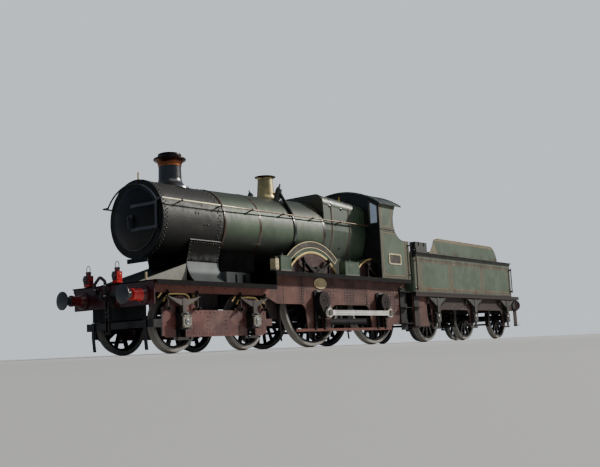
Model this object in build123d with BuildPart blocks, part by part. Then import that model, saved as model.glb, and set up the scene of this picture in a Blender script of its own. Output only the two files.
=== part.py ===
from build123d import *
import os
from math import sqrt

os.makedirs("parts", exist_ok=True)

# A four-coupled express tender locomotive with outside frames, a leading
# four-wheeled bogie and a six-wheeled tender.  +X is forward, +Y is the left
# side, +Z is up, in millimetres.  z = 0 is the tip of the wheel flanges and
# x = 0 is midway between the front and the rear buffer faces.

# ---------------------------------------------------------------- datums
RAIL = 28.6               # rail head above the flange tips
X_LEAD = 2825.0           # leading driving axle, from the middle of the length


def up(h):
    """Height above the rail head."""
    return RAIL + h


def at(x):
    """Distance ahead of the leading driving axle."""
    return X_LEAD + x


# ---------------------------------------------------------------- driving dimensions
Y_BACK = 680.0            # back of a wheel from the centre line
Y_FACE = 820.0            # outer face of a tyre
TYRE_T = 66.0             # tyre thickness at the tread
RIM_T = 46.0              # wheel rim under the tyre
FLANGE = 28.6             # flange height over the tread
SEAT_GAP = 0.2            # round the axle in the bores of wheels, webs and sheaves
JOINT_GAP = 0.5           # between plates that are bolted or riveted together

X_TRAIL = -2591.0         # trailing driving axle
DRIVER_R = 1022.0
BOGIE_R = 559.0
TENDER_R = 629.0
X_BOGIE_F, X_BOGIE_R = 4267.0, 2286.0
X_BOGIE = (X_BOGIE_F + X_BOGIE_R) / 2
TENDER_AXLES = (-5291.0, -7577.0, -9863.0)

FRAME_Y0, FRAME_Y1 = 985.0, 1015.0      # outside main frame plates
INNER_Y0, INNER_Y1 = 600.0, 625.0       # inside main frame plates
DECK_Y = 1215.0                          # half width over the running plates
DECK_LOW, DECK_HIGH = 1310.0, 1620.0     # tops of the running plates
DECK_T = 25.0
X_STEP = 1700.0                          # where the running plate steps up
X_BEAM = 5080.0                          # front face of the front buffer beam
X_CAB_F, X_CAB_R = -2460.0, -3880.0      # cab front and cab rear

BARREL_Z = 2610.0                        # smokebox centre
SMOKEBOX_R = 775.0
X_SMOKE_R, X_SMOKE_F = 2790.0, 4475.0
X_SADDLE_F = 3680.0                      # front of the saddle under the smokebox
DOOR_R = 630.0
HINGE_X, HINGE_Y = 4545.0, 650.0         # smokebox door hinge pin

CRANK_DX, CRANK_DZ = -100.0, -288.0      # left crankpins below the axle centres
CRANK_R = sqrt(CRANK_DX ** 2 + CRANK_DZ ** 2)
ROD_Y0, ROD_Y1 = 1206.0, 1262.0

BUFFER_Y, BUFFER_Z = 870.0, 1050.0
BUFFER_TIP = 510.0                       # beam face to buffer face

TANK_Y = 1205.0
X_TANK_F, X_TANK_R = -4050.0, -10280.0
TANK_TOP = 2240.0
TF_Y0, TF_Y1 = 1075.0, 1100.0            # tender frame plates
X_TBEAM = -10730.0                       # rear face of the rear buffer beam
X_PIN = -3800.0                          # pin that couples engine and tender

# ================================================================ wheels
# name, axle x, tread radius, spokes, spoke width, hub radius, axle radius, half length of axle
WHEELSETS = [
    ("bogie_leading_wheelset", X_BOGIE_F, BOGIE_R, 10, 62, 120, 75, 1110),
    ("bogie_trailing_wheelset", X_BOGIE_R, BOGIE_R, 10, 62, 120, 75, 1110),
    ("leading_driving_wheelset", 0.0, DRIVER_R, 22, 58, 200, 95, 1190),
    ("trailing_driving_wheelset", X_TRAIL, DRIVER_R, 22, 58, 200, 95, 1190),
    ("tender_leading_wheelset", TENDER_AXLES[0], TENDER_R, 12, 62, 130, 80, 1165),
    ("tender_middle_wheelset", TENDER_AXLES[1], TENDER_R, 12, 62, 130, 80, 1165),
    ("tender_trailing_wheelset", TENDER_AXLES[2], TENDER_R, 12, 62, 130, 80, 1165),
]
# side, crankpin offset along x, crankpin offset along z (the right side leads by a quarter turn)
CRANKS = [(1, CRANK_DX, CRANK_DZ), (-1, CRANK_DZ, -CRANK_DX)]

for name, x, r, spokes, spoke_w, hub_r, axle_r, axle_y in WHEELSETS:
    zc = up(r)
    rim_in = r - TYRE_T - RIM_T
    y_mid = (Y_BACK + Y_FACE) / 2
    driver = r == DRIVER_R
    with BuildPart() as wheelset:
        # tyres with flanges and rims, and hubs bored for the axle, turned about the axle line
        with BuildSketch(Plane.YZ.offset(at(x))):
            for side in (1, -1):
                with BuildLine():
                    Polyline(
                        (side * Y_BACK, zc + rim_in),
                        (side * Y_BACK, zc + r + FLANGE - 10),
                        (side * (Y_BACK + 8), zc + r + FLANGE),
                        (side * (Y_BACK + 22), zc + r + FLANGE),
                        (side * (Y_BACK + 34), zc + r + 2),
                        (side * (Y_FACE - 6), zc + r - 3),
                        (side * Y_FACE, zc + r - 9),
                        (side * Y_FACE, zc + r - TYRE_T),
                        (side * (Y_FACE - 12), zc + r - TYRE_T),
                        (side * (Y_FACE - 12), zc + rim_in),
                        close=True,
                    )
                make_face()
                with BuildLine():
                    Polyline(
                        (side * (Y_BACK - 4), zc + axle_r + 12 + SEAT_GAP),
                        (side * (Y_BACK - 4), zc + hub_r),
                        (side * (Y_FACE - 10), zc + hub_r),
                        (side * (Y_FACE + 18), zc + hub_r - 25),
                        (side * (Y_FACE + 18), zc + axle_r + 12 + SEAT_GAP),
                        close=True,
                    )
                make_face()
        revolve(axis=Axis((at(x), 0, zc), (0, 1, 0)))
        for side in (1, -1):
            # spokes
            length = rim_in - hub_r + 30
            with BuildSketch(Plane.XZ.offset(-side * y_mid)):
                with Locations((at(x), zc)):
                    with PolarLocations(hub_r - 15 + length / 2, spokes):
                        Rectangle(length, spoke_w)
            extrude(amount=30 if driver else 34, both=True)
        # the axle, thicker between the outer faces of the hubs
        with BuildSketch(Plane.YZ.offset(at(x))):
            with BuildLine():
                Polyline(
                    (-axle_y, zc), (-axle_y, zc + axle_r), (-Y_FACE - 18, zc + axle_r),
                    (-Y_FACE - 18, zc + axle_r + 12), (Y_FACE + 18, zc + axle_r + 12),
                    (Y_FACE + 18, zc + axle_r), (axle_y, zc + axle_r), (axle_y, zc), close=True,
                )
            make_face()
        revolve(axis=Axis((at(x), 0, zc), (0, 1, 0)))
        if driver:
            for side, dx, dz in CRANKS:
                # balance weight, a segment of the rim opposite the crankpin
                with BuildSketch(Plane.XZ.offset(-side * y_mid)):
                    with Locations((at(x), zc)):
                        Circle(rim_in + 8)
                    with Locations(Location((at(x) - dx / CRANK_R * rim_in * 1.18,
                                             zc - dz / CRANK_R * rim_in * 1.18))):
                        Circle(rim_in * 0.62, mode=Mode.INTERSECT)
                extrude(amount=38, both=True)
                # outside crank web on the axle end, with its crankpin and collar
                with BuildSketch(Plane.XZ.offset(-side * 1195)):
                    with BuildLine():
                        with Locations((at(x), zc)):
                            CenterArc((at(x), zc), 198, 0, 360)
                        CenterArc((at(x) + dx, zc + dz), 118, 0, 360)
                    make_hull()
                    with Locations((at(x), zc)):
                        Circle(axle_r + SEAT_GAP, mode=Mode.SUBTRACT)
                extrude(amount=side * 135)
                with BuildSketch(Plane.XZ.offset(-side * 1195)):
                    with Locations((at(x) + dx, zc + dz)):
                        Circle(50)
                extrude(amount=-side * (ROD_Y1 + 4 - 1195))
                with BuildSketch(Plane.XZ.offset(-side * (ROD_Y1 + 4))):
                    with Locations((at(x) + dx, zc + dz)):
                        Circle(72)
                extrude(amount=-side * 26)
        if driver and x == 0.0:
            # crank webs and pins for the inside cylinders, and the eccentric sheaves
            for y0, y1, dz, dx in ((150, 255, 312, 108), (375, 480, 312, 108),
                                   (-255, -150, -108, 312), (-480, -375, -108, 312)):
                with BuildSketch(Plane.XZ.offset(-y0)):
                    with BuildLine():
                        CenterArc((at(x), zc), 170, 0, 360)
                        CenterArc((at(x) + dx, zc + dz), 140, 0, 360)
                    make_hull()
                    with Locations((at(x), zc)):
                        Circle(axle_r + 12 + SEAT_GAP, mode=Mode.SUBTRACT)
                extrude(amount=-(y1 - y0))
            for y0, y1, dz, dx in ((255, 375, 312, 108), (-375, -255, -108, 312)):
                with BuildSketch(Plane.XZ.offset(-y0)):
                    with Locations((at(x) + dx, zc + dz)):
                        Circle(100)
                extrude(amount=-(y1 - y0))
            for y0, y1, dx, dz in ((10, 60, 70, -40), (80, 130, -70, 40),
                                   (-60, -10, 40, 70), (-130, -80, -40, -70)):
                with BuildSketch(Plane.XZ.offset(-y0)):
                    with Locations((at(x) + dx, zc + dz)):
                        Circle(195)
                    with Locations((at(x), zc)):
                        Circle(axle_r + 12 + SEAT_GAP, mode=Mode.SUBTRACT)
                extrude(amount=-(y1 - y0))
    wheelset.part.label = name
    export_step(wheelset.part, f"parts/{name}.step")

# ================================================================ coupling rods
# name, side, crankpin offset along x and z
for name, side, dx, dz in (("left_coupling_rod", 1, CRANK_DX, CRANK_DZ),
                           ("right_coupling_rod", -1, CRANK_DZ, -CRANK_DX)):
    pins = [(at(0) + dx, up(DRIVER_R) + dz), (at(X_TRAIL) + dx, up(DRIVER_R) + dz)]
    mid = ((pins[0][0] + pins[1][0]) / 2, pins[0][1])
    with BuildPart() as coupling_rod:
        with BuildSketch(Plane.XZ.offset(-side * (ROD_Y0 + ROD_Y1) / 2)):
            with Locations(*pins):
                Circle(104)
            with Locations(mid):
                Rectangle(-X_TRAIL, 116)
            with Locations(*pins):
                Circle(53, mode=Mode.SUBTRACT)
        extrude(amount=(ROD_Y1 - ROD_Y0) / 2, both=True)
        # flutes milled in both faces
        for face in (ROD_Y0, ROD_Y1):
            with BuildSketch(Plane.XZ.offset(-side * face)):
                with Locations(mid):
                    SlotOverall(-X_TRAIL - 330, 62)
            extrude(amount=12, both=True, mode=Mode.SUBTRACT)
        # oil cups on the ends
        for px, pz in pins:
            with BuildSketch(Plane.XY.offset(pz + 98)):
                with Locations((px, side * (ROD_Y0 + ROD_Y1) / 2)):
                    Circle(17)
            extrude(amount=34)
    coupling_rod.part.label = name
    export_step(coupling_rod.part, f"parts/{name}.step")

# ================================================================ main frames
LEG_TOP, LEG_FOOT = 930.0, 330.0
with BuildPart() as outside_frames:
    with BuildSketch(Plane.XZ.offset(-FRAME_Y1)):
        with BuildLine():
            Polyline((at(X_BEAM - 30), up(1090)), (at(X_BEAM - 30), up(1275)), (at(X_STEP - 6), up(1275)),
                     (at(X_STEP - 6), up(1590)), (at(X_CAB_R + 20), up(1590)), (at(X_CAB_R + 20), up(450)),
                     (at(-3150), up(450)), (at(-3020), up(LEG_FOOT)), (at(-2190), up(LEG_FOOT)),
                     (at(-2120), up(700)))
            ThreePointArc((at(-2120), up(700)), (at(-2050), up(870)), (at(-1900), up(LEG_TOP)))
            Line((at(-1900), up(LEG_TOP)), (at(-690), up(LEG_TOP)))
            ThreePointArc((at(-690), up(LEG_TOP)), (at(-545), up(870)), (at(-470), up(700)))
            Polyline((at(-470), up(700)), (at(-420), up(LEG_FOOT)), (at(420), up(LEG_FOOT)),
                     (at(470), up(700)))
            ThreePointArc((at(470), up(700)), (at(530), up(870)), (at(660), up(LEG_TOP)))
            Line((at(660), up(LEG_TOP)), (at(1480), up(LEG_TOP)))
            ThreePointArc((at(1480), up(LEG_TOP)), (at(1680), up(1010)), (at(1900), up(1090)))
            Line((at(1900), up(1090)), (at(X_BEAM - 30), up(1090)))
        make_face()
        # horn gaps for the axleboxes
        for axle in (0.0, X_TRAIL):
            with Locations((at(axle), up((LEG_FOOT - 20 + 1210) / 2))):
                Rectangle(280, 1210 - (LEG_FOOT - 20), mode=Mode.SUBTRACT)
    extrude(amount=FRAME_Y1 - FRAME_Y0)
    mirror(about=Plane.XZ)
    # tie bars across the feet of the horn legs
    with BuildSketch(Plane.XZ.offset(-(FRAME_Y1 + 22))):
        with Locations((at(-1090), up(355))):
            Rectangle(3940, 62)
    extrude(amount=22)
    mirror(about=Plane.XZ)
    # cab steps: plates hung from the frames with three treads each
    with BuildSketch(Plane.XZ.offset(-1040)):
        with Locations((at(-3690), up(860))):
            Rectangle(300, 1100)
    extrude(amount=14)
    for z, depth in ((1290, 130), (880, 150), (470, 175)):
        with BuildSketch(Plane.XY.offset(up(z))):
            with Locations((at(-3690), 1040 + depth / 2)):
                Rectangle(330, depth)
        extrude(amount=16)
        with BuildSketch(Plane.XY.offset(up(z))):
            with Locations((at(-3690), 1045)):
                Rectangle(330, 12)
        extrude(amount=110)
    mirror(about=Plane.XZ)
outside_frames.part.label = "outside_frames"
export_step(outside_frames.part, "parts/outside_frames.step")

# stretchers that join the four frame plates: x from, x to, z from, z to
STRETCHERS = [(1150, 1190, 900, 1560), (-560, -600, 900, 1560), (-2790, -2830, 950, 1560),
              (-3300, -3340, 720, 1560)]
with BuildPart() as inside_frames:
    with BuildSketch(Plane.XZ.offset(-INNER_Y1)):
        with BuildLine():
            Polyline((at(X_BEAM - 30), up(1180)), (at(X_BEAM - 30), up(1280)), (at(X_STEP - 6), up(1280)),
                     (at(X_STEP - 6), up(1590)), (at(X_CAB_R + 20), up(1590)), (at(X_CAB_R + 20), up(700)),
                     (at(-3100), up(620)), (at(1250), up(620)), (at(1560), up(1180)), (at(2900), up(1180)),
                     (at(2900), up(800)), (at(3640), up(800)), (at(3640), up(1180)), close=True)
        make_face()
        for axle in (0.0, X_TRAIL):
            with Locations((at(axle), up((600 + 1170) / 2))):
                Rectangle(236, 1170 - 600, mode=Mode.SUBTRACT)
    extrude(amount=INNER_Y1 - INNER_Y0)
    mirror(about=Plane.XZ)
    for x0, x1, z0, z1 in STRETCHERS:
        with BuildSketch(Plane.XY.offset(up(z0))):
            with Locations((at((x0 + x1) / 2), 0)):
                Rectangle(abs(x1 - x0), 2 * (INNER_Y0 - JOINT_GAP))
        extrude(amount=z1 - z0)
    # drag box at the rear of the engine, with the pin that takes the drawbar
    for z in (930, 1120):
        with BuildSketch(Plane.XY.offset(up(z))):
            with Locations((at(-3700), 0)):
                Rectangle(320, 2 * (INNER_Y0 - 1))
            with Locations((at(X_PIN), 0)):
                Circle(34 + SEAT_GAP, mode=Mode.SUBTRACT)
        extrude(amount=30)
    with BuildSketch(Plane.XY.offset(up(900))):
        with Locations((at(X_PIN), 0)):
            Circle(34)
    extrude(amount=290)
    with BuildSketch(Plane.XY.offset(up(960 + JOINT_GAP))):
        with Locations((at(-3546), 0)):
            Rectangle(12, 2 * (INNER_Y0 - 1))
    extrude(amount=160 - 2 * JOINT_GAP)
inside_frames.part.label = "inside_frames"
export_step(inside_frames.part, "parts/inside_frames.step")

# axleboxes in the horn gaps, each bored for its journal
with BuildPart() as driving_axleboxes:
    for axle in (0.0, X_TRAIL):
        with BuildSketch(Plane.XZ.offset(-(FRAME_Y1 + 14))):
            with Locations((at(axle), up(DRIVER_R))):
                Rectangle(276, 330)
                Circle(97, mode=Mode.SUBTRACT)
        extrude(amount=105)
    mirror(about=Plane.XZ)
driving_axleboxes.part.label = "driving_axleboxes"
export_step(driving_axleboxes.part, "parts/driving_axleboxes.step")

# leaf springs over the axleboxes, with their buckles, pillars and end hangers
SPRING_HALF, SPRING_Y = 500.0, 1000.0
with BuildPart() as driving_springs:
    for axle in (0.0, X_TRAIL):
        # leaf number, half length, height at the middle
        for leaf in range(6):
            half = SPRING_HALF - leaf * 70
            drop = 1735 - leaf * 17
            sag = 200 * (half / SPRING_HALF) ** 2
            with BuildSketch(Plane.XZ.offset(-(SPRING_Y + 50))):
                with BuildLine():
                    ThreePointArc((at(axle - half), up(drop + sag)), (at(axle), up(drop)),
                                  (at(axle + half), up(drop + sag)))
                    Line((at(axle + half), up(drop + sag)), (at(axle + half), up(drop + sag - 17)))
                    ThreePointArc((at(axle + half), up(drop + sag - 17)), (at(axle), up(drop - 17)),
                                  (at(axle - half), up(drop + sag - 17)))
                    Line((at(axle - half), up(drop + sag - 17)), (at(axle - half), up(drop + sag)))
                make_face()
            extrude(amount=100)
        with BuildSketch(Plane.XY.offset(up(1625))):
            with Locations((at(axle), SPRING_Y)):
                Rectangle(110, 118)
        extrude(amount=130)
        for end in (-1, 1):
            with BuildSketch(Plane.XY.offset(up(DECK_HIGH))):
                with Locations((at(axle + end * (SPRING_HALF - 30)), SPRING_Y)):
                    Circle(19)
            extrude(amount=380)
            with BuildSketch(Plane.XY.offset(up(1935))):
                with Locations((at(axle + end * (SPRING_HALF - 30)), SPRING_Y)):
                    Rectangle(90, 112)
            extrude(amount=40)
            with BuildSketch(Plane.XY.offset(up(DECK_HIGH))):
                with Locations((at(axle + end * (SPRING_HALF - 30)), SPRING_Y)):
                    Rectangle(120, 90)
            extrude(amount=36)
    mirror(about=Plane.XZ)
driving_springs.part.label = "driving_springs"
export_step(driving_springs.part, "parts/driving_springs.step")

# ================================================================ running plates
WHEEL_SLOT = 935.0
with BuildPart() as running_plates:
    # low plate over the bogie
    with BuildSketch(Plane.XY.offset(up(DECK_LOW - DECK_T))):
        with Locations((at((X_BEAM + X_STEP) / 2), 0)):
            Rectangle(X_BEAM - X_STEP, 2 * DECK_Y)
    extrude(amount=DECK_T)
    # riser, from frame to frame
    with BuildSketch(Plane.XY.offset(up(DECK_LOW - DECK_T))):
        with Locations((at(X_STEP), 0)):
            Rectangle(12, 2 * DECK_Y)
    extrude(amount=DECK_HIGH - DECK_LOW + DECK_T)
    # high plates along both sides, with slots where the wheels rise through them
    with BuildSketch(Plane.XY.offset(up(DECK_HIGH - DECK_T))):
        for side in (1, -1):
            with Locations((at((X_STEP + X_CAB_R) / 2), side * (INNER_Y0 + DECK_Y) / 2)):
                Rectangle(X_STEP - X_CAB_R, DECK_Y - INNER_Y0)
            for axle in (0.0, X_TRAIL):
                with Locations((at(axle), side * 752)):
                    Rectangle(2 * WHEEL_SLOT, 256, mode=Mode.SUBTRACT)
        with Locations((at(X_STEP - 260), 0), (at(X_CAB_R + 700), 0)):
            Rectangle(520, 2 * INNER_Y0)
    extrude(amount=DECK_T)
    # edge angles
    for side in (1, -1):
        with BuildSketch(Plane.XY.offset(up(DECK_LOW - 95))):
            with Locations((at((X_BEAM - 30 + X_STEP) / 2), side * (DECK_Y - 7))):
                Rectangle(X_BEAM - 30 - X_STEP, 14)
        extrude(amount=95)
        with BuildSketch(Plane.XY.offset(up(DECK_HIGH - 100))):
            with Locations((at((X_STEP + X_CAB_R) / 2), side * (DECK_Y - 7))):
                Rectangle(X_STEP - X_CAB_R, 14)
        extrude(amount=100)
running_plates.part.label = "running_plates"
export_step(running_plates.part, "parts/running_plates.step")

# ================================================================ front end
with BuildPart() as front_buffer_beam:
    with BuildSketch(Plane.YZ.offset(at(X_BEAM - 30))):
        with Locations((0, up((860 + DECK_LOW - DECK_T) / 2))):
            RectangleRounded(2 * 1150, DECK_LOW - DECK_T - 860, 18)
    extrude(amount=30)
    # gussets to the frame plates
    for side in (1, -1):
        with BuildSketch(Plane.XZ.offset(-side * 800)):
            with BuildLine():
                Polyline((at(X_BEAM - 30), up(900)), (at(X_BEAM - 30), up(1180)), (at(X_BEAM - 180), up(1180)),
                         close=True)
            make_face()
        extrude(amount=12, both=True)
front_buffer_beam.part.label = "front_buffer_beam"
export_step(front_buffer_beam.part, "parts/front_buffer_beam.step")

# buffers, the same at both ends: name, x of the beam face, direction they point
for prefix, x_face, way in (("front", X_BEAM, 1), ("tender", X_TBEAM, -1)):
    with BuildPart() as buffers:
        for side in (1, -1):
            with BuildSketch(Plane(origin=(at(x_face), side * BUFFER_Y, up(BUFFER_Z)), x_dir=(way, 0, 0),
                                   z_dir=(0, -way, 0))):
                with BuildLine():
                    Polyline((0, 0), (0, 172), (26, 172), (34, 140), (120, 108), (250, 96), (262, 110),
                             (300, 110), (300, 0), close=True)
                make_face()
            revolve(axis=Axis((at(x_face), side * BUFFER_Y, up(BUFFER_Z)), (1, 0, 0)))
        for side in (1, -1):
            with BuildSketch(Plane(origin=(at(x_face), side * BUFFER_Y, up(BUFFER_Z)), x_dir=(way, 0, 0),
                                   z_dir=(0, -way, 0))):
                with BuildLine():
                    Polyline((300, 0), (300, 78), (440, 78), (474, 120), (480, 178), (494, 178), (504, 120),
                             (BUFFER_TIP, 50), (BUFFER_TIP, 0), close=True)
                make_face()
            revolve(axis=Axis((at(x_face), side * BUFFER_Y, up(BUFFER_Z)), (1, 0, 0)))
    buffers.part.label = f"{prefix}_buffers"
    export_step(buffers.part, f"parts/{prefix}_buffers.step")

    # draw hook in its guide plate, and the screw coupling that hangs from it
    with BuildPart() as draw_gear:
        with BuildSketch(Plane.YZ.offset(at(x_face))):
            with Locations((0, up(BUFFER_Z))):
                RectangleRounded(230, 260, 24)
        extrude(amount=way * 22)
        with BuildSketch(Plane.XZ.offset(-22)):
            with BuildLine():
                Polyline((at(x_face), up(BUFFER_Z - 32)), (at(x_face + way * 190), up(BUFFER_Z - 60)),
                         (at(x_face + way * 262), up(BUFFER_Z - 42)))
                ThreePointArc((at(x_face + way * 262), up(BUFFER_Z - 42)),
                              (at(x_face + way * 292), up(BUFFER_Z + 30)),
                              (at(x_face + way * 268), up(BUFFER_Z + 105)))
                Line((at(x_face + way * 268), up(BUFFER_Z + 105)), (at(x_face + way * 235), up(BUFFER_Z + 88)))
                ThreePointArc((at(x_face + way * 235), up(BUFFER_Z + 88)),
                              (at(x_face + way * 232), up(BUFFER_Z + 22)),
                              (at(x_face + way * 170), up(BUFFER_Z + 34)))
                Polyline((at(x_face + way * 170), up(BUFFER_Z + 34)), (at(x_face), up(BUFFER_Z + 32)),
                         (at(x_face), up(BUFFER_Z - 32)))
            make_face()
            with Locations((at(x_face + way * 110), up(BUFFER_Z))):
                Circle(21, mode=Mode.SUBTRACT)
        extrude(amount=44)
        # upper links on the hook's pin, the screw between its nuts, and the lower shackle
        with BuildSketch(Plane.XZ.offset(-60)):
            with Locations((at(x_face + way * 110), up(BUFFER_Z))):
                Circle(20)
        extrude(amount=120)
        for side in (1, -1):
            with BuildSketch(Plane.XZ.offset(-side * 34)):
                with Locations((at(x_face + way * 110), up(BUFFER_Z - 130))):
                    SlotOverall(330, 62, rotation=90)
            extrude(amount=-side * 22)
            with BuildSketch(Plane.XZ.offset(-side * 34)):
                with Locations((at(x_face + way * 110), up(BUFFER_Z - 480))):
                    SlotOverall(390, 50, rotation=90)
            extrude(amount=-side * 22)
        with BuildSketch(Plane.XY.offset(up(BUFFER_Z - 420))):
            with Locations((at(x_face + way * 110), 0)):
                Circle(20)
        extrude(amount=240)
        for h in (-265, -345):
            with BuildSketch(Plane.XZ.offset(-70)):
                with Locations((at(x_face + way * 110), up(BUFFER_Z + h))):
                    Circle(30)
            extrude(amount=140)
        with BuildSketch(Plane.XZ.offset(-56)):
            with Locations((at(x_face + way * 110), up(BUFFER_Z - 660))):
                Circle(26)
        extrude(amount=112)
    draw_gear.part.label = f"{prefix}_draw_gear"
    export_step(draw_gear.part, f"parts/{prefix}_draw_gear.step")

# brake pipe: a standpipe on the beam with its hose looped down to a plug
HOSE_R = 30.0
# name, x of the beam face, direction, y of the standpipe, y of the plug
for prefix, x_face, way, y_pipe, y_plug in (("front", X_BEAM, 1, -135.0, -430.0),
                                            ("tender", X_TBEAM, -1, -430.0, -205.0)):
    reach = y_plug - y_pipe
    with BuildPart() as brake_hose:
        with BuildLine(Plane.YZ.offset(at(x_face + way * 62))) as route:
            FilletPolyline((y_pipe, up(880)), (y_pipe, up(1375)), (y_pipe + reach * 0.5, up(1470)),
                           (y_pipe + reach * 1.08, up(1330)), (y_plug, up(1180)), radius=62)
        with BuildSketch(Plane.XY.offset(up(880))):
            with Locations((at(x_face + way * 62), y_pipe)):
                Circle(HOSE_R)
        sweep(path=route.wires()[0])
        with BuildSketch(Plane.YZ.offset(at(x_face))):
            with Locations((y_pipe, up(896)), (y_plug, up(1175))):
                Rectangle(100, 36)
        extrude(amount=way * 66)
        with BuildSketch(Plane.XY.offset(up(1130))):
            with Locations((at(x_face + way * 62), y_plug)):
                Circle(44)
        extrude(amount=90)
    brake_hose.part.label = f"{prefix}_brake_hose"
    export_step(brake_hose.part, f"parts/{prefix}_brake_hose.step")

# ================================================================ smokebox
with BuildPart() as smokebox:
    with BuildSketch(Plane.YZ.offset(at(X_SMOKE_R))):
        with Locations((0, up(BARREL_Z))):
            Circle(SMOKEBOX_R)
            Circle(SMOKEBOX_R - 13, mode=Mode.SUBTRACT)
    extrude(amount=X_SMOKE_F - 35 - X_SMOKE_R)
    # front ring around the door opening
    with BuildSketch(Plane.YZ.offset(at(X_SMOKE_F - 35))):
        with Locations((0, up(BARREL_Z))):
            Circle(SMOKEBOX_R + 8)
        # flat foot of the ring
        with Locations((0, up(1795))):
            Rectangle(580, 90)
        with Locations((0, up(BARREL_Z))):
            Circle(DOOR_R - 30, mode=Mode.SUBTRACT)
    extrude(amount=35)
    # hole under the chimney
    with BuildSketch(Plane.XY.offset(up(BARREL_Z + 600))):
        with Locations((at(3550), 0)):
            Circle(215)
    extrude(amount=250, mode=Mode.SUBTRACT)
    # hinge lugs on the smokebox front, with the hinge pin
    for h in (-312, 270):
        with BuildSketch(Plane.XY.offset(up(BARREL_Z + h))):
            with BuildLine():
                Polyline((at(X_SMOKE_F), HINGE_Y - 42), (at(X_SMOKE_F), HINGE_Y + 42),
                         (at(HINGE_X + 24), HINGE_Y + 26), (at(HINGE_X + 24), HINGE_Y - 26), close=True)
            make_face()
        extrude(amount=42)
    with BuildSketch(Plane.XY.offset(up(BARREL_Z - 312))):
        with Locations((at(HINGE_X), HINGE_Y)):
            Circle(13)
    extrude(amount=624)
smokebox.part.label = "smokebox"
export_step(smokebox.part, "parts/smokebox.step")

with BuildPart() as smokebox_inside:
    with BuildSketch(Plane.YZ.offset(at(X_SMOKE_R))):
        with Locations((0, up(BARREL_Z))):
            Circle(SMOKEBOX_R - 14)
    extrude(amount=22)
    with BuildSketch(Plane.YZ.offset(at(X_SMOKE_R + 22))):
        with Locations((0, up(BARREL_Z - 120))):
            with GridLocations(118, 104, 9, 7):
                Circle(26)
                Circle(20, mode=Mode.SUBTRACT)
    extrude(amount=8)
    with BuildSketch(Plane.XZ):
        with BuildLine():
            Polyline((at(3550), up(1872)), (at(3710), up(1872)), (at(3710), up(1905)), (at(3640), up(1960)),
                     (at(3620), up(2560)), (at(3660), up(2560)), (at(3660), up(2600)), (at(3615), up(2680)),
                     (at(3550), up(2680)), close=True)
        make_face()
    revolve(axis=Axis((at(3550), 0, 0), (0, 0, 1)))
smokebox_inside.part.label = "smokebox_inside"
export_step(smokebox_inside.part, "parts/smokebox_inside.step")


# door: a dished plate with a flat rim, hinged on the engine's left side
with BuildPart() as smokebox_door:
    with BuildSketch(Plane.XZ):
        with BuildLine():
            Line((at(X_SMOKE_F + 4), up(BARREL_Z)), (at(X_SMOKE_F + 4), up(BARREL_Z + DOOR_R)))
            Line((at(X_SMOKE_F + 4), up(BARREL_Z + DOOR_R)), (at(X_SMOKE_F + 22), up(BARREL_Z + DOOR_R)))
            Line((at(X_SMOKE_F + 22), up(BARREL_Z + DOOR_R)), (at(X_SMOKE_F + 30), up(BARREL_Z + DOOR_R - 40)))
            ThreePointArc((at(X_SMOKE_F + 30), up(BARREL_Z + DOOR_R - 40)),
                          (at(X_SMOKE_F + 92), up(BARREL_Z + 330)), (at(X_SMOKE_F + 112), up(BARREL_Z + 50)))
            Polyline((at(X_SMOKE_F + 112), up(BARREL_Z + 50)), (at(X_SMOKE_F + 112), up(BARREL_Z)),
                     (at(X_SMOKE_F + 4), up(BARREL_Z)))
        make_face()
    revolve(axis=Axis((0, 0, up(BARREL_Z)), (1, 0, 0)))
smokebox_door.part.label = "smokebox_door"
export_step(smokebox_door.part, "parts/smokebox_door.step")

# hinge straps across the door, joined by the upright hinge bar
with BuildPart() as door_hinge_straps:
    for h in (-232, 232):
        with BuildSketch(Plane.XY.offset(up(BARREL_Z + h - 30))):
            with BuildLine():
                Polyline((at(X_SMOKE_F + 88), -20), (at(X_SMOKE_F + 122), -20), (at(X_SMOKE_F + 118), 200),
                         (at(X_SMOKE_F + 94), 420), (at(HINGE_X + 22), HINGE_Y + 20),
                         (at(HINGE_X - 18), HINGE_Y + 20), (at(HINGE_X - 18), HINGE_Y - 30),
                         (at(X_SMOKE_F + 70), 420), (at(X_SMOKE_F + 84), 200), close=True)
            make_face()
        extrude(amount=60)
    with BuildSketch(Plane.XY.offset(up(BARREL_Z - 262))):
        with Locations((at(HINGE_X), HINGE_Y)):
            Circle(24)
    extrude(amount=524)
    with BuildSketch(Plane.XY.offset(up(BARREL_Z - 330))):
        with Locations((at(HINGE_X), HINGE_Y)):
            Circle(14)
    extrude(amount=660, mode=Mode.SUBTRACT)
    # central dart with its two handles
    with BuildSketch(Plane.YZ.offset(at(X_SMOKE_F + 126))):
        with Locations((0, up(BARREL_Z))):
            Circle(62)
    extrude(amount=20)
    with BuildSketch(Plane.YZ.offset(at(X_SMOKE_F + 110))):
        with Locations((0, up(BARREL_Z))):
            Circle(26)
    extrude(amount=110)
    for x0, angle in ((X_SMOKE_F + 160, 262), (X_SMOKE_F + 194, 277)):
        with BuildSketch(Plane.YZ.offset(at(x0))):
            with Locations(Location((0, up(BARREL_Z), 0), (0, 0, angle))):
                with Locations((96, 0)):
                    SlotOverall(240, 28)
        extrude(amount=24)
    # the door's own thickness is cleared from the back of the straps
    add(smokebox_door.part, mode=Mode.SUBTRACT)
door_hinge_straps.part.label = "door_hinge_straps"
export_step(door_hinge_straps.part, "parts/door_hinge_straps.step")

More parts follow.
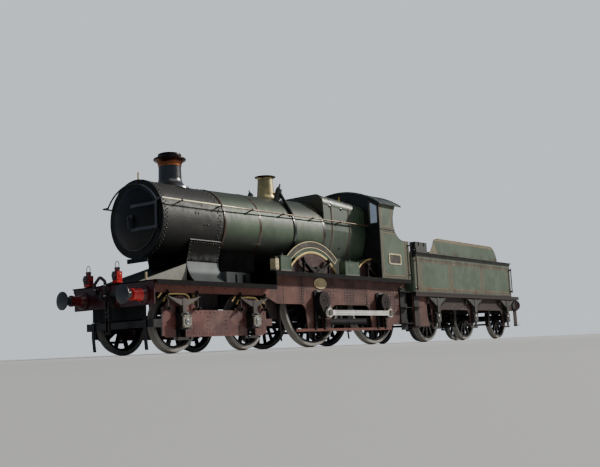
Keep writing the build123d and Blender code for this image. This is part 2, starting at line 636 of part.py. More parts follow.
# ================================================================ boiler and firebox
BARREL_RF, BARREL_RR, BARREL_RISE = 787.0, 848.0, 36.0
X_BOX_F = -660.0
with BuildPart() as boiler:
    with BuildSketch(Plane.YZ.offset(at(X_SMOKE_R))):
        with Locations((0, up(BARREL_Z))):
            Circle(BARREL_RF)
    with BuildSketch(Plane.YZ.offset(at(X_BOX_F))):
        with Locations((0, up(BARREL_Z + BARREL_RISE))):
            Circle(BARREL_RR)
    loft()
boiler.part.label = "boiler"
export_step(boiler.part, "parts/boiler.step")

# saddle under the smokebox, drawn in at its waist and flared out at its foot
SADDLE_WAIST = 560.0
with BuildPart() as smokebox_saddle:
    with BuildSketch(Plane.YZ.offset(at(X_SMOKE_R - 10))):
        with BuildLine():
            Line((-810, up(DECK_LOW)), (810, up(DECK_LOW)))
            Line((810, up(DECK_LOW)), (800, up(DECK_LOW + 26)))
            ThreePointArc((800, up(DECK_LOW + 26)), (640, up(1505)), (SADDLE_WAIST, up(1770)))
            Line((SADDLE_WAIST, up(1770)), (655, up(2190)))
            Line((655, up(2190)), (-655, up(2190)))
            Line((-655, up(2190)), (-SADDLE_WAIST, up(1770)))
            ThreePointArc((-SADDLE_WAIST, up(1770)), (-640, up(1505)), (-800, up(DECK_LOW + 26)))
            Line((-800, up(DECK_LOW + 26)), (-810, up(DECK_LOW)))
        make_face()
        with Locations((0, up(BARREL_Z))):
            Circle(SMOKEBOX_R, mode=Mode.SUBTRACT)
    extrude(amount=X_SADDLE_F - X_SMOKE_R + 10)
    add(boiler.part, mode=Mode.SUBTRACT)
    # sloping casing ahead of the saddle, under the smokebox front
    with BuildSketch(Plane.XZ.offset(-SADDLE_WAIST + 4)):
        with BuildLine():
            Polyline((at(X_SADDLE_F), up(DECK_LOW)), (at(4975), up(DECK_LOW)), (at(4970), up(DECK_LOW + 6)),
                     (at(X_SADDLE_F), up(1728)), close=True)
        make_face()
    extrude(amount=2 * (SADDLE_WAIST - 4))
smokebox_saddle.part.label = "smokebox_saddle"
export_step(smokebox_saddle.part, "parts/smokebox_saddle.step")


# seat under the front of the boiler barrel, with a low casing along its foot
with BuildPart() as boiler_seat:
    with BuildSketch(Plane.YZ.offset(at(X_STEP + 8))):
        with Locations((0, up((DECK_LOW + 1 + 2030) / 2))):
            Rectangle(2 * 600, 2030 - DECK_LOW - 1)
    extrude(amount=X_SMOKE_R - 12 - X_STEP - 8)
    add(boiler.part, mode=Mode.SUBTRACT)
    for side in (1, -1):
        with BuildSketch(Plane.XY.offset(up(DECK_LOW + 1))):
            with Locations((at((2050 + X_SMOKE_R - 12) / 2), side * (600 + JOINT_GAP + 780) / 2)):
                Rectangle(X_SMOKE_R - 12 - 2050, 780 - 600 - JOINT_GAP)
        extrude(amount=1580 - DECK_LOW - 1)
boiler_seat.part.label = "boiler_seat"
export_step(boiler_seat.part, "parts/boiler_seat.step")


# the cylinder casting between the frames, which also carries the bogie's centre pin
with BuildPart() as cylinder_block:
    with BuildSketch(Plane.XY.offset(up(830))):
        with Locations((at(3275), 0)):
            Rectangle(610, 2 * (INNER_Y0 - 1))
    extrude(amount=DECK_LOW - DECK_T - 831)
    for side in (1, -1):
        with BuildSketch(Plane.YZ.offset(at(3580))):
            with Locations((side * 300, up(1010))):
                Circle(255)
        extrude(amount=60)
        with BuildSketch(Plane.YZ.offset(at(2970))):
            with Locations((side * 300, up(1010))):
                Circle(200)
        extrude(amount=-70)
    with BuildSketch(Plane.XY.offset(up(830))):
        with Locations((at(X_BOGIE), 0)):
            Circle(70)
    extrude(amount=-400)
cylinder_block.part.label = "cylinder_block"
export_step(cylinder_block.part, "parts/cylinder_block.step")

# flat-topped firebox: height, half width, for the front and the rear section
with BuildPart() as firebox:
    for x, top, shoulder in ((X_BOX_F, 3630, 612), (X_CAB_F + 16, 3520, 600)):
        with BuildSketch(Plane.YZ.offset(at(x))):
            with BuildLine():
                Line((-598, up(1560)), (598, up(1560)))
                Line((598, up(1560)), (612, up(2110)))
                ThreePointArc((612, up(2110)), (735, up(2440)), (792, up(2760)))
                Line((792, up(2760)), (770, up(top - 270)))
                ThreePointArc((770, up(top - 270)), (716, up(top - 74)), (shoulder - 60, up(top)))
                Line((shoulder - 60, up(top)), (-shoulder + 60, up(top)))
                ThreePointArc((-shoulder + 60, up(top)), (-716, up(top - 74)), (-770, up(top - 270)))
                Line((-770, up(top - 270)), (-792, up(2760)))
                ThreePointArc((-792, up(2760)), (-735, up(2440)), (-612, up(2110)))
                Line((-612, up(2110)), (-598, up(1560)))
            make_face()
    loft(ruled=True)
    with BuildSketch(Plane.XZ.offset(-560)):
        with BuildLine():
            Polyline((at(X_BOX_F - 20), up(1558)), (at(X_BOX_F - 20), up(900)), (at(-1150), up(700)),
                     (at(-1940), up(700)), (at(-1960), up(1180)), (at(-2420), up(1290)), (at(-2420), up(1558)),
                     close=True)
        make_face()
    extrude(amount=1120)
firebox.part.label = "firebox"
export_step(firebox.part, "parts/firebox.step")


# ================================================================ boiler mountings
X_CHIMNEY, X_BONNET = 3550.0, 520.0
with BuildPart() as chimney:
    with BuildSketch(Plane.XZ):
        with BuildLine():
            Line((at(X_CHIMNEY + 175), up(3300)), (at(X_CHIMNEY + 400), up(3300)))
            Line((at(X_CHIMNEY + 400), up(3300)), (at(X_CHIMNEY + 392), up(3330)))
            ThreePointArc((at(X_CHIMNEY + 392), up(3330)), (at(X_CHIMNEY + 275), up(3420)),
                          (at(X_CHIMNEY + 238), up(3560)))
            Line((at(X_CHIMNEY + 238), up(3560)), (at(X_CHIMNEY + 232), up(3800)))
            Line((at(X_CHIMNEY + 232), up(3800)), (at(X_CHIMNEY + 190), up(3800)))
            Line((at(X_CHIMNEY + 190), up(3800)), (at(X_CHIMNEY + 175), up(3300)))
        make_face()
    revolve(axis=Axis((at(X_CHIMNEY), 0, 0), (0, 0, 1)))
    # the skirt sits on the round of the smokebox
    with BuildSketch(Plane.YZ.offset(at(X_SMOKE_R))):
        with Locations((0, up(BARREL_Z))):
            Circle(SMOKEBOX_R)
    extrude(amount=X_SMOKE_F - X_SMOKE_R, mode=Mode.SUBTRACT)
chimney.part.label = "chimney"
export_step(chimney.part, "parts/chimney.step")

with BuildPart() as chimney_cap:
    with BuildSketch(Plane.XZ):
        with BuildLine():
            Line((at(X_CHIMNEY + 190), up(3800)), (at(X_CHIMNEY + 240), up(3800)))
            ThreePointArc((at(X_CHIMNEY + 240), up(3800)), (at(X_CHIMNEY + 262), up(3868)),
                          (at(X_CHIMNEY + 322), up(3910)))
            ThreePointArc((at(X_CHIMNEY + 322), up(3910)), (at(X_CHIMNEY + 336), up(3935)),
                          (at(X_CHIMNEY + 318), up(3958)))
            ThreePointArc((at(X_CHIMNEY + 318), up(3958)), (at(X_CHIMNEY + 262), up(3985)),
                          (at(X_CHIMNEY + 238), up(4046)))
            Line((at(X_CHIMNEY + 238), up(4046)), (at(X_CHIMNEY + 205), up(4060)))
            Line((at(X_CHIMNEY + 205), up(4060)), (at(X_CHIMNEY + 190), up(3800)))
        make_face()
    revolve(axis=Axis((at(X_CHIMNEY), 0, 0), (0, 0, 1)))
chimney_cap.part.label = "chimney_cap"
export_step(chimney_cap.part, "parts/chimney_cap.step")

with BuildPart() as safety_valve_bonnet:
    with BuildSketch(Plane.XZ):
        with BuildLine():
            Line((at(X_BONNET + 110), up(3350)), (at(X_BONNET + 262), up(3350)))
            Line((at(X_BONNET + 262), up(3350)), (at(X_BONNET + 262), up(3425)))
            ThreePointArc((at(X_BONNET + 262), up(3425)), (at(X_BONNET + 222), up(3485)),
                          (at(X_BONNET + 204), up(3560)))
            Line((at(X_BONNET + 204), up(3560)), (at(X_BONNET + 178), up(3918)))
            ThreePointArc((at(X_BONNET + 178), up(3918)), (at(X_BONNET + 188), up(3944)),
                          (at(X_BONNET + 214), up(3958)))
            Line((at(X_BONNET + 214), up(3958)), (at(X_BONNET + 248), up(3972)))
            Line((at(X_BONNET + 248), up(3972)), (at(X_BONNET + 248), up(3986)))
            Line((at(X_BONNET + 248), up(3986)), (at(X_BONNET + 196), up(3986)))
            Line((at(X_BONNET + 196), up(3986)), (at(X_BONNET + 188), up(3984)))
            Line((at(X_BONNET + 188), up(3984)), (at(X_BONNET + 152), up(3926)))
            Line((at(X_BONNET + 152), up(3926)), (at(X_BONNET + 110), up(3350)))
        make_face()
    revolve(axis=Axis((at(X_BONNET), 0, 0), (0, 0, 1)))
    with BuildSketch(Plane.XY.offset(up(3400))):
        with Locations((at(X_BONNET), -46), (at(X_BONNET), 46)):
            Circle(38)
    extrude(amount=470)
    with BuildSketch(Plane.XY.offset(up(3850))):
        with Locations((at(X_BONNET), 0)):
            Rectangle(36, 180)
    extrude(amount=30)
    add(boiler.part, mode=Mode.SUBTRACT)
safety_valve_bonnet.part.label = "safety_valve_bonnet"
export_step(safety_valve_bonnet.part, "parts/safety_valve_bonnet.step")


# ================================================================ splashers
SPLASH_R, SPLASH_Y0, SPLASH_Y1 = 1130.0, 640.0, 905.0
with BuildPart() as splashers:
    for axle in (0.0, X_TRAIL):
        with BuildSketch(Plane.XZ.offset(-SPLASH_Y1)):
            with Locations((at(axle), up(DRIVER_R))):
                Circle(SPLASH_R)
            with Locations((at(axle), up(DECK_HIGH + 600))):
                Rectangle(2400, 1200, mode=Mode.INTERSECT)
        extrude(amount=14)
        with BuildSketch(Plane.XZ.offset(-SPLASH_Y1 + 14)):
            with Locations((at(axle), up(DRIVER_R))):
                Circle(SPLASH_R)
                Circle(SPLASH_R - 14, mode=Mode.SUBTRACT)
            with Locations((at(axle), up(DECK_HIGH + 600))):
                Rectangle(2400, 1200, mode=Mode.INTERSECT)
        extrude(amount=SPLASH_Y1 - 14 - SPLASH_Y0)
    mirror(about=Plane.XZ)
    add(boiler.part, mode=Mode.SUBTRACT)
    add(firebox.part, mode=Mode.SUBTRACT)
splashers.part.label = "splashers"
export_step(splashers.part, "parts/splashers.step")

# curved blank plates standing over the leading splashers
with BuildPart() as name_plates:
    with BuildSketch(Plane.XZ.offset(-SPLASH_Y1)):
        with Locations((at(0), up(DRIVER_R))):
            Circle(1368)
            Circle(1215, mode=Mode.SUBTRACT)
        with BuildLine():
            Polyline((at(0), up(DRIVER_R)), (at(1110), up(DRIVER_R) + 1208), (at(1110), up(DRIVER_R) + 1700),
                     (at(-1110), up(DRIVER_R) + 1700), (at(-1110), up(DRIVER_R) + 1208), close=True)
        make_face(mode=Mode.INTERSECT)
    extrude(amount=16)
    # backing strip down to the splasher top
    with BuildSketch(Plane.XZ.offset(-SPLASH_Y1 + 4)):
        with Locations((at(0), up(DRIVER_R))):
            Circle(1216)
            Circle(SPLASH_R, mode=Mode.SUBTRACT)
        with BuildLine():
            Polyline((at(0), up(DRIVER_R)), (at(840), up(DRIVER_R) + 1208), (at(840), up(DRIVER_R) + 1700),
                     (at(-840), up(DRIVER_R) + 1700), (at(-840), up(DRIVER_R) + 1208), close=True)
        make_face(mode=Mode.INTERSECT)
    extrude(amount=8)
    mirror(about=Plane.XZ)
name_plates.part.label = "name_plates"
export_step(name_plates.part, "parts/name_plates.step")

# sand boxes and tool boxes on the running plates: x centre, y centre, length, width, height
BOXES = [(1310, 1050, 380, 250, 325), (-1240, 1060, 600, 190, 330)]
with BuildPart() as platform_boxes:
    for x, y, length, width, height in BOXES:
        with BuildSketch(Plane.XY.offset(up(DECK_HIGH))):
            with Locations((at(x), y)):
                RectangleRounded(length, width, 14)
        extrude(amount=height)
        with BuildSketch(Plane.XY.offset(up(DECK_HIGH + height))):
            with Locations((at(x), y)):
                RectangleRounded(length + 16, width + 16, 18)
        extrude(amount=14)
    mirror(about=Plane.XZ)
    with BuildSketch(Plane.XY.offset(up(DECK_HIGH))):
        with Locations((at(1590), 1070)):
            RectangleRounded(120, 150, 20)
    extrude(amount=310)
    mirror(about=Plane.XZ)
platform_boxes.part.label = "platform_boxes"
export_step(platform_boxes.part, "parts/platform_boxes.step")


# ================================================================ cab
CAB_Y = 1205.0
SIDE_T = 16.0
ROOF_EDGE_Y, ROOF_EDGE_Z, ROOF_TOP = 1285.0, 3518.0, 3950.0
ROOF_REAR, ROOF_LENGTH = -3460.0, 1060.0
WINDOW = [(930, 3030), (1162, 3030), (1162, 3462), (930, 3602)]        # y, z of the corners
WINDOW_IN = [(0.5, 0.5), (-0.5, 0.5), (-0.5, -0.8), (0.5, -0.9)]       # the glass is let in by this
with BuildPart() as cab_front:
    with BuildSketch(Plane.YZ.offset(at(X_CAB_F - 16))):
        with BuildLine():
            Polyline((-CAB_Y + SIDE_T, up(3560)), (-CAB_Y + SIDE_T, up(DECK_HIGH)), (CAB_Y - SIDE_T, up(DECK_HIGH)),
                     (CAB_Y - SIDE_T, up(3560)))
            ThreePointArc((CAB_Y - SIDE_T, up(3560)), (0, up(ROOF_TOP - 18)), (-CAB_Y + SIDE_T, up(3560)))
        make_face()
        # spectacle windows, cut slanting under the roof
        for side in (1, -1):
            with BuildLine():
                FilletPolyline(*[(side * y, up(z)) for y, z in WINDOW], radius=42, close=True)
            make_face(mode=Mode.SUBTRACT)
            # where the trailing wheels pass into the cab
            with Locations((side * 772, up(1840))):
                Rectangle(240, 480, mode=Mode.SUBTRACT)
            # where the trailing springs pass into the cab
            with Locations((side * 1000, up(1800))):
                Rectangle(150, 400, mode=Mode.SUBTRACT)
    extrude(amount=16)
    add(splashers.part, mode=Mode.SUBTRACT)
cab_front.part.label = "cab_front"
export_step(cab_front.part, "parts/cab_front.step")

with BuildPart() as cab_windows:
    with BuildSketch(Plane.YZ.offset(at(X_CAB_F - 11))):
        for side in (1, -1):
            with BuildLine():
                FilletPolyline(*[(side * (y + dy), up(z + dz)) for (y, z), (dy, dz) in zip(WINDOW, WINDOW_IN)],
                               radius=41.5, close=True)
            make_face()
    extrude(amount=6)
cab_windows.part.label = "cab_windows"
export_step(cab_windows.part, "parts/cab_windows.step")

with BuildPart() as cab_sides:
    with BuildSketch(Plane.XZ.offset(-CAB_Y)):
        with BuildLine():
            Polyline((at(-3290), up(3560)), (at(X_CAB_F), up(3560)), (at(X_CAB_F), up(DECK_HIGH)),
                     (at(X_CAB_R), up(DECK_HIGH)), (at(X_CAB_R + 20), up(2640)), (at(-3600), up(2640)))
            ThreePointArc((at(-3600), up(2640)), (at(-3255), up(2780)), (at(-3130), up(3100)))
            ThreePointArc((at(-3130), up(3100)), (at(-3160), up(3330)), (at(-3290), up(3560)))
        make_face()
    extrude(amount=SIDE_T)
    mirror(about=Plane.XZ)
cab_sides.part.label = "cab_sides"
export_step(cab_sides.part, "parts/cab_sides.step")

with BuildPart() as cab_roof:
    with BuildSketch(Plane.YZ.offset(at(ROOF_REAR))):
        with BuildLine():
            ThreePointArc((ROOF_EDGE_Y, up(ROOF_EDGE_Z)), (0, up(ROOF_TOP)), (-ROOF_EDGE_Y, up(ROOF_EDGE_Z)))
            Line((-ROOF_EDGE_Y, up(ROOF_EDGE_Z)), (-ROOF_EDGE_Y + 8, up(ROOF_EDGE_Z - 16)))
            ThreePointArc((-ROOF_EDGE_Y + 8, up(ROOF_EDGE_Z - 16)), (0, up(ROOF_TOP - 16)),
                          (ROOF_EDGE_Y - 8, up(ROOF_EDGE_Z - 16)))
            Line((ROOF_EDGE_Y - 8, up(ROOF_EDGE_Z - 16)), (ROOF_EDGE_Y, up(ROOF_EDGE_Z)))
        make_face()
    extrude(amount=ROOF_LENGTH)
    # the front and the sides are let into the roof
    add(cab_front.part, mode=Mode.SUBTRACT)
    add(cab_sides.part, mode=Mode.SUBTRACT)
cab_roof.part.label = "cab_roof"
export_step(cab_roof.part, "parts/cab_roof.step")

with BuildPart() as cab_floor:
    with BuildSketch(Plane.XY.offset(up(DECK_HIGH))):
        with Locations((at(-3270), 0)):
            Rectangle(1220, 1250)
        with Locations((at((-3720 + X_CAB_R) / 2), 0)):
            Rectangle(-3720 - X_CAB_R, 2 * (CAB_Y - SIDE_T - 2))
    extrude(amount=45)
    add(splashers.part, mode=Mode.SUBTRACT)
    # reversing lever with its sector, and the seat boxes over the trailing wheels
    with BuildSketch(Plane.XZ.offset(535)):
        with Locations((at(-3150), up(1890))):
            Rectangle(520, 448)
            with Locations((0, 60)):
                Rectangle(400, 260, mode=Mode.SUBTRACT)
    extrude(amount=24)
    with BuildSketch(Plane.XZ.offset(505)):
        with Locations(Location((at(-3150), up(2122), 0), (0, 0, 98))):
            SlotOverall(900, 44)
    extrude(amount=26)
cab_floor.part.label = "cab_floor"
export_step(cab_floor.part, "parts/cab_floor.step")

with BuildPart() as firebox_backhead:
    with BuildSketch(Plane.YZ.offset(at(X_CAB_F - 16))):
        with Locations((0, up(2540))):
            RectangleRounded(1180, 1740, 250)
        with Locations((0, up(1990))):
            RectangleRounded(420, 300, 90, mode=Mode.SUBTRACT)
    extrude(amount=-150)
    # gauge glass, regulator quadrant and valve wheels: y, z, radius, reach
    for y, z, radius, reach in ((0, 2720, 95, 120), (-210, 2480, 26, 110), (210, 3060, 78, 70),
                                (-210, 3060, 78, 70), (0, 3200, 60, 110), (380, 2640, 45, 130),
                                (-380, 2640, 45, 130)):
        with BuildSketch(Plane.YZ.offset(at(X_CAB_F - 166))):
            with Locations((y, up(z))):
                Circle(radius)
        extrude(amount=-reach)
    # regulator handle
    with BuildSketch(Plane.YZ.offset(at(X_CAB_F - 286))):
        with Locations(Location((0, up(2720), 0), (0, 0, 62))):
            with Locations((170, 0)):
                SlotOverall(420, 36)
    extrude(amount=-24)
    for z in (1806, 2162):
        with BuildSketch(Plane.YZ.offset(at(X_CAB_F - 166))):
            with Locations((100, up(z + 6))):
                Rectangle(760, 22)
        extrude(amount=-40)
firebox_backhead.part.label = "firebox_backhead"
export_step(firebox_backhead.part, "parts/firebox_backhead.step")

# sliding firehole door on its runners
with BuildPart() as firehole_door:
    with BuildSketch(Plane.YZ.offset(at(X_CAB_F - 172))):
        with Locations((0, up(1990))):
            Rectangle(440, 330)
    extrude(amount=-22)
    with BuildSketch(Plane.YZ.offset(at(X_CAB_F - 194))):
        with Locations((-170, up(1990))):
            Rectangle(26, 180)
    extrude(amount=-46)
firehole_door.part.label = "firehole_door"
export_step(firehole_door.part, "parts/firehole_door.step")

# ================================================================ small things on the engine
# handrails along the boiler, joined by an arch over the smokebox door
RAIL_R = 17.0
RAIL_X, RAIL_Y, RAIL_Z = 4590.0, 850.0, 2905.0
RAIL_RISE = 0.0114                       # the side rails climb towards the cab
with BuildPart() as handrails:
    for side in (1, -1):
        for x in (4050, 2950, 1990, 950, -150, -1250, -2300):
            with BuildSketch(Plane(origin=(at(x), side * (RAIL_Y + 6), up(RAIL_Z + (RAIL_X - x) * RAIL_RISE)),
                                   z_dir=(0, -side, -0.25))):
                Circle(14)
            extrude(amount=190)
    add(boiler.part, mode=Mode.SUBTRACT)
    add(firebox.part, mode=Mode.SUBTRACT)
    with BuildSketch(Plane.YZ.offset(at(X_SMOKE_R))):
        with Locations((0, up(BARREL_Z))):
            Circle(SMOKEBOX_R)
    extrude(amount=X_SMOKE_F - X_SMOKE_R - 40, mode=Mode.SUBTRACT)
    for side in (1, -1):
        with BuildSketch(Plane(origin=(at(RAIL_X), side * RAIL_Y, up(RAIL_Z)), z_dir=(-1, 0, RAIL_RISE))):
            Circle(RAIL_R)
        extrude(amount=RAIL_X + 2440)
        with BuildSketch(Plane.XZ.offset(-side * 700)):
            with Locations((at(RAIL_X), up(RAIL_Z))):
                Circle(RAIL_R)
        extrude(amount=-side * 150)
        with Locations((at(RAIL_X), side * RAIL_Y, up(RAIL_Z)), (at(RAIL_X), side * 700, up(RAIL_Z))):
            Sphere(RAIL_R)
        # the rail's end plate on the cab front
        with BuildSketch(Plane.YZ.offset(at(-2440))):
            with Locations((side * RAIL_Y, up(RAIL_Z + (RAIL_X + 2440) * RAIL_RISE))):
                Circle(34)
        extrude(amount=-20)
    with BuildLine(Plane.YZ.offset(at(RAIL_X))) as route:
        ThreePointArc((-700, up(RAIL_Z)), (0, up(3285)), (700, up(RAIL_Z)))
    with BuildSketch(Plane(origin=(at(RAIL_X), -700, up(RAIL_Z)), z_dir=route.wires()[0].tangent_at(0))):
        Circle(RAIL_R)
    sweep(path=route.wires()[0])
    for side in (1, -1):
        with BuildSketch(Plane.XY.offset(up(1700))):
            with Locations((at(X_CAB_R + 25), side * 1255)):
                Circle(RAIL_R)
        extrude(amount=900)
        for z in (1760, 2540):
            with BuildSketch(Plane.XZ.offset(-side * CAB_Y)):
                with Locations((at(X_CAB_R + 25), up(z))):
                    Circle(13)
            extrude(amount=-side * 40)
handrails.part.label = "handrails"
export_step(handrails.part, "parts/handrails.step")


# lamp irons: x, y, z of the foot
LAMP_IRONS = [(4940, 787, DECK_LOW), (4940, -787, DECK_LOW), (4880, 0, 1349), (4400, 0, BARREL_Z + SMOKEBOX_R)]
with BuildPart() as lamp_irons:
    for x, y, z in LAMP_IRONS:
        with BuildSketch(Plane.XY.offset(up(z))):
            with Locations((at(x), y)):
                Rectangle(14, 46)
        extrude(amount=170)
        with BuildSketch(Plane.XY.offset(up(z))):
            with Locations((at(x), y)):
                Rectangle(14, 90)
        extrude(amount=22)
lamp_irons.part.label = "lamp_irons"
export_step(lamp_irons.part, "parts/lamp_irons.step")

# head lamps hung on two of the irons: x of the iron, y, z of the lamp's foot
with BuildPart() as head_lamps:
    for x, y, z in ((4880, 0, 1396), (4940, -787, 1372)):
        with BuildSketch(Plane.XY.offset(up(z))):
            with Locations((at(x + 79), y)):
                RectangleRounded(140, 150, 18)
        extrude(amount=165)
        with BuildSketch(Plane.XY.offset(up(z + 165))):
            with Locations((at(x + 79), y)):
                Circle(48)
        extrude(amount=46)
        with BuildSketch(Plane.YZ.offset(at(x + 149))):
            with Locations((y, up(z + 84))):
                Circle(54)
        extrude(amount=20)
head_lamps.part.label = "head_lamps"
export_step(head_lamps.part, "parts/head_lamps.step")

# brake shoes, hangers and cross beams behind the driving wheels
with BuildPart() as engine_brakes:
    for axle in (0.0, X_TRAIL):
        zc, reach = up(DRIVER_R), DRIVER_R + 14
        for side in (1, -1):
            with BuildSketch(Plane.XZ.offset(-side * 725)):
                with Locations((at(axle), zc)):
                    Circle(reach + 82)
                    Circle(reach, mode=Mode.SUBTRACT)
                with Locations((at(axle - reach - 20), zc - 260)):
                    Rectangle(330, 420, mode=Mode.INTERSECT)
            extrude(amount=-side * 90)
            with BuildSketch(Plane.XZ.offset(-side * 825)):
                with Locations((at(axle - reach - 62), zc - 90)):
                    Rectangle(70, 760)
            extrude(amount=-side * 24)
        with BuildSketch(Plane.XZ.offset(-(825 - JOINT_GAP))):
            with Locations((at(axle - reach - 62), zc - 440)):
                Circle(32)
        extrude(amount=2 * (825 - JOINT_GAP))
    for side in (1, -1):
        with BuildSketch(Plane.XZ.offset(-side * 500)):
            with Locations((at(-reach - 62 + X_TRAIL / 2), up(DRIVER_R - 440))):
                Rectangle(-X_TRAIL - 2 * (32 + JOINT_GAP), 46)
        extrude(amount=20, both=True)
engine_brakes.part.label = "engine_brakes"
export_step(engine_brakes.part, "parts/engine_brakes.step")


# ================================================================ bogie
BF_Y0, BF_Y1 = 935.0, 963.0
with BuildPart() as bogie_frame:
    with BuildSketch(Plane.XZ.offset(-BF_Y1)):
        with Locations((at(X_BOGIE), up(525))):
            Rectangle(1400, 510)
        for x in (X_BOGIE_F, X_BOGIE_R):
            with Locations((at(x), up(565))):
                Circle(480)
            with Locations((at(x), up(565))):
                Rectangle(960, 2 * (565 - 300), mode=Mode.ADD)
        with Locations((at(X_BOGIE), up(535))):
            Rectangle(3320, 150)
        # below the horn feet there is nothing
        with Locations((at(X_BOGIE), up(130))):
            Rectangle(3600, 280, mode=Mode.SUBTRACT)
        for x in (X_BOGIE_F, X_BOGIE_R):
            with Locations((at(x), up(540))):
                Rectangle(250, 600, mode=Mode.SUBTRACT)
    extrude(amount=BF_Y1 - BF_Y0)
    mirror(about=Plane.XZ)
    # centre casting with the pivot hole, and the end bars
    with BuildSketch(Plane.XY.offset(up(480))):
        with Locations((at(X_BOGIE), 0)):
            Rectangle(520, 2 * (BF_Y0 - JOINT_GAP))
            Circle(76, mode=Mode.SUBTRACT)
    extrude(amount=250)
    for end in (1, -1):
        with BuildSketch(Plane.XY.offset(up(470))):
            with Locations((at(X_BOGIE + end * 1645), 0)):
                Rectangle(28, 2 * (BF_Y0 - JOINT_GAP))
        extrude(amount=130)
    with BuildSketch(Plane.XZ.offset(-780)):
        with BuildLine():
            Polyline((at(X_BOGIE + 1660), up(620)), (at(X_BOGIE + 1685), up(620)), (at(X_BOGIE + 1685), up(330)),
                     (at(X_BOGIE + 1655), up(60)), (at(X_BOGIE + 1630), up(60)), (at(X_BOGIE + 1660), up(330)),
                     close=True)
        make_face()
    extrude(amount=70)
    mirror(about=Plane.XZ)
bogie_frame.part.label = "bogie_frame"
export_step(bogie_frame.part, "parts/bogie_frame.step")

with BuildPart() as bogie_axleboxes:
    for x in (X_BOGIE_F, X_BOGIE_R):
        with BuildSketch(Plane.XZ.offset(-1112)):
            with Locations((at(x), up(BOGIE_R))):
                Rectangle(246, 300)
                Circle(77, mode=Mode.SUBTRACT)
        extrude(amount=200)
        with BuildSketch(Plane.XZ.offset(-1112)):
            with Locations((at(x), up(BOGIE_R))):
                RectangleRounded(210, 230, 30)
        extrude(amount=-38)
        # keep bar under the horns
        with BuildSketch(Plane.XZ.offset(-(BF_Y1 + 18))):
            with Locations((at(x), up(242))):
                Rectangle(420, 52)
        extrude(amount=64)
    mirror(about=Plane.XZ)
bogie_axleboxes.part.label = "bogie_axleboxes"
export_step(bogie_axleboxes.part, "parts/bogie_axleboxes.step")

with BuildPart() as bogie_springs:
    for x in (X_BOGIE_F, X_BOGIE_R):
        for leaf in range(7):
            half = 410 - leaf * 48
            top = 968 - leaf * 16
            bow = 62 * (half / 410) ** 2
            with BuildSketch(Plane.XZ.offset(-1085)):
                with BuildLine():
                    ThreePointArc((at(x - half), up(top - 0 + bow)), (at(x), up(top)), (at(x + half), up(top + bow)))
                    Line((at(x + half), up(top + bow)), (at(x + half), up(top + bow - 16)))
                    ThreePointArc((at(x + half), up(top + bow - 16)), (at(x), up(top - 16)),
                                  (at(x - half), up(top + bow - 16)))
                    Line((at(x - half), up(top + bow - 16)), (at(x - half), up(top + bow)))
                make_face()
            extrude(amount=90)
        with BuildSketch(Plane.XY.offset(up(BOGIE_R + 150))):
            with Locations((at(x), 1040)):
                Rectangle(100, 104)
        extrude(amount=275)
        for end in (1, -1):
            with BuildSketch(Plane.XY.offset(up(790))):
                with Locations((at(x + end * 380), 1040)):
                    Circle(17)
            extrude(amount=265)
            with BuildSketch(Plane.XY.offset(up(780))):
                with Locations((at(x + end * 380), 1010)):
                    Rectangle(70, 94)
            extrude(amount=40)
    mirror(about=Plane.XZ)
bogie_springs.part.label = "bogie_springs"
export_step(bogie_springs.part, "parts/bogie_springs.step")


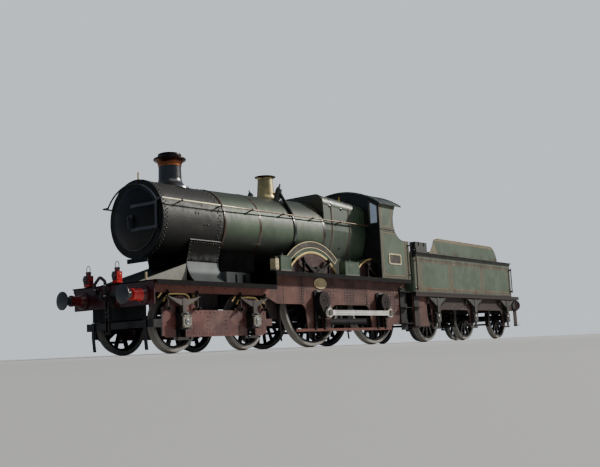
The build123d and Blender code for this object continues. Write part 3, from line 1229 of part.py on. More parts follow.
# ================================================================ tender
HORN_OUT = 235.0                         # outer edge of a horn leg from the axle
HORN_FOOT = 375.0
with BuildPart() as tender_frames:
    with BuildSketch(Plane.XZ.offset(-TF_Y1)):
        with BuildLine():
            # along the top, and down to the front foot with its arched rear edge
            Polyline((at(-4935), up(1010)), (at(-4935), up(1100)), (at(-4935), up(1255)), (at(-4080), up(1255)),
                     (at(-4080), up(390)), (at(-4930), up(396)))
            ThreePointArc((at(-4930), up(396)), (at(-4842), up(660)), (at(-4815), up(940)))
            ThreePointArc((at(-4815), up(940)), (at(-4860), up(995)), (at(-4935), up(1010)))
        make_face()
        with BuildLine():
            Polyline((at(-4935), up(1255)), (at(-4935), up(1010)), (at(-5000), up(1000)),
                     (at(TENDER_AXLES[0] + HORN_OUT + 14), up(760)), (at(TENDER_AXLES[0] + HORN_OUT), up(HORN_FOOT)),
                     (at(TENDER_AXLES[0]), up(HORN_FOOT)), (at(TENDER_AXLES[0]), up(1255)), close=True)
        make_face()
        # between the horns the lower edge is arched up
        for x0, x1 in ((TENDER_AXLES[0], TENDER_AXLES[1]), (TENDER_AXLES[1], TENDER_AXLES[2])):
            with BuildLine():
                Polyline((at(x1), up(HORN_FOOT)), (at(x1), up(1255)), (at(x0), up(1255)), (at(x0), up(HORN_FOOT)),
                         (at(x0 - HORN_OUT), up(HORN_FOOT)), (at(x0 - HORN_OUT - 14), up(690)))
                ThreePointArc((at(x0 - HORN_OUT - 14), up(690)), (at(x0 - HORN_OUT - 70), up(805)),
                              (at(x0 - HORN_OUT - 190), up(850)))
                Line((at(x0 - HORN_OUT - 190), up(850)), (at(x1 + HORN_OUT + 190), up(850)))
                ThreePointArc((at(x1 + HORN_OUT + 190), up(850)), (at(x1 + HORN_OUT + 70), up(805)),
                              (at(x1 + HORN_OUT + 14), up(690)))
                Polyline((at(x1 + HORN_OUT + 14), up(690)), (at(x1 + HORN_OUT), up(HORN_FOOT)), (at(x1), up(HORN_FOOT)))
            make_face()
        with BuildLine():
            Polyline((at(TENDER_AXLES[2]), up(1255)), (at(TENDER_AXLES[2]), up(HORN_FOOT)),
                     (at(TENDER_AXLES[2] - HORN_OUT), up(HORN_FOOT)), (at(TENDER_AXLES[2] - HORN_OUT - 14), up(760)),
                     (at(TENDER_AXLES[2] - HORN_OUT - 120), up(850)), (at(X_TBEAM + 31), up(850)),
                     (at(X_TBEAM + 31), up(1255)), close=True)
        make_face()
        for x in TENDER_AXLES:
            with Locations((at(x), up(560))):
                Rectangle(270, 560, mode=Mode.SUBTRACT)
    extrude(amount=TF_Y1 - TF_Y0)
    mirror(about=Plane.XZ)
    # cross stretchers: x, z from, z to
    for x, z0, z1 in ((-4300, 900, 1250), (-6434, 780, 1250), (-8720, 780, 1250), (-10500, 900, 1250)):
        with BuildSketch(Plane.XY.offset(up(z0))):
            with Locations((at(x), 0)):
                Rectangle(26, 2 * (TF_Y0 - JOINT_GAP))
        extrude(amount=z1 - z0)
    # dragbox plates and the drawbar with its eye on the engine's pin
    with BuildSketch(Plane.XY.offset(up(1000))):
        with Locations((at((X_PIN - 4287) / 2), 0)):
            Rectangle(4287 + X_PIN - 2 * JOINT_GAP, 130)
        with Locations((at(X_PIN), 0)):
            Circle(86)
            Circle(38, mode=Mode.SUBTRACT)
    extrude(amount=80)
    with BuildSketch(Plane.YZ.offset(at(X_TBEAM))):
        with Locations((0, up(1055))):
            RectangleRounded(2 * 1150, 400, 18)
    extrude(amount=30)
    # x of the step plate
    for x in (-4230, -10568):
        with BuildSketch(Plane.XZ.offset(-1128)):
            with Locations((at(x), up(800))):
                Rectangle(260, 900)
        extrude(amount=14)
        for z, depth in ((900, 90), (380, 102)):
            with BuildSketch(Plane.XY.offset(up(z))):
                with Locations((at(x), 1128 + depth / 2)):
                    Rectangle(290, depth)
            extrude(amount=16)
    mirror(about=Plane.XZ)
tender_frames.part.label = "tender_frames"
export_step(tender_frames.part, "parts/tender_frames.step")

with BuildPart() as tender_platform:
    with BuildSketch(Plane.XY.offset(up(1256))):
        with Locations((at((-4050 + X_TBEAM) / 2), 0)):
            Rectangle(-4050 - X_TBEAM, 2 * 1230)
        # slots over the wheels
        for x in TENDER_AXLES:
            with Locations((at(x), 752), (at(x), -752)):
                Rectangle(600, 230, mode=Mode.SUBTRACT)
    extrude(amount=44)
    for side in (1, -1):
        with BuildSketch(Plane.XY.offset(up(1195))):
            with Locations((at((-4050 + X_TBEAM) / 2), side * 1223)):
                Rectangle(-4050 - X_TBEAM, 14)
        extrude(amount=62)
tender_platform.part.label = "tender_platform"
export_step(tender_platform.part, "parts/tender_platform.step")

HOPPER_Y, X_HOP_F, X_HOP_R = 880.0, -4700.0, -8150.0
X_LID = -9762.0                          # rear edge of the filler lid
with BuildPart() as tender_tank:
    with BuildSketch(Plane.XY.offset(up(1300))):
        with Locations((at((X_TANK_F + X_TANK_R) / 2), 0)):
            RectangleRounded(X_TANK_F - X_TANK_R, 2 * TANK_Y, 60)
    extrude(amount=TANK_TOP - 1300)
    # the front of the well, between the tank's legs, where the fireman stands to shovel
    with BuildSketch(Plane.XY.offset(up(1300))):
        with Locations((at(-4375), 0)):
            Rectangle(660, 1240)
    extrude(amount=1000, mode=Mode.SUBTRACT)
    # coal space with its sloping floor
    with BuildSketch(Plane.XZ.offset(-HOPPER_Y)):
        with BuildLine():
            Polyline((at(X_HOP_F - 12), up(1480)), (at(X_HOP_F - 12), up(2300)), (at(X_HOP_R), up(2300)),
                     (at(X_HOP_R), up(2130)), (at(-6500), up(1480)), close=True)
        make_face()
    extrude(amount=2 * HOPPER_Y, mode=Mode.SUBTRACT)
    # opening in the bulkhead for the shovel
    with BuildSketch(Plane.YZ.offset(at(X_HOP_F - 20))):
        with Locations((0, up(1880))):
            Rectangle(560, 800)
    extrude(amount=60, mode=Mode.SUBTRACT)
    # flared coping around the sides and the back
    for side in (1, -1):
        with BuildSketch(Plane.YZ.offset(at(X_TANK_R + 60))):
            with BuildLine():
                Line((side * (TANK_Y - 30), up(TANK_TOP)), (side * TANK_Y, up(TANK_TOP)))
                ThreePointArc((side * TANK_Y, up(TANK_TOP)), (side * (TANK_Y + 12), up(TANK_TOP + 75)),
                              (side * (TANK_Y + 65), up(TANK_TOP + 130)))
                Line((side * (TANK_Y + 65), up(TANK_TOP + 130)), (side * (TANK_Y + 50), up(TANK_TOP + 142)))
                ThreePointArc((side * (TANK_Y + 50), up(TANK_TOP + 142)), (side * (TANK_Y - 18), up(TANK_TOP + 75)),
                              (side * (TANK_Y - 30), up(TANK_TOP)))
            make_face()
        extrude(amount=X_TANK_F - X_TANK_R - 60 - 120)
    with BuildSketch(Plane.XZ.offset(-(TANK_Y - 40))):
        with BuildLine():
            Line((at(X_TANK_R + 30), up(TANK_TOP)), (at(X_TANK_R), up(TANK_TOP)))
            ThreePointArc((at(X_TANK_R), up(TANK_TOP)), (at(X_TANK_R - 12), up(TANK_TOP + 75)),
                          (at(X_TANK_R - 65), up(TANK_TOP + 130)))
            Line((at(X_TANK_R - 65), up(TANK_TOP + 130)), (at(X_TANK_R - 50), up(TANK_TOP + 142)))
            ThreePointArc((at(X_TANK_R - 50), up(TANK_TOP + 142)), (at(X_TANK_R + 18), up(TANK_TOP + 75)),
                          (at(X_TANK_R + 30), up(TANK_TOP)))
        make_face()
    extrude(amount=2 * (TANK_Y - 40))
    # long narrow tool boxes on the tank's front corners
    for z, height, more in ((TANK_TOP, 440, 0), (TANK_TOP + 440, 22, 10)):
        with BuildSketch(Plane.XY.offset(up(z))):
            with Locations((at(-4765), 984), (at(-4765), -984)):
                RectangleRounded(650 + more, 180 + more, 14)
        extrude(amount=height)
    # neck of the water filler
    with BuildSketch(Plane.XY.offset(up(TANK_TOP))):
        with Locations((at(-9500), 0)):
            Circle(230)
            Circle(205, mode=Mode.SUBTRACT)
    extrude(amount=210)
    with BuildSketch(Plane.XY.offset(up(TANK_TOP - 60))):
        with Locations((at(-9500), 0)):
            Circle(205)
    extrude(amount=62, mode=Mode.SUBTRACT)
    for side in (1, -1):
        with BuildSketch(Plane.XZ.offset(-side * 42)):
            with Locations((at(X_LID - 18), up(TANK_TOP + 125))):
                Rectangle(44, 246)
        extrude(amount=-side * 14)
    with BuildSketch(Plane.XZ.offset(-56)):
        with Locations((at(X_LID - 18), up(TANK_TOP + 228))):
            Circle(9)
    extrude(amount=112)
tender_tank.part.label = "tender_tank"
export_step(tender_tank.part, "parts/tender_tank.step")

# coal plates standing on the tank top
FENDER_Y = 1100.0
with BuildPart() as coal_plates:
    with BuildSketch(Plane.XZ.offset(-FENDER_Y)):
        with BuildLine():
            Polyline((at(-9540), up(2440)), (at(-9540), up(TANK_TOP)), (at(-5150), up(TANK_TOP)),
                     (at(-5150), up(2420)))
            ThreePointArc((at(-5150), up(2420)), (at(-5300), up(2560)), (at(-5410), up(2720)))
            ThreePointArc((at(-5410), up(2720)), (at(-5490), up(2830)), (at(-5620), up(2870)))
            Line((at(-5620), up(2870)), (at(-9150), up(2870)))
            ThreePointArc((at(-9150), up(2870)), (at(-9400), up(2700)), (at(-9540), up(2440)))
        make_face()
    extrude(amount=14)
    mirror(about=Plane.XZ)
    with BuildSketch(Plane.XY.offset(up(TANK_TOP))):
        with Locations((at(-8250), 0)):
            Rectangle(14, 2 * (FENDER_Y - 13))
    extrude(amount=600)
coal_plates.part.label = "coal_plates"
export_step(coal_plates.part, "parts/coal_plates.step")


# columns with the handles of the hand brake and of the water pick-up
with BuildPart() as tender_columns:
    for y in (480, -480):
        with BuildSketch(Plane.XY.offset(up(1300))):
            with Locations((at(-4150), y)):
                Circle(42)
        extrude(amount=60)
        with BuildSketch(Plane.XY.offset(up(1360))):
            with Locations((at(-4150), y)):
                Circle(26)
        extrude(amount=980)
        with BuildSketch(Plane.XZ.offset(-y + 180)):
            with Locations((at(-4150), up(2320))):
                Circle(17)
        extrude(amount=-360)
        for end in (-1, 1):
            with BuildSketch(Plane.XY.offset(up(2310 + (0 if end > 0 else -60)))):
                with Locations((at(-4150), y + end * 165)):
                    Circle(20)
            extrude(amount=70)
tender_columns.part.label = "tender_columns"
export_step(tender_columns.part, "parts/tender_columns.step")

# hinged lid of the water filler, on the rear edge of its neck
with BuildPart() as filler_lid:
    with BuildSketch(Plane.XZ):
        with BuildLine():
            Line((at(-9500), up(TANK_TOP + 214)), (at(-9500 + 244), up(TANK_TOP + 214)))
            Line((at(-9500 + 244), up(TANK_TOP + 214)), (at(-9500 + 244), up(TANK_TOP + 236)))
            ThreePointArc((at(-9500 + 244), up(TANK_TOP + 236)), (at(-9500 + 130), up(TANK_TOP + 256)),
                          (at(-9500), up(TANK_TOP + 262)))
            Line((at(-9500), up(TANK_TOP + 262)), (at(-9500), up(TANK_TOP + 214)))
        make_face()
    revolve(axis=Axis((at(-9500), 0, 0), (0, 0, 1)))
    with BuildSketch(Plane.XY.offset(up(TANK_TOP + 216))):
        with Locations((at(X_LID + 12), 0)):
            Rectangle(90, 70)
    extrude(amount=24)
    with BuildSketch(Plane.XZ.offset(-35)):
        with Locations((at(X_LID - 18), up(TANK_TOP + 228))):
            Circle(22)
    extrude(amount=70)
    with BuildSketch(Plane.XZ.offset(-40)):
        with Locations((at(X_LID - 18), up(TANK_TOP + 228))):
            Circle(10)
    extrude(amount=80, mode=Mode.SUBTRACT)
filler_lid.part.label = "filler_lid"
export_step(filler_lid.part, "parts/filler_lid.step")


with BuildPart() as tender_axleboxes:
    for x in TENDER_AXLES:
        with BuildSketch(Plane.XZ.offset(-1170)):
            with Locations((at(x), up(TENDER_R))):
                Rectangle(264, 320)
                Circle(82, mode=Mode.SUBTRACT)
        extrude(amount=120)
        with BuildSketch(Plane.XZ.offset(-1170)):
            with Locations((at(x), up(TENDER_R))):
                RectangleRounded(220, 250, 30)
        extrude(amount=-40)
        with BuildSketch(Plane.XZ.offset(-(TF_Y1 + 18))):
            with Locations((at(x), up(345))):
                Rectangle(460, 56)
        extrude(amount=60)
    mirror(about=Plane.XZ)
tender_axleboxes.part.label = "tender_axleboxes"
export_step(tender_axleboxes.part, "parts/tender_axleboxes.step")

LEAVES, LEAF_T = 14, 16.0
with BuildPart() as tender_springs:
    for x in TENDER_AXLES:
        for leaf in range(LEAVES):
            half = 480 - leaf * 32
            top = 1160 - leaf * LEAF_T
            bow = 22 * (half / 480) ** 2
            with BuildSketch(Plane.XZ.offset(-1200)):
                with BuildLine():
                    ThreePointArc((at(x - half), up(top + bow)), (at(x), up(top)), (at(x + half), up(top + bow)))
                    Line((at(x + half), up(top + bow)), (at(x + half), up(top + bow - LEAF_T - 0.2)))
                    ThreePointArc((at(x + half), up(top + bow - LEAF_T - 0.2)), (at(x), up(top - LEAF_T - 0.2)),
                                  (at(x - half), up(top + bow - LEAF_T - 0.2)))
                    Line((at(x - half), up(top + bow - LEAF_T - 0.2)), (at(x - half), up(top + bow)))
                make_face()
            extrude(amount=88)
        with BuildSketch(Plane.XY.offset(up(TENDER_R + 160))):
            with Locations((at(x), 1156)):
                Rectangle(96, 104)
        extrude(amount=388)
        for end in (1, -1):
            with BuildSketch(Plane.XY.offset(up(1100))):
                with Locations((at(x + end * 450), 1156)):
                    Circle(18)
            extrude(amount=130)
            with BuildSketch(Plane.XY.offset(up(1200))):
                with Locations((at(x + end * 450), 1145)):
                    Rectangle(80, 88)
            extrude(amount=50)
    mirror(about=Plane.XZ)
tender_springs.part.label = "tender_springs"
export_step(tender_springs.part, "parts/tender_springs.step")

with BuildPart() as tender_handrails:
    for side in (1, -1):
        for x, foot, height in ((X_TANK_F - 80, 1340, 1150), (X_TANK_R + 80, 1420, 790)):
            with BuildSketch(Plane.XY.offset(up(foot))):
                with Locations((at(x), side * 1256)):
                    Circle(RAIL_R)
            extrude(amount=height)
            for z in (foot + 60, 2150):
                with BuildSketch(Plane.XZ.offset(-side * TANK_Y)):
                    with Locations((at(x), up(z))):
                        Circle(13)
                extrude(amount=-side * 55)
tender_handrails.part.label = "tender_handrails"
export_step(tender_handrails.part, "parts/tender_handrails.step")

with BuildPart() as tender_brakes:
    for axle in TENDER_AXLES:
        zc, reach = up(TENDER_R), TENDER_R + 14
        for side in (1, -1):
            with BuildSketch(Plane.XZ.offset(-side * 725)):
                with Locations((at(axle), zc)):
                    Circle(reach + 76)
                    Circle(reach, mode=Mode.SUBTRACT)
                with Locations((at(axle + reach + 20), zc - 60)):
                    Rectangle(300, 380, mode=Mode.INTERSECT)
            extrude(amount=-side * 90)
            with BuildSketch(Plane.XZ.offset(-side * 825)):
                with Locations((at(axle + reach + 58), zc + 150)):
                    Rectangle(66, 760)
            extrude(amount=-side * 24)
        with BuildSketch(Plane.XZ.offset(-(825 - JOINT_GAP))):
            with Locations((at(axle + reach + 58), zc - 200)):
                Circle(30)
        extrude(amount=2 * (825 - JOINT_GAP))
    # pull rods between the beams
    for x0, x1 in ((TENDER_AXLES[0], TENDER_AXLES[1]), (TENDER_AXLES[1], TENDER_AXLES[2])):
        with BuildSketch(Plane.XZ.offset(-20)):
            with Locations((at((x0 + x1) / 2 + reach + 58), up(TENDER_R - 200))):
                Rectangle(x0 - x1 - 2 * (30 + JOINT_GAP), 44)
        extrude(amount=40)
tender_brakes.part.label = "tender_brakes"
export_step(tender_brakes.part, "parts/tender_brakes.step")
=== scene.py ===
import bpy
import bmesh
import math
from mathutils import Vector, Matrix


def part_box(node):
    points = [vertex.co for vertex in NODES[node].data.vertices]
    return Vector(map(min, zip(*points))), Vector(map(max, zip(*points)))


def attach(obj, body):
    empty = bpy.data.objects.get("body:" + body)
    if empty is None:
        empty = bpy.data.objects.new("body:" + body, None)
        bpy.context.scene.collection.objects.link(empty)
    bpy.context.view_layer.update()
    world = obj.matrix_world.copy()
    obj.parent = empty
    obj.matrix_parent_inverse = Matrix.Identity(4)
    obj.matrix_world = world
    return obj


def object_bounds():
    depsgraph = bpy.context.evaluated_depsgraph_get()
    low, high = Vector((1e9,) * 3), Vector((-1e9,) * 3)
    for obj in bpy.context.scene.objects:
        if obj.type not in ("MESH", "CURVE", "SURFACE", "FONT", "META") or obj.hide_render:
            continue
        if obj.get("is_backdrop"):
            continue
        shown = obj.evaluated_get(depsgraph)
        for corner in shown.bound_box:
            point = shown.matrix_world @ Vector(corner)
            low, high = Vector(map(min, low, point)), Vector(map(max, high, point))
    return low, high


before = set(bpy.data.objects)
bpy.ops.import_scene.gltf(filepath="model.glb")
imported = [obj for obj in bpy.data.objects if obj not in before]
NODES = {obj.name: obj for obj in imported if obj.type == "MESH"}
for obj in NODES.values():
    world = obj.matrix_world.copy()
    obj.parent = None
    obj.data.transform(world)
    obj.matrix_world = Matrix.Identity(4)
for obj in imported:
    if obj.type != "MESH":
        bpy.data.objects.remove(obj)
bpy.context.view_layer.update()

# The row frame's x is 0 midway between the buffer faces and z is 0 at the flange tips.  X() takes a distance ahead of
# the leading driving axle and Z() a height above the rail head, both in metres, as the machine's own drawing would.
RAIL = 0.0286
X_LEAD = 2.825


def X(x):
    return X_LEAD + x


def Z(h):
    return RAIL + h


# ------------------------------------------------------------------ camera
cam_data = bpy.data.cameras.new("photo_camera")
camera = bpy.data.objects.new("photo_camera", cam_data)
bpy.context.scene.collection.objects.link(camera)
bpy.context.scene.camera = camera
CAM_AT = Vector((X(15.0077), 12.2160, 0.02))
YAW, PITCH, ROLL, FOCAL = math.radians(52.1795), math.radians(7.8778), math.radians(-2.5660), 818.94
look = Vector((-math.sin(YAW) * math.cos(PITCH), -math.cos(YAW) * math.cos(PITCH), math.sin(PITCH)))
right = look.cross(Vector((0, 0, 1))).normalized()
over = right.cross(look)
right2 = math.cos(ROLL) * right + math.sin(ROLL) * over
over2 = -math.sin(ROLL) * right + math.cos(ROLL) * over
camera.matrix_world = Matrix((
    (right2.x, over2.x, -look.x, CAM_AT.x),
    (right2.y, over2.y, -look.y, CAM_AT.y),
    (right2.z, over2.z, -look.z, CAM_AT.z),
    (0, 0, 0, 1)))
cam_data.sensor_width = 36.0
cam_data.lens = 36.0 * FOCAL / 600.0
cam_data.clip_start, cam_data.clip_end = 0.05, 400.0


# ------------------------------------------------------------------ materials
def lin(c):
    """sRGB 0 to 255 to linear."""
    out = []
    for v in c:
        v /= 255.0
        out.append(v / 12.92 if v <= 0.04045 else ((v + 0.055) / 1.055) ** 2.4)
    return (*out, 1.0)


class Paint:
    """A small builder for one procedural material."""

    def __init__(self, name):
        self.m = bpy.data.materials.new(name)
        self.m.use_nodes = True
        self.t = self.m.node_tree
        self.t.nodes.clear()
        self.out = self.t.nodes.new("ShaderNodeOutputMaterial")
        self.bsdf = self.t.nodes.new("ShaderNodeBsdfPrincipled")
        self.t.links.new(self.bsdf.outputs[0], self.out.inputs[0])
        self.coord = self.t.nodes.new("ShaderNodeTexCoord").outputs["Object"]
        self._xyz = None
        self._normal = None

    def link(self, a, b):
        self.t.links.new(a, b)

    def put(self, socket, value):
        if hasattr(value, "is_output"):
            self.link(value, socket)
        else:
            socket.default_value = value

    def xyz(self):
        if self._xyz is None:
            n = self.t.nodes.new("ShaderNodeSeparateXYZ")
            self.link(self.coord, n.inputs[0])
            self._xyz = n.outputs
        return self._xyz

    def normal_z(self):
        """How far a face looks up, from the surface itself."""
        if self._normal is None:
            g = self.t.nodes.new("ShaderNodeNewGeometry")
            n = self.t.nodes.new("ShaderNodeSeparateXYZ")
            self.link(g.outputs["True Normal"], n.inputs[0])
            self._normal = n.outputs
        return self._normal

    def math(self, op, a, b=0.0, c=None, clamp=False):
        n = self.t.nodes.new("ShaderNodeMath")
        n.operation = op
        n.use_clamp = clamp
        self.put(n.inputs[0], a)
        self.put(n.inputs[1], b)
        if c is not None:
            self.put(n.inputs[2], c)
        return n.outputs[0]

    def stretch(self, sx, sy, sz, move=(0, 0, 0)):
        n = self.t.nodes.new("ShaderNodeMapping")
        n.inputs["Scale"].default_value = (sx, sy, sz)
        n.inputs["Location"].default_value = move
        self.link(self.coord, n.inputs[0])
        return n.outputs[0]

    def noise(self, scale, detail=4.0, rough=0.55, vector=None, distort=0.0):
        n = self.t.nodes.new("ShaderNodeTexNoise")
        n.inputs["Scale"].default_value = scale
        n.inputs["Detail"].default_value = detail
        n.inputs["Roughness"].default_value = rough
        n.inputs["Distortion"].default_value = distort
        self.link(vector if vector is not None else self.coord, n.inputs["Vector"])
        return n.outputs[0]

    def ramp(self, value, lo, hi, a=0.0, b=1.0, smooth=True):
        n = self.t.nodes.new("ShaderNodeMapRange")
        n.interpolation_type = "SMOOTHSTEP" if smooth else "LINEAR"
        n.clamp = True
        self.link(value, n.inputs["Value"])
        n.inputs["From Min"].default_value = lo
        n.inputs["From Max"].default_value = hi
        n.inputs["To Min"].default_value = a
        n.inputs["To Max"].default_value = b
        return n.outputs[0]

    def mix(self, fac, a, b, blend="MIX"):
        n = self.t.nodes.new("ShaderNodeMix")
        n.data_type = "RGBA"
        n.blend_type = blend
        n.clamp_factor = True
        self.put(n.inputs[0], fac)
        self.put(n.inputs[6], a)
        self.put(n.inputs[7], b)
        return n.outputs[2]

    def both(self, *masks):
        out = masks[0]
        for m in masks[1:]:
            out = self.math("MULTIPLY", out, m)
        return out

    def above(self, value, edge, soft=0.004):
        return self.ramp(value, edge - soft, edge + soft)

    def below(self, value, edge, soft=0.004):
        return self.ramp(value, edge - soft, edge + soft, 1.0, 0.0)

    def within(self, value, lo, hi, soft=0.004):
        return self.both(self.above(value, lo, soft), self.below(value, hi, soft))

    def radius(self, cx, cz):
        """Distance from an axis along Y through (cx, cz)."""
        x, _, z = self.xyz()
        dx = self.math("SUBTRACT", x, cx)
        dz = self.math("SUBTRACT", z, cz)
        return self.math("SQRT", self.math("ADD", self.math("MULTIPLY", dx, dx), self.math("MULTIPLY", dz, dz)))

    def radius_x(self, cy, cz):
        """Distance from an axis along X through (cy, cz)."""
        _, y, z = self.xyz()
        dy = self.math("SUBTRACT", y, cy)
        dz = self.math("SUBTRACT", z, cz)
        return self.math("SQRT", self.math("ADD", self.math("MULTIPLY", dy, dy), self.math("MULTIPLY", dz, dz)))

    def radius_z(self, cx, cy):
        """Distance from an upright axis through (cx, cy)."""
        x, y, _ = self.xyz()
        dx = self.math("SUBTRACT", x, cx)
        dy = self.math("SUBTRACT", y, cy)
        return self.math("SQRT", self.math("ADD", self.math("MULTIPLY", dx, dx), self.math("MULTIPLY", dy, dy)))

    def bump(self, height, strength, distance):
        n = self.t.nodes.new("ShaderNodeBump")
        n.inputs["Strength"].default_value = strength
        n.inputs["Distance"].default_value = distance
        self.link(height, n.inputs["Height"])
        self.link(n.outputs[0], self.bsdf.inputs["Normal"])

    def done(self, colour, rough, metal=0.0, coat=0.0, coat_rough=0.1, spec=0.5):
        self.put(self.bsdf.inputs["Base Color"], colour)
        self.put(self.bsdf.inputs["Roughness"], rough)
        self.put(self.bsdf.inputs["Metallic"], metal)
        self.bsdf.inputs["Coat Weight"].default_value = coat
        self.bsdf.inputs["Coat Roughness"].default_value = coat_rough
        self.bsdf.inputs["Specular IOR Level"].default_value = spec
        return self.m



# ------------------------------------------------------------------ finishes
def weathered(p, base, light, dark, grime, dust, amount=1.0):
    """Paint colour with broad fading, rain streaks, speckle, grime in patches and dust on faces that look up."""
    broad = p.noise(0.9, 5.0, 0.6)
    colour = p.mix(p.ramp(broad, 0.35, 0.68), lin(dark), lin(base))
    fade = p.noise(2.7, 4.0, 0.6)
    colour = p.mix(p.math("MULTIPLY", p.ramp(fade, 0.45, 0.75), 0.6 * amount), colour, lin(light))
    streak = p.noise(1.0, 5.0, 0.65, p.stretch(9.0, 9.0, 0.7))
    colour = p.mix(p.math("MULTIPLY", p.ramp(streak, 0.52, 0.78), 0.5 * amount), colour, lin(grime))
    blotch = p.noise(6.5, 6.0, 0.7, distort=0.4)
    colour = p.mix(p.math("MULTIPLY", p.ramp(blotch, 0.58, 0.76), 0.55 * amount), colour, lin(grime))
    fleck = p.noise(60.0, 2.0, 0.5)
    colour = p.mix(p.math("MULTIPLY", p.ramp(fleck, 0.66, 0.74), 0.5 * amount), colour, lin(dark))
    up_face = p.ramp(p.normal_z()[2], 0.55, 0.95)
    settle = p.ramp(p.noise(3.3, 5.0, 0.7), 0.3, 0.7, 0.35, 0.85)
    colour = p.mix(p.math("MULTIPLY", up_face, p.math("MULTIPLY", settle, amount)), colour, lin(dust))
    return colour, blotch, streak, fleck


def enamel(name, base, light, dark, grime, dust, rough=(0.28, 0.5), coat=0.25, amount=1.0, wave=0.5, masks=None,
           metal=0.0, coat_rough=0.16, spec=0.5, pit=0.0):
    """Painted plate: broad fading, streaks, a slightly wavy sheet and brush-fine texture.  masks(p) gives more
    (mask, colour) pairs laid over the weathered base by place."""
    p = Paint(name)
    colour, blotch, streak, fleck = weathered(p, base, light, dark, grime, dust, amount)
    for mask, over_colour in (masks(p) if masks else []):
        over_colour = lin(over_colour)
        shade = p.mix(p.ramp(p.noise(5.0, 4.0, 0.6), 0.4, 0.75, 0.0, 0.45), over_colour,
                      tuple(c * 0.6 for c in over_colour[:3]) + (1.0,))
        colour = p.mix(mask, colour, shade)
    r = p.ramp(p.math("ADD", p.math("MULTIPLY", blotch, 0.6), p.math("MULTIPLY", streak, 0.4)), 0.35, 0.72, *rough)
    sheet = p.math("MULTIPLY", p.noise(2.2, 2.0, 0.5), wave)
    fine = p.math("MULTIPLY", p.noise(140.0, 3.0, 0.6), 0.05)
    pitted = p.math("MULTIPLY", p.noise(26.0, 5.0, 0.7), pit)
    p.bump(p.math("ADD", sheet, p.math("ADD", p.math("ADD", fine, pitted), p.math("MULTIPLY", blotch, 0.06))), 0.5, 0.012)
    return p.done(colour, r, metal=metal, coat=coat, coat_rough=coat_rough, spec=spec)


def metal(name, base, tint, stain, rough=(0.22, 0.48), amount=1.0, grain=(4.0, 90.0, 90.0), weight=1.0, masks=None):
    """Bright metal that has dulled unevenly."""
    p = Paint(name)
    broad = p.noise(4.0, 5.0, 0.65)
    colour = p.mix(p.ramp(broad, 0.36, 0.66), lin(base), lin(tint))
    spots = p.noise(22.0, 6.0, 0.72, distort=0.6)
    mask = p.math("MULTIPLY", p.ramp(spots, 0.52, 0.72), amount)
    colour = p.mix(mask, colour, lin(stain))
    for m, over_colour in (masks(p) if masks else []):
        colour = p.mix(m, colour, lin(over_colour))
    brushed = p.noise(1.0, 4.0, 0.6, p.stretch(*grain))
    r = p.ramp(p.math("ADD", p.math("MULTIPLY", brushed, 0.4), p.math("MULTIPLY", spots, 0.6)), 0.35, 0.68, *rough)
    p.bump(p.math("ADD", p.math("MULTIPLY", brushed, 0.5), p.math("MULTIPLY", spots, 0.5)), 0.35, 0.003)
    w = p.ramp(mask, 0.2, 0.9, weight, weight * 0.45)
    return p.done(colour, r, metal=w)


GREEN = dict(base=(62, 84, 60), light=(84, 104, 80), dark=(42, 60, 42), grime=(58, 56, 44), dust=(84, 88, 76))
FLAT_GREEN = dict(base=(80, 97, 78), light=(98, 113, 96), dark=(62, 79, 61), grime=(80, 76, 56), dust=(88, 90, 78))
BLACK = dict(base=(14, 14, 15), light=(34, 34, 35), dark=(8, 8, 9), grime=(31, 27, 24), dust=(56, 53, 49))
BROWN = dict(base=(98, 62, 54), light=(122, 88, 78), dark=(70, 43, 38), grime=(54, 39, 33), dust=(94, 80, 70))
GREY = dict(base=(66, 66, 62), light=(100, 100, 94), dark=(38, 39, 38), grime=(40, 38, 34), dust=(96, 94, 88))
IRON = dict(base=(26, 24, 23), light=(50, 46, 43), dark=(12, 11, 11), grime=(54, 40, 32), dust=(64, 58, 52))
LINING = (146, 106, 74)
MARGIN = (88, 88, 69)
RUST = (84, 58, 38)


def axis_of(p, name):
    return p.xyz()["XYZ".index(name)]


def panel(p, u, v, u0, u1, v0, v1, r):
    """Signed distance to a rounded rectangle: negative inside."""
    def q(c, lo, hi):
        return p.math("SUBTRACT", p.math("ABSOLUTE", p.math("SUBTRACT", c, (lo + hi) / 2)), (hi - lo) / 2 - r)
    a, b = q(u, u0, u1), q(v, v0, v1)
    pa, pb = p.math("MAXIMUM", a, 0.0), p.math("MAXIMUM", b, 0.0)
    outside = p.math("SQRT", p.math("ADD", p.math("MULTIPLY", pa, pa), p.math("MULTIPLY", pb, pb)))
    inside = p.math("MINIMUM", p.math("MAXIMUM", a, b), 0.0)
    return p.math("SUBTRACT", p.math("ADD", outside, inside), r)


def stripe(p, d, half, soft=0.002):
    """1 where a distance is within half of nothing."""
    return p.below(p.math("ABSOLUTE", d), half, soft)


def invert(p, m):
    return p.math("SUBTRACT", 1.0, m)


def wheel_masks(r_tread, *axles):
    """The turned tyre, dull on its face and bright on its tread, on each axle; the face's grey is dimmed towards the
    top of the wheel as painted shade.
    """
    def masks(p):
        out = []
        for x in axles:
            rad = p.radius(X(x), Z(r_tread))
            y = p.math("ABSOLUTE", axis_of(p, "Y"))
            near = p.below(rad, r_tread + 0.1, 0.01)
            # tyre face: steel grey, dimmed to 0.3 above the axle by the height ramp as painted shade
            out.append((p.both(near, p.above(rad, r_tread - 0.067, 0.003), p.within(y, 0.6, 0.9),
                               p.ramp(axis_of(p, "Z"), Z(r_tread * 0.55), Z(r_tread * 0.95), 1.0, 0.3)), (142, 140, 134)))
            out.append((p.both(near, p.above(rad, r_tread - 0.004, 0.001), p.within(y, 0.672, 0.818, 0.002)),
                        (136, 132, 126)))
        return out
    return masks


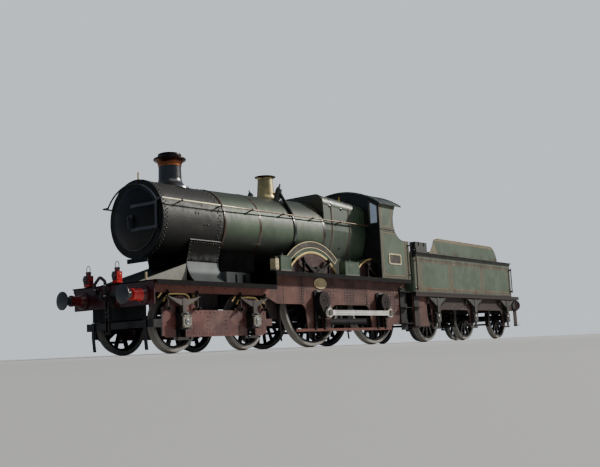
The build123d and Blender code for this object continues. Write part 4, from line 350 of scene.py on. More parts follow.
def driver_masks(x):
    def masks(p):
        out = wheel_masks(1.022, x)(p)
        y = p.math("ABSOLUTE", axis_of(p, "Y"))
        rad = p.radius(X(x), Z(1.022))
        # The crank webs are red-brown: here their sides are painted near-black and their outer face dark brown as
        # painted shade. The pin is steel and the axle's centre a black dot.
        web = p.above(y, 1.05, 0.004)
        out.append((p.both(web, p.below(y, 1.2, 0.002), p.below(rad, 0.5, 0.01)), (26, 20, 20)))
        out.append((p.both(p.within(y, 1.1935, 1.2, 0.001), p.above(rad, 0.115, 0.004)), (34, 23, 22)))
        out.append((p.above(y, 1.2, 0.002), (96, 92, 86)))
        out.append((p.both(p.above(y, 1.1935, 0.001), p.below(rad, 0.05, 0.003)), (48, 44, 42)))
        return out
    return masks


def boiler_masks(p):
    z, x = axis_of(p, "Z"), axis_of(p, "X")
    # Painted shade: the barrel darkens to near-black below and is darker over the top. The lighter band near the
    # smokebox end, strongest just below the handrail, is a painted highlight.
    under = p.ramp(z, Z(2.18), Z(2.60), 1.0, 0.0)
    over_ = p.ramp(z, Z(2.96), Z(3.22), 0.0, 0.85)
    return [(p.math("MULTIPLY", under, 0.94), (14, 19, 14)), (over_, (40, 46, 37)),
            (p.both(p.within(x, X(2.62), X(2.74), 0.03), p.ramp(z, Z(2.5), Z(2.8)), p.ramp(z, Z(2.8), Z(2.95), 1.0, 0.0)), (96, 101, 88))]


def firebox_masks(p):
    z, x = axis_of(p, "Z"), axis_of(p, "X")
    # Below 1.60 the ashpan is black. The sides are painted darker towards the bottom as painted shade, and the face
    # turned forward is painted dark green as painted shade.
    front = p.both(p.above(x, X(-0.672), 0.004), p.above(z, Z(2.2), 0.1))
    return [(p.below(z, Z(1.60), 0.02), (24, 22, 21)),
            (p.math("MULTIPLY", p.ramp(z, Z(1.7), Z(2.45), 1.0, 0.0), 0.9), (18, 23, 17)),
            (front, (20, 24, 20)),
            (p.math("MULTIPLY", p.ramp(z, Z(3.2), Z(3.56)), 0.5), (60, 69, 56))]


def cap_masks(p):
    z, rad = axis_of(p, "Z"), p.radius_z(X(3.55), 0.0)
    lip = p.above(z, Z(3.91), 0.012)
    return [(p.math("MULTIPLY", lip, 0.92), (30, 25, 27)), (p.below(rad, 0.24, 0.004), (16, 14, 14))]


def bonnet_masks(p):
    z, rad = axis_of(p, "Z"), p.radius_z(X(0.52), 0.0)
    (x0, y0, z0), (x1, y1, z1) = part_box("safety_valve_bonnet")
    return [(p.above(z, z1 - 0.03, 0.006), (52, 46, 36)), (p.below(rad, 0.12, 0.004), (30, 27, 24))]


def smokebox_masks(p):
    z, x = axis_of(p, "Z"), axis_of(p, "X")
    y = axis_of(p, "Y")
    # Painted light: the top is painted darker, the mottled band below the handrail is a painted highlight, and the
    # lower half is painted near-black as painted shade. The front ring is black and the inside behind the front plate
    # sooty.
    top = p.ramp(z, Z(2.88), Z(3.1))
    painted_shine = p.both(p.ramp(z, Z(2.6), Z(2.84)), p.ramp(z, Z(2.88), Z(3.0), 1.0, 0.0), p.ramp(p.noise(11.0, 6.0, 0.75), 0.42, 0.58))
    low = p.ramp(z, Z(2.15), Z(2.72), 1.0, 0.0)
    ring = p.above(x, X(4.441), 0.002)
    inner = p.both(p.below(p.radius_x(0.0, Z(2.61)), 0.752, 0.004), p.below(x, X(4.44), 0.003))
    return [(p.math("MULTIPLY", top, 0.85), (31, 30, 30)), (p.math("MULTIPLY", painted_shine, 0.85), (108, 110, 105)),
            (p.math("MULTIPLY", low, 0.94), (12, 12, 12)), (ring, (13, 15, 19)), (inner, (14, 12, 11))]


def saddle_masks(p):
    z, x, y = axis_of(p, "Z"), axis_of(p, "X"), p.math("ABSOLUTE", axis_of(p, "Y"))
    # The flare is painted pale grey as a painted sky reflection on the grey plate. The upper side plates are painted
    # dark as painted shade under the smokebox, and faces turned forward, with the casing's nose, are painted near-black
    # as painted shade.
    flare = p.both(p.below(z, Z(1.772), 0.006), p.above(y, 0.50, 0.004), p.below(x, X(3.685), 0.004))
    foot = p.both(flare, p.ramp(z, Z(1.50), Z(1.60), 1.0, 0.0))
    upper_shade = p.both(p.above(z, Z(1.772), 0.006), p.above(y, 0.50, 0.004))
    pale = p.both(upper_shade, p.ramp(z, Z(1.80), Z(1.98), 1.0, 0.0), p.ramp(p.noise(9.0, 5.0, 0.7), 0.36, 0.62))
    slope = p.both(p.above(x, X(3.685), 0.004), p.above(y, 0.55, 0.002))
    ahead = p.both(p.above(p.normal_z()[0], 0.8, 0.05), p.below(x, X(3.70), 0.004))
    nose_shade = p.both(p.below(y, 0.5545, 0.001), p.above(x, X(3.685), 0.004))
    return [(p.math("MULTIPLY", flare, 0.95), (136, 141, 141)), (p.math("MULTIPLY", foot, 0.9), (72, 75, 76)),
            (p.math("MULTIPLY", upper_shade, 0.92), (30, 30, 29)), (p.math("MULTIPLY", pale, 0.85), (92, 96, 92)),
            (p.math("MULTIPLY", slope, 0.95), (152, 153, 142)), (ahead, (12, 12, 13)), (nose_shade, (20, 23, 23))]


def seat_masks(p):
    z, x, y = axis_of(p, "Z"), axis_of(p, "X"), p.math("ABSOLUTE", axis_of(p, "Y"))
    low = p.both(p.above(y, 0.602, 0.002), p.below(z, Z(1.6), 0.004))
    x = axis_of(p, "X")
    fade = p.ramp(x, X(2.10), X(2.85), 0.25, 1.0)
    slots = p.both(low, p.math("ADD", p.within(x, X(2.46), X(2.52), 0.004), p.within(x, X(2.20), X(2.30), 0.004)),
                   p.within(z, Z(1.36), Z(1.54), 0.004))
    return [(p.math("MULTIPLY", low, fade), (92, 96, 96)), (slots, (12, 12, 13))]


def running_masks(p):
    y = p.math("ABSOLUTE", axis_of(p, "Y"))
    return [(p.math("MULTIPLY", p.above(y, 1.198, 0.002), 0.95), (9, 9, 10))]


def frame_masks(p):
    x, z, y = axis_of(p, "X"), axis_of(p, "Z"), p.math("ABSOLUTE", axis_of(p, "Y"))
    # The upper frame over the bogie is painted lighter as painted light, and the inner faces are painted darker as
    # painted shade.
    out = [(p.math("MULTIPLY", p.both(p.above(x, X(1.75), 0.1), p.above(z, Z(1.10), 0.02)), 0.6), (142, 88, 76)),
           (p.both(p.within(z, Z(0.322), Z(0.388), 0.003), p.above(y, 1.0155, 0.001)), (118, 66, 54)),
           (p.math("MULTIPLY", p.below(z, Z(0.75), 0.3), 0.35), (58, 40, 34)),
           (p.below(y, 0.986, 0.003), (52, 36, 34)),
           (p.both(p.within(x, X(-3.87), X(-3.52), 0.003), p.above(y, 1.024, 0.002), p.below(z, Z(1.42), 0.01)), (12, 11, 11))]
    for seam in (0.61, -1.98):
        out.append((p.both(p.within(x, X(seam - 0.020), X(seam + 0.020), 0.003), p.above(y, 1.0145, 0.001),
                           p.above(z, Z(0.93), 0.01)), (26, 16, 16)))
    return out


def splasher_masks(p):
    z, y = axis_of(p, "Z"), p.math("ABSOLUTE", axis_of(p, "Y"))
    out = []
    for x in (0.0, -2.591):
        rad = p.radius(X(x), Z(1.022))
        face = p.both(p.above(y, 0.9, 0.002), p.below(rad, 1.118, 0.002))
        out.append((face, (76, 54, 48)))
    return out


def cab_side_masks(p):
    x, z, y = axis_of(p, "X"), axis_of(p, "Z"), p.math("ABSOLUTE", axis_of(p, "Y"))
    face = p.above(y, 1.2045, 0.0004)
    low = panel(p, x, z, X(-3.63), X(-2.583), Z(1.704), Z(2.795), 0.05)
    high = panel(p, x, z, X(-3.015), X(-2.574), Z(2.946), Z(3.495), 0.05)
    d = p.math("MINIMUM", low, high)
    return [(p.both(face, p.above(d, 0.0, 0.004)), MARGIN), (p.both(face, stripe(p, d, 0.0055)), LINING),
            (p.both(face, stripe(p, p.math("ADD", d, -0.03), 0.009)), (34, 36, 30)),
            (p.below(y, 1.1895, 0.001), (66, 58, 46)),
            (p.both(p.within(y, 1.19, 1.2044, 0.0006)), (24, 26, 24))]


def tank_masks(p):
    x, z, y = axis_of(p, "X"), axis_of(p, "Z"), p.math("ABSOLUTE", axis_of(p, "Y"))
    face = p.within(y, 1.2045, 1.2062, 0.0004)
    out = []
    d = None
    for x0, x1 in ((-6.02, -4.48), (-8.035, -6.24), (-10.08, -8.245)):
        q = panel(p, x, z, X(x0), X(x1), Z(1.424), Z(2.155), 0.06)
        d = q if d is None else p.math("MINIMUM", d, q)
    patch = p.noise(1.3, 5.0, 0.65)
    low_rust = p.both(p.ramp(z, Z(1.36), Z(1.56), 1.0, 0.0), p.ramp(p.noise(2.6, 5.0, 0.7, p.stretch(1, 1, 0.3)), 0.46, 0.62))
    high_rust = p.both(p.ramp(z, Z(2.08), Z(2.19)), p.ramp(p.noise(3.2, 5.0, 0.7, p.stretch(1, 1, 0.3), 0.3), 0.42, 0.58))
    box = p.above(z, Z(2.246), 0.002)
    # The coping's flare is painted near-black: its dark green darkened further as painted shade.
    flare = p.both(p.above(y, 1.206, 0.001), p.above(z, Z(2.236), 0.004))
    rear = p.below(x, X(-10.275), 0.003)
    inside = p.both(p.below(y, 0.9, 0.01), p.above(x, X(-10.2), 0.02), p.below(z, Z(2.236), 0.002))
    top = p.both(p.within(z, Z(2.236), Z(2.245), 0.002), p.below(y, 1.2, 0.005))
    rear_panel = panel(p, axis_of(p, "Y"), z, -1.06, 1.06, Z(1.424), Z(2.155), 0.06)
    toolbox = p.both(p.within(x, X(-5.10), X(-4.43), 0.003), p.above(z, Z(2.246), 0.002), p.within(y, 0.87, 1.09, 0.004))
    out += [(p.both(face, p.above(d, 0.0, 0.004)), MARGIN), (p.both(face, stripe(p, d, 0.006)), LINING),
            (p.both(face, stripe(p, p.math("ADD", d, -0.028), 0.008)), (62, 66, 52)),
            (p.both(face, low_rust), RUST), (p.both(face, high_rust), (64, 54, 38)),
            (p.both(face, p.within(z, Z(1.306), Z(1.336), 0.003)), (52, 56, 46)),
            (p.both(rear, p.above(rear_panel, 0.0, 0.004)), MARGIN), (p.both(rear, stripe(p, rear_panel, 0.008)), LINING),
            (flare, (9, 14, 9)), (top, (40, 37, 34)), (inside, (40, 34, 30)), (toolbox, (62, 64, 60))]
    return out


def coal_plate_masks(p):
    x, z, y = axis_of(p, "X"), axis_of(p, "Z"), p.math("ABSOLUTE", axis_of(p, "Y"))
    face = p.above(y, 1.0995, 0.0004)
    slant = p.math("ADD", p.math("MULTIPLY", x, 0.86), p.math("MULTIPLY", z, -0.51))
    rear = p.math("ADD", p.math("MULTIPLY", x, 0.86), p.math("MULTIPLY", z, -0.40))
    edge_f = 0.86 * X(-5.50) - 0.51 * Z(2.62)
    edge_r = 0.86 * X(-9.46) - 0.40 * Z(2.62)
    outer = p.math("MAXIMUM", p.math("MAXIMUM", p.math("SUBTRACT", z, Z(2.80)), p.math("SUBTRACT", Z(2.33), z)),
                   p.math("MAXIMUM", p.math("SUBTRACT", slant, edge_f), p.math("SUBTRACT", edge_r, rear)))
    rust = p.both(p.ramp(z, Z(2.42), Z(2.56), 1.0, 0.0), p.ramp(p.noise(2.3, 5.0, 0.7, None, 0.2), 0.47, 0.6))
    return [(p.both(face, p.above(outer, 0.0, 0.004)), (118, 110, 84)), (p.both(face, stripe(p, outer, 0.006)), LINING),
            (p.both(face, rust), (66, 44, 31)), (p.below(y, 1.0875, 0.0004), (54, 46, 40))]


def tender_frame_masks(p):
    y, z, x = p.math("ABSOLUTE", axis_of(p, "Y")), axis_of(p, "Z"), axis_of(p, "X")
    # The inner faces, and the frames behind the front end, are painted darker as painted shade under the tank.
    return [(p.below(y, 1.0745, 0.001), (50, 36, 34)), (p.below(x, X(-10.70), 0.004), (116, 28, 30)),
            (p.both(p.above(y, 1.114, 0.002)), (26, 24, 24)),
            (p.math("MULTIPLY", p.below(x, X(-5.0), 0.25), 0.85), (38, 27, 26)),
            (p.math("MULTIPLY", p.below(z, Z(0.8), 0.25), 0.4), (60, 42, 36))]


def platform_masks(p):
    y, z = p.math("ABSOLUTE", axis_of(p, "Y")), axis_of(p, "Z")
    return [(p.both(p.above(y, 1.2155, 0.001), p.below(z, Z(1.2575), 0.001)), (42, 27, 26)),
            (p.both(p.above(y, 1.2155, 0.001), p.above(z, Z(1.2585), 0.001)), (13, 14, 13))]


def box_masks(p):
    x, y, z = axis_of(p, "X"), p.math("ABSOLUTE", axis_of(p, "Y")), axis_of(p, "Z")
    block = p.both(p.within(x, X(1.525), X(1.66), 0.003))
    foot = p.both(p.below(z, Z(1.655), 0.002), p.above(y, 0.96, 0.004))
    slot = p.both(p.within(x, X(1.17), X(1.20), 0.003), p.within(z, Z(1.68), Z(1.84), 0.004), p.above(y, 1.14, 0.004))
    return [(block, (40, 37, 33)), (p.above(z, Z(1.935), 0.002), (74, 88, 72)), (foot, (122, 122, 112)), (slot, (12, 13, 12))]


def buffer_masks(p):
    x, y = axis_of(p, "X"), axis_of(p, "Y")
    # The near barrel is painted bright red as the lit copy while the far barrel keeps the base's shaded red; the flange
    # and the steel collar under the head are painted dark as painted shade.
    return [(p.both(p.above(x, X(5.54), 0.004)), (38, 42, 48)),
            (p.below(x, X(5.17), 0.006), (66, 15, 19)),
            (p.both(p.above(y, 0.3, 0.05), p.within(x, X(5.17), X(5.40), 0.004)), (206, 36, 35)),
            (p.within(x, X(5.40), X(5.54), 0.004), (46, 46, 48))]


def tender_buffer_masks(p):
    x = axis_of(p, "X")
    return [(p.below(x, X(-11.20), 0.004), (64, 68, 74))]


def lamp_masks(p):
    x, y, z = axis_of(p, "X"), axis_of(p, "Y"), axis_of(p, "Z")
    # The far lamp's body is a darker, shaded copy of the red, and faces turned forward are painted near-black as
    # painted shade.
    near, far = p.above(y, -0.4, 0.05), p.below(y, -0.4, 0.05)
    cap = p.math("ADD", p.both(near, p.above(z, Z(1.562), 0.002)), p.both(far, p.above(z, Z(1.538), 0.002)))
    face = p.both(p.above(p.normal_z()[0], 0.9, 0.05))
    return [(p.both(far, invert(p, cap)), (112, 22, 24)), (cap, (74, 26, 26)), (face, (30, 24, 27))]


def rail_masks(p):
    x, y, z = axis_of(p, "X"), p.math("ABSOLUTE", axis_of(p, "Y")), axis_of(p, "Z")
    near = p.above(axis_of(p, "Y"), 0.3, 0.05)
    # The near rail along the smokebox is painted bright, partly polished steel and partly a painted highlight; the far
    # rail from the smokebox forward and the arch over the door are painted dark as painted shade, with a painted glint
    # on the arch's near side.
    on_smoke = p.both(p.ramp(x, X(1.9), X(2.9)), p.below(x, X(4.57), 0.01), p.above(y, 0.828, 0.002), near)
    far_rail_shade = p.both(p.above(x, X(2.98), 0.01), invert(p, near))
    painted_glint = p.both(p.above(x, X(4.57), 0.004), p.ramp(axis_of(p, "Y"), 0.1, 0.3))
    stem = p.below(y, 0.832, 0.002)
    stub = p.both(stem, p.below(x, X(4.55), 0.004))
    arch = p.above(x, X(4.57), 0.004)
    cab = p.below(x, X(-3.0), 0.05)
    return [(on_smoke, (206, 200, 168)), (arch, (24, 25, 28)), (painted_glint, (70, 76, 84)), (far_rail_shade, (24, 24, 26)), (stub, (24, 24, 24)),
            (cab, (60, 54, 48))]


def plate_masks(p):
    y = p.math("ABSOLUTE", axis_of(p, "Y"))
    out = []
    for x in (0.0,):
        rad = p.radius(X(x), Z(1.022))
        out.append((p.below(rad, 1.215, 0.002), (66, 86, 66)))
    return out


def axlebox_masks(y_face):
    def masks(p):
        y = p.math("ABSOLUTE", axis_of(p, "Y"))
        return [(p.above(y, y_face + 0.004, 0.002), (128, 124, 112))]
    return masks


def hose_masks(p):
    z = axis_of(p, "Z")
    return [(p.below(z, Z(1.05), 0.05), (84, 24, 26))]


def beam_masks(p):
    # The back face is a darker brown; the top edge is painted lighter as painted light.
    x, z = axis_of(p, "X"), axis_of(p, "Z")
    return [(p.below(x, X(5.052), 0.001), (44, 30, 30)), (p.above(z, Z(1.2835), 0.0008), (70, 40, 38))]


M = {}
M["green"] = enamel("green_plate", **FLAT_GREEN)
M["black"] = enamel("black_plate", **BLACK, rough=(0.32, 0.55))
M["brown"] = enamel("brown_plate", **BROWN, rough=(0.38, 0.62), coat=0.12)
M["grey"] = enamel("grey_plate", **GREY, rough=(0.36, 0.6), coat=0.1)
M["pale_grey"] = enamel("pale_grey_plate", base=(132, 134, 130), light=(160, 162, 160), dark=(96, 98, 96), grime=(84, 78, 68),
                        dust=(150, 148, 142), rough=(0.34, 0.56), coat=0.12, wave=0.2)
M["mid_grey"] = enamel("mid_grey_paint", base=(84, 84, 80), light=(122, 122, 116), dark=(50, 50, 48), grime=(58, 50, 42),
                       dust=(100, 98, 92), rough=(0.36, 0.58), coat=0.1, wave=0.2)
M["iron"] = enamel("black_iron", **IRON, rough=(0.5, 0.8), coat=0.0, wave=0.2, spec=0.25)
M["steel"] = metal("bright_steel", (200, 198, 192), (166, 162, 154), (104, 84, 66), amount=0.5)
M["brass"] = metal("dulled_brass", (214, 180, 102), (184, 144, 70), (96, 70, 34), rough=(0.16, 0.4), amount=0.4)
M["pale_brass"] = metal("pale_brass", (232, 206, 140), (206, 176, 106), (116, 90, 50), rough=(0.3, 0.5), amount=0.4, weight=0.45)
M["soot"] = enamel("soot_black", base=(14, 14, 15), light=(30, 30, 31), dark=(8, 8, 9), grime=(26, 24, 22), dust=(38, 36, 34),
                   rough=(0.5, 0.75), coat=0.0, wave=0.1, spec=0.25)
M["copper"] = metal("dulled_copper", (196, 122, 78), (150, 86, 54), (58, 40, 32), rough=(0.16, 0.42), amount=0.5)
M["lining"] = enamel("lining_paint", base=(196, 120, 72), light=(212, 150, 104), dark=(160, 92, 54), grime=(110, 74, 48),
                     dust=(150, 120, 96), rough=(0.4, 0.6), coat=0.1, wave=0.1)
M["band_line"] = enamel("band_line_paint", base=(112, 66, 44), light=(138, 90, 64), dark=(78, 46, 32), grime=(74, 52, 38),
                        dust=(112, 88, 70), rough=(0.36, 0.56), coat=0.15, wave=0.1)
M["lamp_trim"] = enamel("lamp_trim_paint", base=(70, 62, 62), light=(116, 108, 106), dark=(36, 30, 32), grime=(46, 36, 34),
                        dust=(96, 84, 80), rough=(0.26, 0.44), coat=0.3, wave=0.1)
M["lens"] = enamel("dark_lens", base=(20, 18, 22), light=(40, 40, 46), dark=(10, 9, 11), grime=(26, 22, 22), dust=(46, 44, 44),
                   rough=(0.06, 0.16), coat=0.8, wave=0.05, coat_rough=0.04)
M["cream"] = metal("worn_cream_paint", (222, 210, 172), (200, 184, 138), (130, 104, 68), rough=(0.34, 0.55), amount=0.5,
                   weight=0.25)
M["red"] = enamel("lamp_red", base=(206, 26, 22), light=(226, 60, 48), dark=(150, 14, 14), grime=(84, 22, 20),
                  dust=(170, 60, 50), rough=(0.22, 0.42), coat=0.35, wave=0.1)
M["beam_red"] = enamel("beam_red", base=(118, 24, 30), light=(142, 42, 42), dark=(78, 16, 22), grime=(50, 24, 24),
                       dust=(104, 70, 64), rough=(0.3, 0.5), coat=0.2, wave=0.3)
M["rubber"] = enamel("hose_rubber", base=(30, 24, 24), light=(56, 46, 44), dark=(14, 13, 13), grime=(58, 42, 36),
                     dust=(84, 72, 66), rough=(0.5, 0.75), coat=0.0, wave=0.2)
M["glint"] = metal("polished_glass", (226, 230, 232), (196, 206, 212), (120, 126, 128), rough=(0.06, 0.16), amount=0.2,
                   weight=0.6)


def glass(name):
    p = Paint(name)
    film = p.ramp(p.noise(5.0, 5.0, 0.7), 0.35, 0.75)
    colour = p.mix(film, lin((250, 252, 252)), lin((232, 238, 236)))
    r = p.ramp(p.noise(14.0, 5.0, 0.7), 0.4, 0.75, 0.0, 0.06)
    p.bump(p.noise(3.0, 2.0, 0.5), 0.05, 0.002)
    p.bsdf.inputs["Transmission Weight"].default_value = 1.0
    p.bsdf.inputs["IOR"].default_value = 1.02
    return p.done(colour, r)


M["glass"] = glass("cab_glass")


def wood(name):
    p = Paint(name)
    grain = p.noise(1.0, 6.0, 0.65, p.stretch(2.0, 26.0, 26.0), 0.4)
    colour = p.mix(p.ramp(grain, 0.34, 0.68), lin((58, 44, 32)), lin((104, 84, 62)))
    dirt = p.noise(3.0, 5.0, 0.7)
    colour = p.mix(p.ramp(dirt, 0.42, 0.7), colour, lin((34, 30, 27)))
    p.bump(grain, 0.4, 0.004)
    return p.done(colour, p.ramp(dirt, 0.3, 0.7, 0.6, 0.85))


M["wood"] = wood("floor_boards")


def set_node(material, *nodes):
    for node in nodes:
        o = NODES[node]
        if not o.material_slots:
            o.data.materials.append(material)
        for s in o.material_slots:
            s.material = material


def night(paint, **more):
    """A darker set of the same paint."""
    d = dict(paint)
    d.update(more)
    return d


set_node(enamel("boiler_green", **GREEN, rough=(0.5, 0.64), coat=0.06, wave=0.5, masks=boiler_masks, coat_rough=0.35, pit=0.04, spec=0.42), "boiler")
set_node(enamel("firebox_green", **night(GREEN, base=(52, 70, 50), light=(74, 92, 70)), rough=(0.4, 0.58), coat=0.2, wave=0.5, masks=firebox_masks,
                coat_rough=0.3), "firebox")
set_node(enamel("smokebox_paint", **night(GREY, base=(56, 57, 54), light=(80, 81, 76), dark=(34, 35, 34)), rough=(0.52, 0.72), coat=0.0, wave=0.7,
                masks=smokebox_masks, pit=0.5, spec=0.3), "smokebox")
# The door's near-black carries a blue tint that stands in for a painted sky reflection.
set_node(enamel("smokebox_door_paint", base=(8, 9, 13), light=(17, 21, 30), dark=(6, 7, 9), grime=(14, 14, 16),
                dust=(30, 30, 30), rough=(0.34, 0.5), coat=0.06, wave=0.25, coat_rough=0.3, spec=0.22), "smokebox_door")
set_node(enamel("hinge_strap_paint", base=(54, 58, 66), light=(82, 87, 98), dark=(36, 39, 45), grime=(42, 42, 44),
                dust=(90, 88, 84), rough=(0.28, 0.46), coat=0.3, wave=0.2), "door_hinge_straps")
set_node(enamel("saddle_paint", **GREY, rough=(0.52, 0.72), coat=0.0, wave=0.5, masks=saddle_masks, spec=0.04, pit=0.12), "smokebox_saddle")
# The boiler seat is painted near-black as painted shade under the boiler; only its lower outer casing shows grey.
set_node(enamel("boiler_seat_shade_black", **night(BLACK, base=(3, 3, 4), light=(6, 6, 7), dark=(2, 2, 3), grime=(7, 6, 6), dust=(16, 15, 14)), rough=(0.7, 0.9),
                coat=0.0, masks=seat_masks, spec=0.02), "boiler_seat")
set_node(enamel("running_plate_paint", **night(BLACK, base=(10, 10, 11), light=(22, 22, 23), grime=(20, 18, 16), dust=(42, 40, 37)), rough=(0.55, 0.8), coat=0.0,
                masks=running_masks, spec=0.1),
         "running_plates")
set_node(enamel("outside_frame_paint", **BROWN, rough=(0.46, 0.66), coat=0.04, wave=0.4, masks=frame_masks, spec=0.3), "outside_frames")
set_node(enamel("inside_frame_paint", base=(44, 32, 30), light=(66, 50, 44), dark=(24, 18, 18), grime=(40, 30, 26),
                dust=(64, 54, 48), rough=(0.5, 0.75), coat=0.0), "inside_frames")
set_node(enamel("splasher_paint", **FLAT_GREEN, rough=(0.28, 0.48), coat=0.3, masks=splasher_masks), "splashers")
set_node(enamel("name_plate_paint", base=(66, 60, 50), light=(112, 104, 88), dark=(40, 36, 30), grime=(56, 48, 38), dust=(84, 78, 68),
                rough=(0.28, 0.46), coat=0.3, masks=plate_masks), "name_plates")
set_node(enamel("cab_side_paint", **FLAT_GREEN, rough=(0.44, 0.62), coat=0.08, wave=0.25, masks=cab_side_masks, spec=0.35), "cab_sides")
# The cab front is painted a near-black green as painted shade on a face turned forward.
set_node(enamel("cab_front_shaded_green", base=(14, 17, 15), light=(28, 33, 29), dark=(9, 11, 10), grime=(24, 22, 20),
                dust=(64, 62, 56), rough=(0.36, 0.6), coat=0.15), "cab_front")
set_node(enamel("cab_roof_paint", base=(66, 76, 72), light=(92, 102, 98), dark=(44, 52, 50), grime=(46, 46, 42),
                dust=(84, 90, 86), rough=(0.4, 0.62), coat=0.1, wave=0.4), "cab_roof")
set_node(M["glass"], "cab_windows")
set_node(M["wood"], "cab_floor")
set_node(enamel("backhead_paint", base=(34, 32, 31), light=(60, 56, 52), dark=(16, 15, 15), grime=(64, 50, 40),
                dust=(72, 66, 60), rough=(0.34, 0.6), coat=0.15), "firebox_backhead", "firehole_door")
set_node(enamel("chimney_paint", base=(22, 24, 26), light=(40, 44, 48), dark=(12, 13, 15), grime=(32, 30, 28),
                dust=(52, 50, 48), rough=(0.26, 0.38), coat=0.8, wave=0.12, coat_rough=0.2), "chimney")
set_node(metal("cap_copper", (118, 74, 52), (86, 56, 42), (36, 28, 26), rough=(0.26, 0.46), amount=0.7, masks=cap_masks),
         "chimney_cap")
set_node(metal("bonnet_brass", (186, 170, 122), (140, 130, 98), (76, 68, 52), rough=(0.28, 0.48), amount=0.5, masks=bonnet_masks, weight=0.8),
         "safety_valve_bonnet")
set_node(enamel("sooty_iron", base=(24, 22, 21), light=(44, 38, 34), dark=(12, 11, 11), grime=(60, 42, 32), dust=(52, 48, 44),
                rough=(0.7, 0.92), coat=0.0), "smokebox_inside")
set_node(enamel("gear_iron", **IRON, rough=(0.42, 0.7), coat=0.05, wave=0.2), "cylinder_block", "engine_brakes", "tender_brakes",
         "tender_draw_gear", "tender_columns")
set_node(enamel("spring_steel", base=(32, 29, 28), light=(56, 52, 49), dark=(18, 16, 16), grime=(46, 36, 31), dust=(62, 57, 53),
                rough=(0.46, 0.7), coat=0.0, wave=0.2, spec=0.25), "driving_springs")
set_node(enamel("bogie_spring_paint", base=(82, 74, 68), light=(120, 112, 104), dark=(50, 44, 41), grime=(60, 47, 40),
                dust=(132, 124, 114), rough=(0.4, 0.64), coat=0.08, wave=0.2), "bogie_springs")
set_node(enamel("tender_spring_paint", base=(62, 62, 58), light=(98, 98, 92), dark=(36, 36, 34), grime=(46, 39, 34),
                dust=(120, 118, 110), rough=(0.42, 0.66), coat=0.05, wave=0.2), "tender_springs")
# The inner faces of the bogie frame are painted darker, and its front end near-black, as painted shade behind the
# buffer beam.
set_node(enamel("bogie_frame_paint", **night(BROWN, base=(108, 60, 54), dark=(74, 40, 37)), rough=(0.36, 0.6), coat=0.12,
                masks=lambda p: [(p.below(p.math("ABSOLUTE", axis_of(p, "Y")), 0.934, 0.001), (46, 34, 32)),
                                 (p.above(axis_of(p, "X"), X(4.72), 0.03), (14, 13, 14))]), "bogie_frame")
set_node(enamel("bogie_axlebox_paint", **IRON, rough=(0.4, 0.66), coat=0.08, masks=axlebox_masks(1.112)), "bogie_axleboxes")
set_node(enamel("tender_axlebox_paint", **IRON, rough=(0.42, 0.68), coat=0.06, masks=lambda p: [(p.above(p.math("ABSOLUTE", axis_of(p, "Y")), 1.174, 0.002), (70, 68, 62))]), "tender_axleboxes")
set_node(enamel("driving_axlebox_paint", **IRON, rough=(0.36, 0.62), coat=0.1), "driving_axleboxes")
WHEEL = dict(base=(19, 18, 18), light=(38, 36, 35), dark=(10, 10, 10), grime=(42, 35, 30), dust=(58, 54, 49), rough=(0.5, 0.74),
             coat=0.0, wave=0.1, spec=0.2)
set_node(enamel("bogie_leading_wheel_paint", **WHEEL, masks=wheel_masks(0.559, 4.267)), "bogie_leading_wheelset")
set_node(enamel("bogie_trailing_wheel_paint", **WHEEL, masks=wheel_masks(0.559, 2.286)), "bogie_trailing_wheelset")
set_node(enamel("leading_driver_paint", **WHEEL, masks=driver_masks(0.0)), "leading_driving_wheelset")
set_node(enamel("trailing_driver_paint", **WHEEL, masks=driver_masks(-2.591)), "trailing_driving_wheelset")
set_node(enamel("tender_wheel_paint", **WHEEL, masks=wheel_masks(0.629, -5.291, -7.577, -9.863)), "tender_leading_wheelset",
         "tender_middle_wheelset", "tender_trailing_wheelset")
set_node(metal("rod_steel", (238, 236, 230), (214, 211, 204), (150, 130, 108), rough=(0.34, 0.54), amount=0.4, weight=0.3),
         "left_coupling_rod", "right_coupling_rod")
# The buffer beam's red is darkened here to a shaded copy, as painted shade on its forward face.
set_node(enamel("front_beam_shaded_red", base=(58, 14, 20), light=(84, 26, 30), dark=(38, 10, 15), grime=(32, 17, 18),
                dust=(76, 52, 50), rough=(0.3, 0.5), coat=0.15, wave=0.3, masks=beam_masks), "front_buffer_beam")
# The buffers' base red is the shaded red; the near barrel's lit red comes from the masks.
set_node(enamel("front_buffer_shaded_red", base=(112, 24, 26), light=(138, 40, 38), dark=(72, 16, 20), grime=(50, 26, 24),
                dust=(110, 70, 64), rough=(0.26, 0.46), coat=0.25, wave=0.1, masks=buffer_masks), "front_buffers")
set_node(enamel("tender_buffer_paint", base=(112, 24, 26), light=(138, 40, 38), dark=(72, 16, 20), grime=(50, 26, 24),
                dust=(110, 70, 64), rough=(0.26, 0.46), coat=0.25, wave=0.1, masks=tender_buffer_masks), "tender_buffers")
set_node(enamel("draw_gear_paint", base=(30, 28, 28), light=(60, 56, 54), dark=(14, 13, 13), grime=(70, 44, 38),
                dust=(74, 66, 60), rough=(0.36, 0.62), coat=0.1), "front_draw_gear")
set_node(enamel("front_hose_rubber", base=(34, 24, 25), light=(60, 44, 44), dark=(15, 13, 13), grime=(60, 38, 34),
                dust=(88, 70, 66), rough=(0.42, 0.66), coat=0.08, masks=hose_masks), "front_brake_hose")
set_node(M["rubber"], "tender_brake_hose")
set_node(enamel("lamp_paint", base=(208, 26, 22), light=(228, 58, 46), dark=(160, 16, 15), grime=(96, 24, 22), dust=(176, 40, 34),
                rough=(0.2, 0.38), coat=0.4, wave=0.08, masks=lamp_masks), "head_lamps")
set_node(M["cream"], "lamp_irons")
set_node(metal("handrail_steel", (118, 98, 78), (96, 76, 58), (58, 46, 37), rough=(0.34, 0.56), amount=0.6, weight=0.35,
               masks=rail_masks), "handrails")
